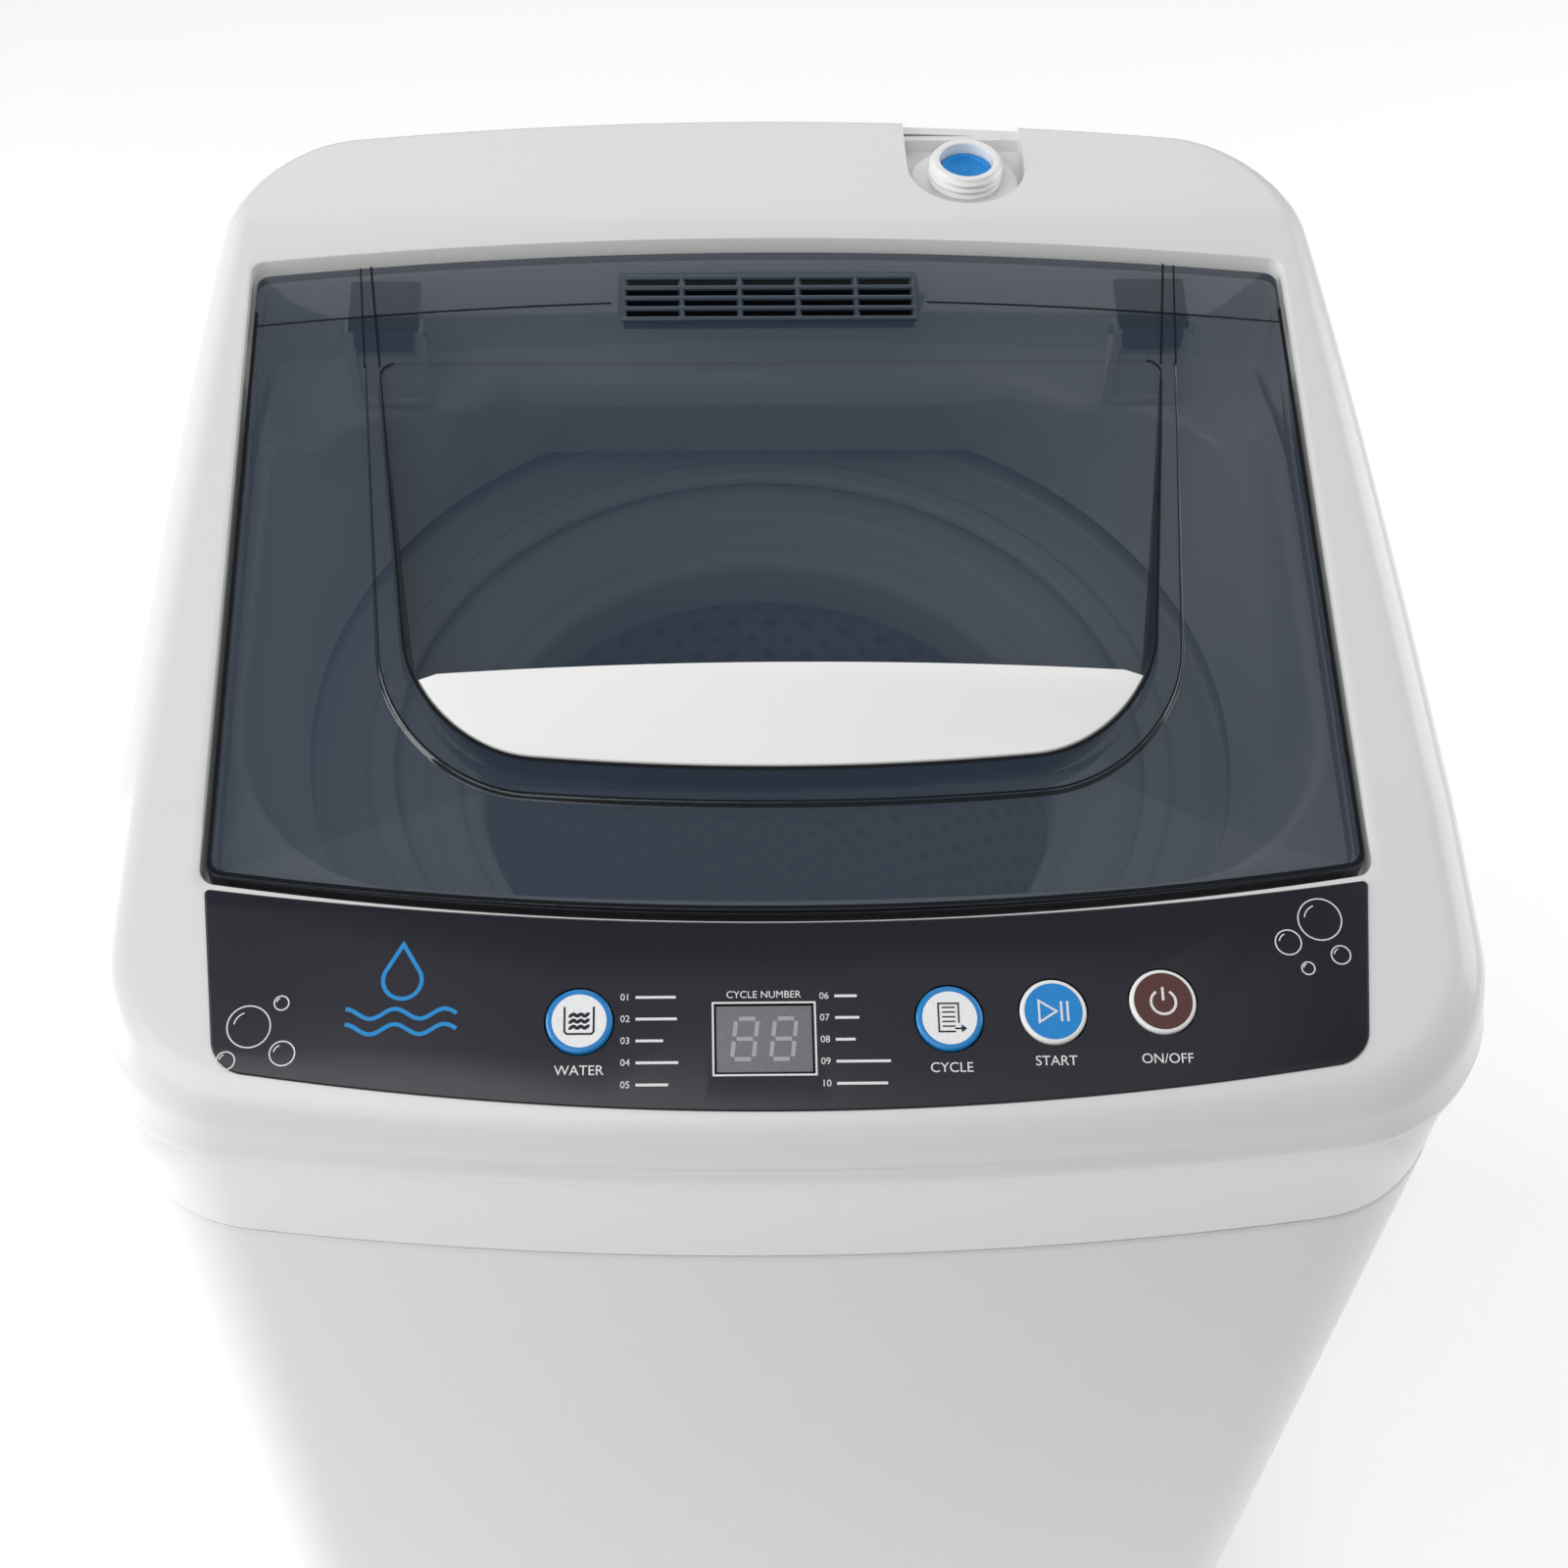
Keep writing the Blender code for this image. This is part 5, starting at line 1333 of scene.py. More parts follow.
@dataclass
class Fascia:
    """The printed panel with its display and its push buttons."""

    outline: Outline = Outline(171.5 * MM, -54.3 * MM, 0.0, 8 * MM, 1.5 * MM, 13.5 * MM, -11.8 * MM, 0.65)
    sink: float = 1.0 * MM
    top: float = 0.6 * MM
    key_r: float = 9.7 * MM
    key_deep: float = 8.0 * MM
    key_proud: float = 0.8 * MM
    gap: float = 0.5 * MM
    display: tuple[float, float, float, float] = (-8.0 * MM, 46.8 * MM, 28.5 * MM, 20.5 * MM)
    keys: tuple[Key, ...] = (
        Key("level_button", -61.2 * MM, 41.3 * MM, Finish.BLUE_KEY, Finish.WHITE_FACE, 7.9 * MM, Finish.FILM,
            "white_part", "WATER"),
        Key("program_button", 45.5 * MM, 41.3 * MM, Finish.BLUE_KEY, Finish.WHITE_FACE, 7.9 * MM, Finish.FILM,
            "white_part", "CYCLE"),
        Key("start_button", 75.6 * MM, 39.6 * MM, Finish.WHITE_KEY, Finish.BLUE_FACE, 8.4 * MM,
            Finish.WHITE_INK, "blue_plastic", "START"),
        Key("power_button", 107.6 * MM, 36.8 * MM, Finish.WHITE_KEY, Finish.MAROON_FACE, 8.5 * MM,
            Finish.WHITE_INK, "brown_plastic", "ON/OFF"),
    )

    def slab(self, name: str, low: float, high: float, inset: float = 0.0,
             edge: float = 0.0) -> bpy.types.Object:
        """A slab of the panel's outline between two heights, its top edge rounded by edge.

        Args:
            name: The object's name.
            low: Lower height over the panel's plane.
            high: Upper height.
            inset: How far to move in from the outline.
            edge: Rounding of the top edge.

        Returns:
            The slab.
        """
        plans = [(inset, low), (inset, high - edge), (inset + edge * 0.3, high - edge * 0.3),
                 (inset + edge, high)]
        place = LAYOUT.on_panel(0.0, 0.0)
        made = stack(name, [level(self.outline.points(i), z) for i, z in (plans if edge else plans[:2])])
        made.data.transform(place)
        return made

    def openings(self, reach: float) -> list[bpy.types.Object]:
        """Cutters for the display and the buttons.

        Args:
            reach: How far the cutters go above and below the plane.

        Returns:
            The cutters.
        """
        x, down, width, height = self.display
        tools = [block("window", (width, height, 2 * reach), (0, 0, 0), 0.0)]
        tools[0].data.transform(LAYOUT.on_panel(x, down))
        bore = self.key_r + self.gap
        for key in self.keys:
            tools.append(turned("bore", [(0, -reach), (bore, -reach), (bore, reach), (0, reach)],
                                along=LAYOUT.on_panel(key.x, key.down), radius=0.0))
        return tools

    def build(self) -> None:
        """Builds the panel and everything on it."""
        film = carve(self.slab("panel_film_face", -self.sink, self.top, edge=0.3 * MM),
                     self.openings(10 * MM))
        settle(film, Finish.FILM, Body.SHELL, ["control_panel"])
        x, down, width, height = self.display
        window = block("display_glass", (width - 0.8 * MM, height - 0.8 * MM, 2.9 * MM), (0, 0, 0), 0.3 * MM)
        window.data.transform(LAYOUT.on_panel(x, down, self.top - 0.2 * MM - 1.45 * MM))
        settle(window, Finish.DISPLAY, Body.SHELL, ["display_window"])
        self.print_digits()
        for key in self.keys:
            self.build_key(key)
        self.print_legends()
        self.print_ornaments()

    def build_key(self, key: Key) -> None:
        """Builds one button, its ring and its icon.

        Args:
            key: The button.
        """
        high, r = self.top + self.key_proud, self.key_r
        profile = [(0, -self.key_deep), (r - 0.4 * MM, -self.key_deep), (r, -self.key_deep + 0.4 * MM),
                   (r, high - 0.9 * MM), (r - 0.25 * MM, high - 0.3 * MM), (r - 0.8 * MM, high), (0, high)]
        place = LAYOUT.on_panel(key.x, key.down)
        settle(turned(f"{key.body}_cap", profile, along=place, radius=0.2 * MM), key.finish, key.body,
               [key.body])
        face = place @ Matrix.Translation((0, 0, high))
        disc = Print(f"{key.body}_face", key.face, face)
        disc.patch([(key.face_r * math.cos(math.radians(a)), key.face_r * math.sin(math.radians(a)))
                    for a in range(0, 360, 4)])
        disc.laid(key.body)
        icon = Print(f"{key.body}_icon", key.icon, face @ Matrix.Translation((0, 0, disc.thickness)))
        draw = {"level_button": self.draw_level, "program_button": self.draw_cycle,
                "start_button": self.draw_start, "power_button": self.draw_power}[key.body]
        draw(icon)
        icon.laid(key.body)

    @staticmethod
    def draw_level(icon: Print) -> None:
        """A tank with bands of water in it.

        Args:
            icon: The print to draw in.
        """
        icon.ribbon([(-4.2 * MM, 4.2 * MM), (-4.2 * MM, -3.2 * MM), (-3.6 * MM, -3.9 * MM),
                     (3.6 * MM, -3.9 * MM), (4.2 * MM, -3.2 * MM), (4.2 * MM, 4.2 * MM)], 0.6 * MM)
        for row in range(3):
            icon.ribbon([(x * 0.27 * MM, (1.7 - 1.8 * row + 0.3 * math.sin(x * 0.8)) * MM)
                         for x in range(-11, 12)], 1.0 * MM)

    @staticmethod
    def draw_cycle(icon: Print) -> None:
        """A page of lines with an arrow at its corner.

        Args:
            icon: The print to draw in.
        """
        icon.ribbon([(1.6 * MM, -4.1 * MM), (-3.2 * MM, -4.1 * MM), (-3.2 * MM, 4.3 * MM),
                     (2.6 * MM, 4.3 * MM),
                     (2.6 * MM, -1.6 * MM)], 0.5 * MM)
        for row in range(5):
            icon.ribbon([(-2.2 * MM, (3.1 - 1.4 * row) * MM), (1.6 * MM, (3.1 - 1.4 * row) * MM)], 0.45 * MM)
        icon.ribbon([(1.4 * MM, -3.2 * MM), (3.4 * MM, -3.2 * MM)], 0.55 * MM)
        icon.patch([(3.3 * MM, -4.4 * MM), (4.9 * MM, -3.2 * MM), (3.3 * MM, -2.0 * MM)])

    @staticmethod
    def draw_start(icon: Print) -> None:
        """An outlined triangle beside two bars.

        Args:
            icon: The print to draw in.
        """
        icon.ribbon([(-4.2 * MM, 3.2 * MM), (-4.2 * MM, -3.2 * MM), (0.9 * MM, 0.0)], 0.6 * MM, True)
        for x in (2.3, 4.1):
            icon.ribbon([(x * MM, 3.0 * MM), (x * MM, -3.0 * MM)], 0.65 * MM)

    @staticmethod
    def draw_power(icon: Print) -> None:
        """An open ring with a bar through its gap."""
        icon.ring(0, -0.3 * MM, 3.6 * MM, 0.75 * MM, 122, 296)
        icon.ribbon([(0, 4.2 * MM), (0, 0.2 * MM)], 0.75 * MM)

    def print_digits(self) -> None:
        """Lays two unlit seven segment digits in the display."""
        x, down, _, _ = self.display
        figures = Print("unlit_digits", Finish.SEGMENT, LAYOUT.on_panel(x, down, self.top - 0.2 * MM))
        half, tall, lean = 3.1 * MM, 6.0 * MM, 0.12
        for middle in (-5.6 * MM, 5.6 * MM):
            strokes = [((-half, s * tall), (half, s * tall)) for s in (-1, 0, 1)]
            strokes += [((side * half, low * tall), (side * half, (low + 1) * tall))
                        for side in (-1, 1) for low in (-1, 0)]
            for start, end in strokes:
                a, b = Vector(start), Vector(end)
                trim = (b - a).normalized() * 0.75 * MM
                spots = [(p.x + lean * p.y + middle, p.y) for p in (a + trim, b - trim)]
                figures.ribbon(spots, 1.2 * MM)
        figures.laid(Body.SHELL)

    def print_legends(self) -> None:
        """Prints the frame of the display, the numbered lists and the words under the buttons."""
        ink = Print("panel_legends", Finish.WHITE_INK, LAYOUT.on_panel(0, 0, self.top))
        x, down, width, height = self.display
        w, h = width / 2 + 0.5 * MM, height / 2 + 0.5 * MM
        ink.ribbon([(x - w, h - down), (x - w, -h - down), (x + w, -h - down), (x + w, h - down)],
                   0.55 * MM, True)
        ink.text("CYCLE NUMBER", x, -33.7 * MM, 2.1 * MM)
        lengths = iter((11.6, 11.9, 7.9, 12.2, 9.3, 6.5, 7.0, 5.7, 15.6, 14.5))
        for first, left in ((1, -49.6 * MM), (6, 7.9 * MM)):
            for row in range(5):
                y = -(34.2 + 6.5 * row) * MM
                ink.text(f"{first + row:02d}", left + 1.6 * MM, y, 2.0 * MM)
                ink.ribbon([(left + 4.6 * MM, y), (left + 4.6 * MM + next(lengths) * MM, y)], 0.8 * MM)
        for key in self.keys:
            drop = 17.0 * MM if key.body == "power_button" else 14.6 * MM
            ink.text(key.label, key.x, -(key.down + drop), 2.9 * MM)
        ink.laid(Body.SHELL)

    def print_ornaments(self) -> None:
        """Prints a drop over waves on the left, and bubbles in two corners."""
        ink = Print("panel_ornaments", Finish.BLUE_INK, LAYOUT.on_panel(-112.5 * MM, 31 * MM, self.top))
        ink.ribbon([(0, 13.5 * MM)] + [((5.6 * math.sin(a) * MM), (2.6 - 5.6 * math.cos(a)) * MM)
                                       for a in (math.radians(118 - 11.8 * i) for i in range(21))], 1.2 * MM,
                   True)
        for row in range(2):
            ink.ribbon([((i - 16) * MM,
                         (-7.5 - 4.6 * row + 1.5 * math.cos(i * 0.44)) * MM) for i in range(33)],
                       1.2 * MM)
        pale = Print("panel_bubbles", Finish.WHITE_INK, LAYOUT.on_panel(0, 0, self.top))
        for x, down, radius in ((-156, 42, 6.2), (-146, 50, 3.6), (-162, 52, 2.6), (-147, 35, 2.1),
                                (156, 12, 6.4), (146, 19, 3.8), (161, 23, 2.8), (151, 27, 1.9)):
            pale.ring(x * MM, -down * MM, radius * MM, 0.38 * MM)
            pale.ring(x * MM, -down * MM, radius * 0.7 * MM, 0.34 * MM, 110, 60)
        ink.laid(Body.SHELL)
        pale.laid(Body.SHELL)


# ---- lid ----------------------------------------------------------------------------------------
@dataclass
class Lid:
    """The smoked lid: turned-down rim, raised tongue, sloping pocket, vent and white grip plate."""

    wall: float = 3.0 * MM
    rim_depth: float = 9.0 * MM
    rise: float = 1.5 * MM
    band: float = 12.5 * MM
    pocket_depth: float = 17.0 * MM
    pocket_lean: float = 0.3
    grip: float = 3.0 * MM
    grip_back: tuple[float, float] = (-47.5 * MM, 4.0 * MM)  # its back edge and how far that bows
    vent: tuple[float, float, float] = (96.5 * MM, 4.6 * MM, 2.6 * MM)  # first row, pitch and slot
    vent_half: float = 51 * MM
    rib: float = 2.4 * MM

    def rim_z(self, y: float) -> float:
        """Height of the rim's lower edge, which stops short of the hinges."""
        share = share_of(y, *LAYOUT.trough[:2])
        return LAYOUT.lid_z(y) - self.rim_depth - (self.wall + 0.4 * MM - self.rim_depth) * share

    def raised_z(self, y: float) -> float:
        """Height of the tongue's band, which fades out towards the back."""
        share = share_of(LAYOUT.tongue.back - y, 0.0, 40 * MM)
        return LAYOUT.lid_z(y) + self.rise * eased(share)

    def pocket(self, inset: float, share: float, drop: float = 0.0) -> Loop:
        """A loop of the pocket's wall, at a share of its own depth down to the sloping floor.

        Args:
            inset: How far in from the tongue's edge the wall starts.
            share: Nought at the top of the wall, one at the floor.
            drop: How far the loop lies below that.

        Returns:
            The loop.
        """
        tongue, loop = LAYOUT.tongue, []
        starts, ends = tongue.points(inset), tongue.points(inset + self.pocket_lean * self.pocket_depth)
        for start, end in zip(starts, ends):
            fall = share_of(start[1], tongue.back, tongue.front) * share
            x, y = (a + (b - a) * fall for a, b in zip(start, end))
            rise = self.raised_z(y) - LAYOUT.lid_z(y)
            loop.append((x, y, LAYOUT.lid_z(y) + rise * (1 - share) - self.pocket_depth * fall - drop))
        return loop

    def sheet(self) -> bpy.types.Object:
        """The smoked sheet, from the pocket's underside out to the rim and back over the top.

        Returns:
            The sheet.
        """
        lid, tongue, lid_z, wall = LAYOUT.lid.points, LAYOUT.tongue.points, LAYOUT.lid_z, self.wall
        upper = [draped(lid(), lambda y: lid_z(y) - 0.9 * MM),
                 draped(lid(0.25 * MM), lambda y: lid_z(y) - 0.25 * MM),
                 draped(lid(0.9 * MM), lid_z), draped(tongue(-0.6 * MM), lid_z)]
        upper += [draped(tongue(step * MM), lambda y, s=share: lid_z(y) * (1 - s) + self.raised_z(y) * s)
                  for step, share in ((-0.2, 0.1), (0.2, 0.5), (0.6, 0.85), (1.2, 1.0))]
        upper += [draped(tongue(self.band - 0.5 * MM), self.raised_z)]
        upper += [self.pocket(self.band, share) for share in (0.03, 0.3, 0.6, 0.9, 0.98)]
        upper += [self.pocket(self.band + 0.6 * MM, 1.0)]
        lower = [draped(lid(0.2 * MM), self.rim_z), draped(lid(wall - 0.3 * MM), self.rim_z),
                 draped(lid(wall), lambda y: lid_z(y) - wall),
                 draped(tongue(-1.0 * MM), lambda y: lid_z(y) - wall),
                 self.pocket(self.band - 3.0 * MM, 0.2, wall),
                 self.pocket(self.band - 2.4 * MM, 1.0, wall)]
        return stack("lid_sheet", lower[::-1] + upper)

    def build(self) -> None:
        """Builds the lid with its vent and tells its steep, darker walls from its face."""
        sheet, (start, pitch, slot) = self.sheet(), self.vent
        middle, columns = start + 1.5 * pitch, 5
        width = (2 * self.vent_half - self.rib * (columns + 1)) / columns
        grown(sheet, slot_grid_tree(), {
            "Slot": (width, slot, 20 * MM), "Spread X": (columns - 1) * (width + self.rib),
            "Spread Y": 3 * pitch, "Centre": (0.0, middle, LAYOUT.lid_z(middle)),
            "Tilt": (LAYOUT.lid_slope, 0.0, 0.0)})
        sheet.data.materials.clear()
        for finish in (Finish.SMOKED, Finish.SMOKED_EDGE):
            sheet.data.materials.append(finish.material())
        up = Vector((0.0, -math.sin(LAYOUT.lid_slope), math.cos(LAYOUT.lid_slope)))
        shelf = (70 * MM, LAYOUT.tongue.back + 8 * MM)  # the tongue fades out here, with no dark line
        for face in sheet.data.polygons:
            steep = abs(face.normal.dot(up)) < STEEP
            face.material_index = int(steep and not shelf[0] < face.center.y < shelf[1])
        settle(sheet, Finish.SMOKED, Body.LID, ["lid"])
        self.build_vent(middle, pitch, width + self.rib)
        self.build_lines()
        self.build_edges()
        self.build_grip()

    def build_vent(self, middle: float, pitch: float, step: float) -> None:
        """Builds the raised bars round the vent's slots, their lighter tone a painted reflection, and a black
        sheet below them that paints the shade seen through the slots.

        Args:
            middle: Where the slots' middle is, along y.
            pitch: Distance between rows.
            step: Distance between columns.
        """
        half, bars = 2.5 * step, []
        bars += [block("bar", (2 * half + 1 * MM, 1.7 * MM, 1.8 * MM), (0, row * pitch, 0), 0.6 * MM)
                 for row in range(-2, 3)]
        bars += [block("bar", (1.3 * MM, 4 * pitch + 1.2 * MM, 1.6 * MM), (column * step - half, 0, 0),
                       0.5 * MM)
                 for column in range(6)]
        grille = joined("vent_bars", bars)
        grille.data.transform(LAYOUT.on_lid(0.0, middle))
        # the bars' lighter opaque tone is a painted reflection of light from above
        settle(grille, Finish.SMOKED_RIB_PAINTED_SHEEN, Body.LID)
        # a black sheet under the slots: painted shade, so that the slots read dark
        shade_sheet = block("vent_painted_shade_sheet", (2 * half, 4 * pitch, 1.2 * MM), (0, 0, 0), 0.4 * MM)
        shade_sheet.data.transform(LAYOUT.on_lid(0.0, middle, -self.wall - 0.8 * MM))
        settle(shade_sheet, Finish.BLACK_PART, Body.LID)

    def build_lines(self) -> None:
        """Builds the fine ridges that carry the tongue's sides to the back edge, and the shelf line."""
        ridges = Print("lid_ridges", Finish.SMOKED_EDGE, LAYOUT.on_lid(0.0, 0.0), 0.25 * MM)
        lid, tongue = LAYOUT.lid, LAYOUT.tongue
        stretch = 1 / math.cos(LAYOUT.lid_slope)
        for side in (-1, 1):
            for inset, width in ((0.0, 0.5), (self.band, 0.7)):
                half = tongue.half - inset * tongue.side_follow
                flare = tongue.flare + inset * tongue.spread
                ends = (74 * MM, lid.back + lid.back_bow * (1 - (half / lid.half) ** 2) - 1.2 * MM)
                ridges.ribbon([(side * half * (1 + flare * y), y * stretch) for y in ends], width * MM)
            ridges.ribbon([(side * x * MM, (92 + 10.5 * (1 - (x / 174) ** 2)) * MM * stretch)
                           for x in range(54, 175, 6)], 0.5 * MM)
        ridges.laid(Body.LID)

    def line(self, name: str, plan: Outline, insets: tuple[float, float], until: float) -> bpy.types.Object:
        """Sweeps a low dark line round an outline's front and sides, sunk into the lid's face.

        Args:
            name: The line's name.
            plan: The outline that it follows.
            insets: How far in from the outline its two edges lie.
            until: Where its two ends stop, towards the back.

        Returns:
            The line.
        """
        pairs = [pair for pair in zip(*(plan.points(inset) for inset in insets)) if pair[0][1] < until]
        pairs.sort(key=lambda pair: math.atan2(pair[0][0], -pair[0][1]))
        over = 0.08 * MM
        return stack(name, [[(x, y, self.raised_z(y) + z if plan is LAYOUT.tongue else LAYOUT.lid_z(y) + z)
                             for (x, y), z in ((near, over), (far, over), (far, -over), (near, -over))]
                            for near, far in pairs])

    def build_edges(self) -> None:
        """Builds the near-black lines where the sheet turns down: at its rim and round the pocket."""
        lid, tongue = LAYOUT.lid, LAYOUT.tongue
        lines = [self.line("rim", lid, (0.3 * MM, 1.5 * MM), 104 * MM),
                 self.line("band_inside", tongue, (self.band - 0.7 * MM, self.band + 0.5 * MM), 76 * MM),
                 self.line("band_outside", tongue, (0.9 * MM, 1.5 * MM), 76 * MM)]
        settle(joined("lid_edge_lines", lines), Finish.SMOKED_EDGE, Body.LID)

    def build_grip(self) -> None:
        """Builds the white plate that bridges the front of the pocket."""
        back, bow = self.grip_back
        edge = [p for p in LAYOUT.tongue.points(self.band + 1.2 * MM) if p[1] < back]
        first = min(range(len(edge)), key=lambda i: (edge[i][0], -edge[i][1]))
        edge = edge[first:] + edge[:first]
        left, right, steps = edge[0][0], edge[-1][0], 40
        far = [right + (left - right) * i / steps for i in range(1, steps)]
        plan = edge + [(x, back + bow * (1 - (x / right) ** 2)) for x in far]
        layers = ((0.5, -self.grip), (0.0, -self.grip + 0.5 * MM), (0.0, -0.8 * MM), (0.25, -0.25 * MM),
                  (0.9, 0.0))
        loops = [draped(shrunk(plan, inset * MM), lambda y, z=z: LAYOUT.lid_z(y) + self.rise + z)
                 for inset, z in layers]
        settle(stack("grip_plate", loops), Finish.WHITE_GRIP, Body.LID, ["lid_handle"])


# ---- hinges -------------------------------------------------------------------------------------
@dataclass
class Hinges:
    """The two hinges: a bracket on the cover, a pin and an arm under the lid."""

    pin_r: float = 1.8 * MM
    edge: float = 0.5 * MM
    leaf: tuple[float, float, float] = (24 * MM, 21 * MM, 3 * MM)
    leaf_place: tuple[float, float] = (104 * MM, -3.7 * MM)  # its y, and its lift off the lid's face

    def build(self) -> None:
        """Builds both hinges round the frame's own brackets and pins."""
        for side in ("left", "right"):
            low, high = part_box(f"hinge_bracket_{side}")
            x, y = (low.x + high.x) / 2, (low.y + high.y) / 2
            bridge = block("bridge", (high.x - low.x - 5 * MM, 4 * MM, 22 * MM), (x, y, low.z + 11.2 * MM),
                           0.4 * MM)
            settle(joined(f"hinge_stand_{side}", [refined(f"hinge_bracket_{side}", self.edge), bridge]),
                   Finish.WHITE_SHELL, Body.SHELL, [f"hinge_bracket_{side}"])
            leaf = block("leaf", self.leaf, edge=0.8 * MM)
            leaf.data.transform(LAYOUT.on_lid(x, *self.leaf_place))
            settle(joined(f"hinge_leaf_{side}", [refined(f"hinge_arm_{side}", self.edge), leaf]),
                   Finish.BLACK_PART, Body.LID, [f"hinge_arm_{side}"])
            low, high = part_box(f"hinge_pin_{side}")
            half = (high.x - low.x) / 2
            along = Matrix.Translation((low + high) / 2) @ Matrix.Rotation(math.pi / 2, 4, "Y")
            pin = turned(f"hinge_rod_{side}", [(0, -half), (self.pin_r, -half), (self.pin_r, half),
                                               (0, half)],
                         radius=0.4 * MM, sides=32, along=along)
            settle(pin, Finish.STEEL, Body.SHELL, [f"hinge_pin_{side}"])


# ---- water inlet --------------------------------------------------------------------------------
@dataclass
class Inlet:
    """The threaded inlet in its notch, the strainer inside it and the duct to the tub."""

    nozzle_r: float = 13.2 * MM
    bore_r: float = 9.5 * MM
    flange: tuple[float, float] = (19.5 * MM, 1.8 * MM)  # radius and thickness
    floor_z: float = 688 * MM
    top_z: float = 700 * MM
    turns: int = 3

    def build(self) -> None:
        """Builds the nozzle, the valve under it, the strainer and the duct."""
        place = TopCover().inlet
        root, flange_top = self.nozzle_r - 1.2 * MM, self.floor_z + 0.4 * MM + self.flange[1]
        pitch = (self.top_z - flange_top - 2 * MM) / self.turns
        profile = [(self.bore_r, self.top_z), (root, self.top_z)]
        for turn in range(self.turns):
            z = self.top_z - 1 * MM - turn * pitch
            profile += [(root, z), (self.nozzle_r, z - 0.3 * pitch), (self.nozzle_r, z - 0.55 * pitch),
                        (root, z - 0.9 * pitch)]
        under = self.floor_z - 7.9 * MM
        profile += [(root, flange_top), (self.flange[0], flange_top),
                    (self.flange[0], self.floor_z + 0.4 * MM),
                    (self.nozzle_r, self.floor_z + 0.4 * MM), (self.nozzle_r, under), (self.bore_r, under)]
        nozzle = turned("inlet_nozzle", profile, place, 0.5 * MM)
        low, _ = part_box("inlet_valve")
        x, y = place
        top, half = self.floor_z - 2.9 * MM, 15 * MM
        middle = (top + low.z) / 2 - 1 * MM
        valve = block("valve", (2 * half, 2 * half, top - low.z - 2 * MM), (x, y, middle), 1.5 * MM)
        coil = turned("coil", [(0, -16 * MM), (11 * MM, -16 * MM), (11 * MM, 16 * MM), (0, 16 * MM)],
                      radius=1 * MM, along=Matrix.Translation((x + 27 * MM, y, middle))
                      @ Matrix.Rotation(math.pi / 2, 4, "Y"))
        settle(joined("inlet_valve_body", [nozzle, valve, coil]), Finish.WHITE_KEY, Body.SHELL,
               ["inlet_valve"])
        fine, top = self.bore_r - 0.4 * MM, self.top_z - 4 * MM
        mesh = turned("strainer", [(0, top - 2.5 * MM), (fine, top - 2.5 * MM), (fine, top),
                                   (fine - 1.3 * MM, top),
                                   (fine - 1.7 * MM, top - 0.8 * MM), (1.8 * MM, top - 0.8 * MM),
                                   (1.4 * MM, top - 0.1 * MM), (0, top)], place, 0.3 * MM)
        settle(mesh, Finish.STRAINER, Body.SHELL, ["inlet_filter"])
        settle(refined("water_duct"), Finish.WHITE_PART, Body.SHELL, ["water_duct"])


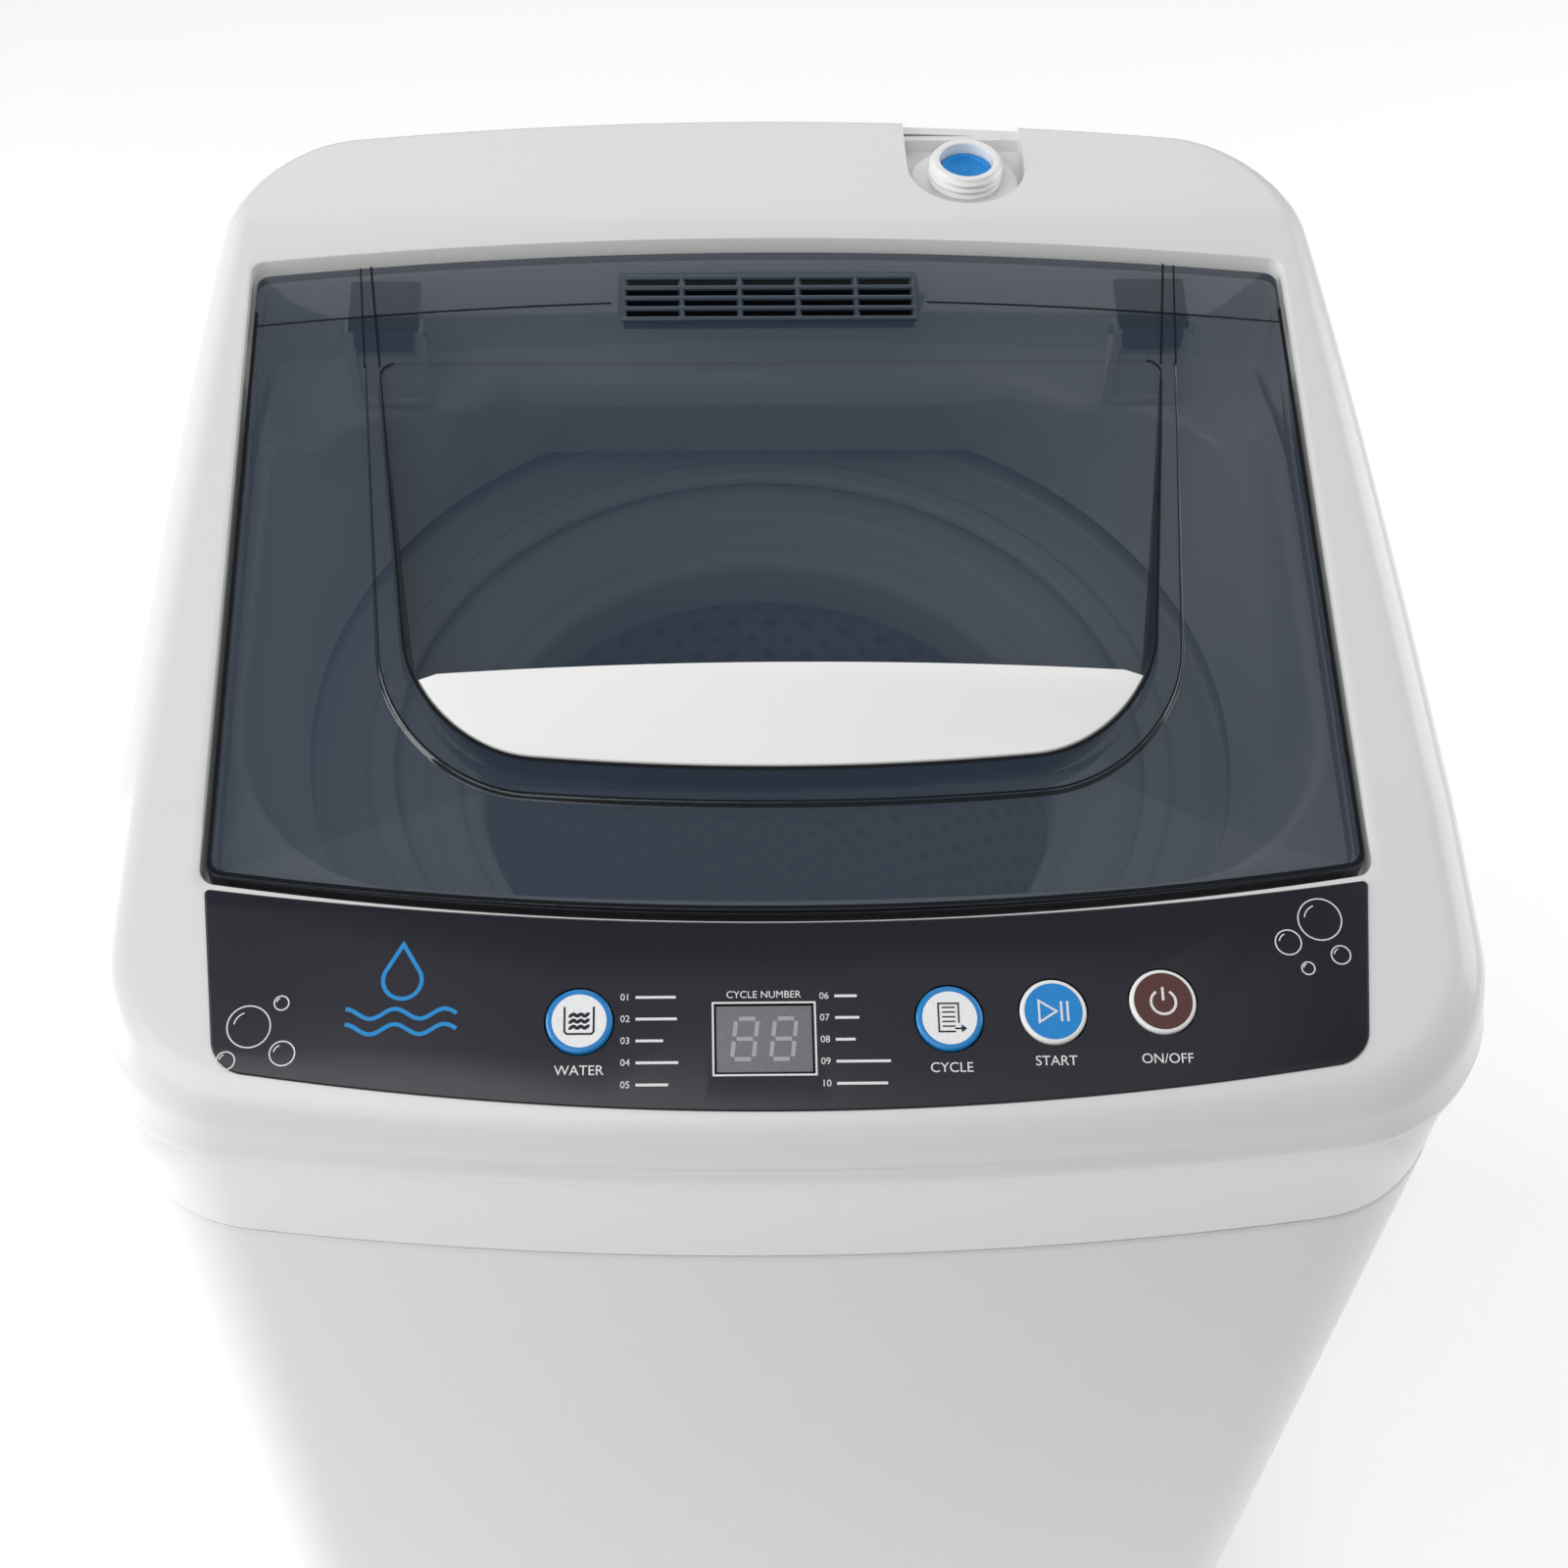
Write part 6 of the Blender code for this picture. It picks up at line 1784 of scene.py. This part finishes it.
# ---- cabinet and base ---------------------------------------------------------------------------
@dataclass
class Cabinet:
    """The outer body with its rear cover, base frame, feet, gland and drain outlet."""

    inset: float = 2.0 * MM
    wall: float = 2.5 * MM
    top_z: float = 564.3 * MM
    base: tuple[float, float, float] = (20 * MM, 58 * MM, 3 * MM)  # low, high and wall
    opening: tuple[float, float, float] = (110 * MM, 100 * MM, 490 * MM)  # half width, low and high
    rear: tuple[float, float, float] = (120 * MM, 90 * MM, 500 * MM)
    rear_t: float = 1.2 * MM
    outlet: tuple[float, float] = (148 * MM, 110 * MM)

    def back_y(self, x: float) -> float:
        """How far back the cabinet's wall reaches at x."""
        body = LAYOUT.body
        return body.back - self.inset + body.back_bow * (1 - (x / (body.half - self.inset)) ** 2)

    def along_y(self, x: float, y: float, z: float) -> Matrix:
        """A placement whose local Z points out of the back."""
        return Matrix.Translation((x, y, z)) @ Matrix.Rotation(-math.pi / 2, 4, "X")

    def build(self) -> None:
        """Builds the body and everything fixed to it below the seam."""
        plan, low, high = LAYOUT.body.points, self.base[1] + 0.4 * MM, self.top_z
        outside = [(self.inset + 0.5 * MM, low), (self.inset, low + 0.6 * MM), (self.inset, high - 1.6 * MM),
                   (self.inset + 0.4 * MM, high - 0.5 * MM), (self.inset + 1.0 * MM, high)]
        inside = [(self.inset + self.wall, high), (self.inset + self.wall, low)]
        shell = stack("cabinet_shell", [level(plan(i), z) for i, z in outside + inside], Ends.RING)
        half, bottom, top = self.opening
        x, z = self.outlet
        tools = [block("opening", (2 * half, 100 * MM, top - bottom),
                       (0, LAYOUT.body.back, (top + bottom) / 2), 0)]
        for side, radius in ((-1, 7.5 * MM), (1, 15.5 * MM)):
            tools.append(turned("hole", [(0, -0.02), (radius, -0.02), (radius, 0.02), (0, 0.02)], radius=0,
                                along=self.along_y(side * x, self.back_y(x), z)))
        settle(carve(shell, tools), Finish.WHITE_SHELL, Body.SHELL, ["cabinet"])
        self.build_rear()
        self.build_bushes()
        self.build_base()

    def build_rear(self) -> None:
        """Builds the service cover with its pressed louvres, and its two screws."""
        half, low, high = self.rear
        columns = [-half + 2 * half * i / 60 for i in range(61)]
        near = [(x, self.back_y(x) + 0.4 * MM) for x in columns]
        far = [(x, y + self.rear_t) for x, y in near]
        plan = near + far[::-1]
        pieces = [stack("rear", [level(plan, low), level(plan, high)])]
        for row in range(9):
            z = high - 60 * MM - row * 9 * MM
            band = [(x, self.back_y(x) + 1.4 * MM, z) for x in columns[14:47]]
            loops = [[(x * 0.98 if k in (1, 2) else x, y + out, z + up) for x, y, z in band]
                     for k, (out,
                             up) in enumerate(((0, -2.6 * MM), (1.0 * MM, -2.2 * MM), (1.0 * MM, 0),
                                               (0, 2.4 * MM)))]
            pieces.append(stack("louvre", [list(points) for points in zip(*loops)]))
        settle(joined("rear_service_cover", pieces), Finish.WHITE_PART, Body.SHELL, ["rear_cover"])
        for side, name in ((-1, "rear_screw_left"), (1, "rear_screw_right")):
            x = side * (half - 5 * MM)
            head = [(0, 3.5 * MM), (2.2 * MM, 3.3 * MM), (3.4 * MM, 2.5 * MM), (4.2 * MM, 1.6 * MM),
                    (4.2 * MM, 0.8 * MM), (1.8 * MM, 0.8 * MM), (1.8 * MM, -6 * MM), (0, -6 * MM)]
            place = self.along_y(x, self.back_y(x) + self.rear_t + 0.8 * MM, (low + high) / 2)
            screw = turned(f"{name}_head", head, radius=0.3 * MM, sides=32, along=place)
            slots = [block("slot", size, (0, 0, 3.4 * MM), 0.0) for size in
                     ((4.4 * MM, 0.8 * MM, 1.8 * MM), (0.8 * MM, 4.4 * MM, 1.8 * MM))]
            for slot in slots:
                slot.data.transform(place)
            settle(carve(screw, slots), Finish.STEEL, Body.SHELL, [name])

    def build_bushes(self) -> None:
        """Builds the cord gland and the drain hose's spigot."""
        x, z = self.outlet
        for name, side, radius, bore, finish in (
                ("cord_gland", -1, 7.5 * MM, 4.5 * MM, Finish.BLACK_PART),
                ("drain_outlet", 1, 15.5 * MM, 12.0 * MM, Finish.GREY_PART)):
            flange, neck = radius + 4 * MM, radius - 0.4 * MM
            profile = [(bore, 6 * MM), (neck, 6 * MM), (flange, 4 * MM), (flange, 2 * MM), (neck, 2 * MM),
                       (neck, -20 * MM), (bore, -20 * MM)]
            settle(turned(f"{name}_bush", profile, along=self.along_y(side * x, self.back_y(x), z), sides=64),
                   finish, Body.SHELL, [name])

    def build_base(self) -> None:
        """Builds the base frame, its three plain feet and the one on a threaded stud."""
        low, high, wall = self.base
        plan, flange = LAYOUT.body.points, Outline(161.5 * MM, -130 * MM, 131.5 * MM, 20 * MM,
                                                   20 * MM).points()
        loops = [level(plan(self.inset + 0.5 * MM), high), level(plan(self.inset), high - 0.5 * MM),
                 level(plan(self.inset), low + 1.5 * MM), level(plan(self.inset + 0.4 * MM), low + 0.4 * MM),
                 level(plan(self.inset + 1.5 * MM), low), level(flange, low), level(flange, low + wall),
                 level(plan(self.inset + wall), low + wall), level(plan(self.inset + wall), high)]
        x, y = 158 * MM, 140 * MM
        base = stack("base", loops, Ends.RING)
        bore = turned("bore", [(0, 0), (4.5 * MM, 0), (4.5 * MM, 50 * MM), (0, 50 * MM)], (x, -y), 0)
        settle(carve(base, [bore]), Finish.GREY_PART, Body.SHELL, ["base_frame"])
        top, r = low - 0.4 * MM, 18 * MM
        pad = [(r, top), (r - 0.4 * MM, 7 * MM), (r - 1.4 * MM, 6.2 * MM), (r - 0.6 * MM, 5.2 * MM),
               (r - 1 * MM, 1 * MM), (r - 2 * MM, 0), (0, 0)]
        for name, at in (("foot_front_left", (-x, -y)), ("foot_rear_left", (-x, y)),
                         ("foot_rear_right", (x, y))):
            settle(turned(f"{name}_pad", [(0, top)] + pad, at), Finish.RUBBER, Body.SHELL, [name])
        stud: Plan = [(0, high)]
        turns = 18
        for turn in range(turns):
            z = high - (high - top) * turn / turns
            stud += [(3.3 * MM, z), (4 * MM, z - 0.9 * MM), (4 * MM, z - 1.1 * MM)]
        settle(turned("threaded_foot", stud + pad, (x, -y), 0.15 * MM), Finish.RUBBER, Body.FOOT,
               ["levelling_foot"])


# ---- tub ----------------------------------------------------------------------------------------
@dataclass
class Tub:
    """The outer tub with its lugs, ring and seal, and the suspension that it hangs in."""

    radius: float = 173 * MM
    wall: float = 3 * MM
    low: float = 175 * MM
    high: float = 560 * MM
    ring: tuple[float, float, float] = (177 * MM, 132 * MM, 576 * MM)  # radius, mouth and top
    rod: tuple[float, float] = (160 * MM, 143 * MM)
    cup_z: float = 140 * MM
    lug_z: float = 205 * MM
    frame_z: float = 545 * MM
    spring: tuple[float, float] = (10.5 * MM, 1.3 * MM)  # radius and wire

    def build(self) -> None:
        """Builds the tub and all that is fixed to it."""
        inner, hub = self.radius - self.wall, 18 * MM
        profile = [(inner, self.high), (self.radius, self.high), (self.radius, self.low), (hub, self.low),
                   (hub, self.low + self.wall), (inner, self.low + self.wall)]
        tub, start = turned("tub_wall", profile, sides=128, radius=2 * MM), inner + 1.2 * MM
        reach, across = math.hypot(*self.rod) + 16 * MM, 28 * MM
        for sx, sy in ((-1, -1), (1, -1), (1, 1), (-1, 1)):
            lug = block("lug", (reach - start, across, 10 * MM),
                        ((start + reach) / 2, 0, self.lug_z + 5 * MM), 1 * MM)
            lug.data.transform(Matrix.Rotation(math.atan2(sy * self.rod[1], sx * self.rod[0]), 4, "Z"))
            carve(tub, [lug], "UNION")
            hole = turned("hole", [(0, 0.19), (7 * MM, 0.19), (7 * MM, 0.23), (0, 0.23)],
                          (sx * self.rod[0], sy * self.rod[1]), 0, 32)
            carve(tub, [hole])
        settle(tub, Finish.WHITE_PART, Body.TUB, ["outer_tub"])
        (outer, mouth, top), low = self.ring, self.high + 0.4 * MM
        ring = [(mouth, top), (mouth + 1.5 * MM, top + 1.2 * MM), (mouth + 8 * MM, top + 1.4 * MM),
                (mouth + 10 * MM, top), (mouth + 26 * MM, top), (mouth + 28 * MM, top + 1 * MM),
                (outer - 8 * MM, top),
                (outer, low + 6 * MM), (outer, low - 12 * MM), (self.radius + 0.4 * MM, low - 12 * MM),
                (self.radius + 0.4 * MM, low), (self.radius - 4 * MM, low),
                (self.radius - 8 * MM, top - 3 * MM),
                (mouth, top - 3 * MM)]
        settle(turned("tub_rim", ring, sides=128, radius=0.9 * MM), Finish.WHITE_PART, Body.TUB,
               ["tub_ring"])
        seal = [(14.4 * MM, self.low + 8 * MM), (15.4 * MM, self.low + 7.2 * MM),
                (16.6 * MM, self.low + 8 * MM),
                (17.6 * MM, self.low + 5 * MM), (17.6 * MM, self.low), (14.4 * MM, self.low)]
        settle(turned("shaft_seal", seal), Finish.RUBBER, Body.TUB, ["tub_seal"])
        settle(refined("drain_valve", 1 * MM), Finish.WHITE_PART, Body.TUB, ["drain_valve"])
        self.build_suspension()

    def build_suspension(self) -> None:
        """Builds the top frame, the four rods and the springs that the tub's lugs rest on."""
        settle(refined("suspension_frame"), Finish.STEEL, Body.SHELL, ["suspension_frame"])
        head, cup, rod_r = self.frame_z + 4.4 * MM, sum(self.spring) + 2 * MM, 3 * MM
        radius, wire = self.spring
        low, high = self.cup_z + 4.4 * MM + wire, self.lug_z - 0.4 * MM - wire
        tree = coil_tree(Finish.STEEL)
        for front, sy in (("front", -1), ("rear", 1)):
            for side, sx in (("left", -1), ("right", 1)):
                at, name = (sx * self.rod[0], sy * self.rod[1]), f"{front}_{side}"
                profile = [(0, head + 10 * MM), (5 * MM, head + 8 * MM), (8 * MM, head + 3 * MM),
                           (8 * MM, head),
                           (rod_r, head), (rod_r, self.cup_z + 4 * MM), (cup, self.cup_z + 4 * MM),
                           (cup, self.cup_z), (0, self.cup_z - 4 * MM)]
                settle(turned(f"rod_{name}", profile, at, sides=40), Finish.STEEL, Body.SHELL,
                       [f"suspension_rod_{name}"])
                coil = grown(mesh_object(f"spring_{name}", [], []), tree, {
                    "Turns": 5.0, "Radius": radius, "Wire": wire, "Length": high - low, "Foot": (*at, low)})
                settle(coil, Finish.STEEL, Body.SHELL, [f"suspension_spring_{name}"])
                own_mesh(coil)


# ---- basket -------------------------------------------------------------------------------------
@dataclass
class Basket:
    """The pierced spin basket with its balance ring, hub and lint trap."""

    radius: float = 153 * MM
    wall: float = 2 * MM
    low: float = 215 * MM
    high: float = 540 * MM
    columns: int = 60
    rows: int = 16
    hole: float = 3.2 * MM
    mouth: float = 102.5 * MM
    ring_top: float = 569 * MM
    shaft: tuple[float, float] = (8.6 * MM, 14 * MM)  # bore and outside of the spin shaft

    def cell(self, width: float, height: float) -> bpy.types.Object:
        """One flat cell of the wall with a hole punched through it.

        Args:
            width: Width of the cell.
            height: Its height.

        Returns:
            The cell.
        """
        steps, deep = 16, self.wall / 2
        corners = []
        for i in range(steps):
            angle = 2 * math.pi * (i + 0.5) / steps
            x, y = math.cos(angle), math.sin(angle)
            scale = 1 / max(abs(x), abs(y))
            corners.append((x * scale * width / 2, y * scale * height / 2))
        rim = [(self.hole * math.cos(2 * math.pi * (i + 0.5) / steps),
                   self.hole * math.sin(2 * math.pi * (i + 0.5) / steps)) for i in range(steps)]
        dished = [(x * 1.25, y * 1.25) for x, y in rim]
        loops = [level(corners, deep), level(dished, deep), level(rim, deep * 0.4), level(rim, -deep),
                 level(corners, -deep)]
        return stack("cell", loops, Ends.OPEN)

    def build(self) -> None:
        """Builds the basket and what turns with it."""
        middle_r, foot = self.radius - self.wall / 2, self.low + 13 * MM
        width, height = 2 * math.pi * middle_r / self.columns, (self.high - foot - 1 * MM) / self.rows
        drum = self.cell(width, height)
        grown(drum, self.drum_tree(), {
            "Columns": self.columns, "Rows": self.rows, "Spread X": width * (self.columns - 1),
            "Spread Y": height * (self.rows - 1), "Radius": middle_r,
            "Middle Z": foot + (self.high - foot - 1 * MM) / 2})
        drum.name = "basket_wall"
        inner, (bore, shaft) = self.radius - self.wall, self.shaft
        floor = [(inner, foot), (self.radius, foot), (self.radius, self.low + 12 * MM),
                 (self.radius - 12 * MM, self.low),
                 (bore, self.low), (bore, self.low + self.wall), (inner - 11 * MM, self.low + self.wall)]
        hem = [(inner, self.high - 1.2 * MM), (self.radius, self.high - 1.2 * MM), (self.radius, self.high),
               (inner, self.high)]
        pieces = [drum, turned("floor", floor, sides=120, radius=2 * MM), turned("hem", hem, sides=120)]
        settle(joined("spin_basket_wall", pieces), Finish.WHITE_PART, Body.BASKET, ["basket"])
        low, top = self.high + 0.4 * MM, self.ring_top
        ring = [(self.mouth, top - 14 * MM), (self.mouth + 1.5 * MM, top - 11 * MM),
                (self.mouth + 6 * MM, top - 9 * MM),
                (self.mouth + 8 * MM, top - 5.5 * MM), (self.mouth + 11 * MM, top - 4 * MM),
                (self.mouth + 18 * MM, top - 2.6 * MM), (self.mouth + 19.5 * MM, top - 0.6 * MM),
                (self.radius - 22 * MM, top), (self.radius - 12 * MM, top - 0.4 * MM),
                (self.radius - 10.5 * MM, top - 2.4 * MM), (self.radius - 3 * MM, top - 4 * MM),
                (self.radius, low + 12 * MM), (self.radius, low), (inner - 2 * MM, low),
                (inner - 4 * MM, low - 12 * MM),
                (self.mouth, low - 4 * MM)]
        settle(turned("balance_rim", ring, sides=128, radius=1.2 * MM), Finish.WHITE_PART, Body.BASKET,
               ["balance_ring"])
        base = self.low - 0.4 * MM
        hub = [(bore, base), (75 * MM, base), (75 * MM, base - 6 * MM), (30 * MM, base - 17.6 * MM),
               (shaft, base - 17.6 * MM), (shaft, 95 * MM), (bore, 95 * MM)]
        settle(turned("spin_hub", hub), Finish.CAST, Body.BASKET, ["basket_hub"])
        trap = refined("lint_filter", 0.6 * MM)
        settle(trap, Finish.STRAINER, Body.BASKET, ["lint_filter"])

    @staticmethod
    def drum_tree() -> bpy.types.NodeTree:
        """The tree that wraps the cells into the wall."""
        return wrapped_cell_tree(Finish.WHITE_PART)


# ---- agitator -----------------------------------------------------------------------------------
@dataclass
class Agitator:
    """The pulsator in the basket's floor, with the wash shaft and the pulley that drive it."""

    radius: float = 125 * MM
    low: float = 221 * MM
    fins: int = 3
    shaft_r: float = 8 * MM

    def build(self) -> None:
        """Builds the pulsator with its fins and studs, its screw, the shaft and the pulley."""
        low, top, bore, r = self.low, self.low + 24 * MM, self.shaft_r + 0.4 * MM, self.radius
        profile = [(bore, top), (20 * MM, top), (30 * MM, low + 12 * MM), (r - 25 * MM, low + 7 * MM),
                   (r - 6 * MM, low + 8.6 * MM), (r, low + 10 * MM), (r, low + 6 * MM), (r - 25 * MM, low),
                   (bore, low)]
        disc = turned("pulsator_disc", profile, sides=128, radius=2.5 * MM)
        for i in range(self.fins):
            fin = block("fin", (90 * MM, 12 * MM, 22 * MM), (68 * MM, 0, low + 12.5 * MM), 3.5 * MM)
            fin.data.transform(Matrix.Rotation(2 * math.pi * i / self.fins + math.pi / 2, 4, "Z"))
            carve(disc, [fin], "UNION")
        for count, ring, height in ((12, 50 * MM, 10.2 * MM), (24, 104 * MM, 7.4 * MM)):
            grown(disc, stud_ring_tree(Finish.WHITE_PART), {"Count": count, "Ring Radius": ring,
                                                            "Height": low + height,
                                                            "Dome": (3 * MM, 3 * MM, 1.6 * MM)})
        settle(disc, Finish.WHITE_PART, Body.AGITATOR, ["pulsator"])
        cap = [(0, top + 7 * MM), (8 * MM, top + 6 * MM), (14 * MM, top + 2 * MM), (14 * MM, top + 0.4 * MM),
               (0, top + 0.4 * MM)]
        settle(turned("pulsator_cap", cap), Finish.STEEL, Body.AGITATOR, ["pulsator_screw"])
        shaft = [(0, 46 * MM), (self.shaft_r, 46 * MM), (self.shaft_r, top - 4 * MM), (0, top - 4 * MM)]
        settle(turned("wash_spindle", shaft), Finish.STEEL, Body.AGITATOR, ["wash_shaft"])
        settle(pulley("driven_wheel", 52 * MM, bore, 0.0), Finish.GREY_PART, Body.AGITATOR,
               ["driven_pulley"])


def pulley(name: str, groove: float, bore: float, x: float) -> bpy.types.Object:
    """Turns a flanged pulley whose groove lies at the belt's height.

    Args:
        name: The object's name.
        groove: Radius at the bottom of the groove.
        bore: Radius of the hole.
        x: Where the axis stands.

    Returns:
        The pulley.
    """
    z, half, rim = 56 * MM, 4.5 * MM, groove + 4 * MM
    profile = [(bore, z + half + 3 * MM), (rim, z + half + 3 * MM), (rim, z + half), (groove, z + half),
               (groove, z - half), (rim, z - half), (rim, z - half - 3 * MM), (bore, z - half - 3 * MM)]
    return turned(name, profile, (x, 0.0))


# ---- drive --------------------------------------------------------------------------------------
@dataclass
class Drive:
    """What hangs under the tub: plate, bearing housing, motor, its shaft and pulley, and the belt."""

    motor_x: float = 105 * MM
    motor_r: float = 50 * MM
    grooves: tuple[float, float] = (52 * MM, 13 * MM)
    top: float = 171.2 * MM
    housing: tuple[float, float] = (36 * MM, 85 * MM)  # radius and lowest point

    def belt_plan(self, out: float) -> Plan:
        """The belt's path round both pulleys, moved out from their grooves.

        Args:
            out: How far the path lies out from the grooves.

        Returns:
            The path.
        """
        big, small = self.grooves[0] + out, self.grooves[1] + out
        lean = math.acos((big - small) / self.motor_x)
        far = [lean + (2 * math.pi - 2 * lean) * i / 96 for i in range(97)]
        near = [-lean + 2 * lean * i / 32 for i in range(33)]
        return ([(big * math.cos(a), big * math.sin(a)) for a in far]
                + [(self.motor_x + small * math.cos(a), small * math.sin(a)) for a in near])

    def build(self) -> None:
        """Builds the drive."""
        top, (r, low) = self.top, self.housing
        settle(refined("drive_plate"), Finish.STEEL, Body.TUB, ["drive_plate"])
        housing = [(14.4 * MM, top), (r + 10 * MM, top), (r + 10 * MM, top - 4 * MM), (r, top - 6 * MM),
                   (r, low + 6 * MM), (22 * MM, low), (8.6 * MM, low), (8.6 * MM, low + 6 * MM),
                   (14.4 * MM, low + 6 * MM)]
        settle(turned("cast_housing", housing, radius=1.5 * MM), Finish.CAST, Body.TUB,
               ["bearing_housing"])
        base, at = low - 5 * MM, (self.motor_x, 0.0)
        can: Plan = [(0, top), (30 * MM, top), (30 * MM, top - 8 * MM), (self.motor_r, top - 12 * MM)]
        for i in range(7):
            z = top - 24 * MM - i * 7 * MM
            can += [(self.motor_r, z), (self.motor_r - 1.2 * MM, z - 1 * MM),
                    (self.motor_r - 1.2 * MM, z - 2.4 * MM),
                    (self.motor_r, z - 3.4 * MM)]
        can += [(self.motor_r, base + 10 * MM), (30 * MM, base), (5.4 * MM, base), (5.4 * MM, base + 50 * MM),
                (0, base + 50 * MM)]
        settle(turned("motor_can", can, at, 0.8 * MM), Finish.GREY_PART, Body.TUB, ["drive_motor"])
        spindle = [(0, 46 * MM), (5 * MM, 46 * MM), (5 * MM, base + 48 * MM), (0, base + 48 * MM)]
        settle(turned("motor_spindle", spindle, at), Finish.STEEL, Body.ROTOR, ["motor_shaft"])
        settle(pulley("motor_wheel", self.grooves[1], 5.4 * MM, self.motor_x), Finish.CAST, Body.ROTOR,
               ["motor_pulley"])
        loops = [level(self.belt_plan(out * MM), 56 * MM + up * MM) for out, up in
                 ((3.4, 3.2), (3.4, -3.2), (2.8, -4), (0.4, -4), (0.4, 4), (2.8, 4))]
        settle(stack("belt", loops, Ends.RING), Finish.RUBBER, Body.TUB, ["drive_belt"])


# ---- small parts --------------------------------------------------------------------------------
@dataclass
class SmallParts:
    """The board in its tray, the level sensor and the lid switch, all under the cover."""

    edge: float = 0.5 * MM
    board_edge: float = 0.3 * MM
    parts: tuple[tuple[str, Finish], ...] = (
        ("control_board", Finish.BOARD), ("board_tray", Finish.WHITE_PART),
        ("level_sensor", Finish.BLACK_PART), ("lid_switch", Finish.BLACK_PART))

    def build(self) -> None:
        """Builds each part round the frame's own shape."""
        for node, finish in self.parts:
            edge = self.board_edge if node == "control_board" else self.edge
            settle(refined(node, edge), finish, Body.SHELL, [node])


# ---- studio -------------------------------------------------------------------------------------
@dataclass
class Studio:
    """A pale floor, soft lights and the camera."""

    position: tuple[float, float, float] = (-0.032, -0.519, 1.205)
    yaw: float = math.radians(1.31)
    pitch: float = math.radians(51.54)
    roll: float = math.radians(0.63)
    lens: float = 52.99
    shift: float = 0.046

    def build(self) -> None:
        """Sets the stage."""
        floor = mesh_object("studio_floor", [(-6, -6, 0), (6, -6, 0), (6, 6, 0), (-6, 6, 0)], [(0, 1, 2, 3)])
        floor.data.materials.append(self.floor_paint())
        target = (0.0, 0.0, 0.6)
        self.light("front", 11.5, 1.4, (-0.7, -1.05, 2.15), target)
        self.light("top", 3.2, 1.6, (0.1, -0.6, 2.4), target)
        self.light("back", 7.5, 1.6, (0.0, 1.95, 1.7), target)
        self.light("right", 18.0, 1.5, (1.8, 0.6, 1.2), target)
        self.light("left", 27.0, 1.4, (-1.8, -0.1, 1.2), target)
        world = bpy.data.worlds.new("studio_air")
        world.use_nodes = True
        back = world.node_tree.nodes["Background"]
        back.inputs["Color"].default_value = linear("f4f6f8")
        back.inputs["Strength"].default_value = 0.24
        bpy.context.scene.world = world
        bpy.context.scene.view_settings.view_transform = "Standard"
        self.aim()

    @staticmethod
    def floor_paint() -> bpy.types.Material:
        """A plain matt white paint.

        Returns:
            The paint.
        """
        made, _, shader = new_material("matt_white_floor")
        shader.inputs["Base Color"].default_value = linear("fdfdfd")
        shader.inputs["Roughness"].default_value = 0.9
        shader.inputs["Emission Color"].default_value = linear("ffffff")
        shader.inputs["Emission Strength"].default_value = 0.22
        return made

    @staticmethod
    def light(name: str, power: float, size: float, place: Sequence[float], target: Sequence[float]) -> None:
        """Adds one soft area light that faces a target.

        Args:
            name: The light's name.
            power: Its power in watts.
            size: Width of its face.
            place: Where it is.
            target: Where it points.
        """
        lamp = bpy.data.lights.new(name, "AREA")
        lamp.energy, lamp.size = power, size
        holder = bpy.data.objects.new(name, lamp)
        holder.location = place
        holder.rotation_euler = (Vector(target) - Vector(place)).to_track_quat("-Z", "Y").to_euler()
        bpy.context.scene.collection.objects.link(holder)

    def aim(self) -> None:
        """Places the camera."""
        ahead = Vector((math.sin(self.yaw) * math.cos(self.pitch), math.cos(self.yaw) * math.cos(self.pitch),
                        -math.sin(self.pitch)))
        right = Vector((math.cos(self.yaw), -math.sin(self.yaw), 0.0))
        up = right.cross(ahead)
        right, up = (math.cos(self.roll) * right + math.sin(self.roll) * up,
                     math.cos(self.roll) * up - math.sin(self.roll) * right)
        view = bpy.data.cameras.new("view")
        view.lens, view.sensor_width, view.shift_x = self.lens, 36.0, self.shift
        view.clip_start = 0.01
        eye = bpy.data.objects.new("view", view)
        turn = Matrix((right, up, -ahead)).transposed()
        eye.matrix_world = Matrix.Translation(self.position) @ turn.to_4x4()
        bpy.context.scene.collection.objects.link(eye)
        bpy.context.scene.camera = eye


def main() -> None:
    """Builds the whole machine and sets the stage."""
    logging.basicConfig(level=logging.INFO, format="%(message)s")
    fascia = Fascia()
    TopCover().build(fascia)
    for part in (fascia, Lid(), Hinges(), Inlet(), Cabinet(), Tub(), Basket(), Agitator(), Drive(),
                 SmallParts()):
        part.build()
    Studio().build()


if __name__ == "__main__":
    main()
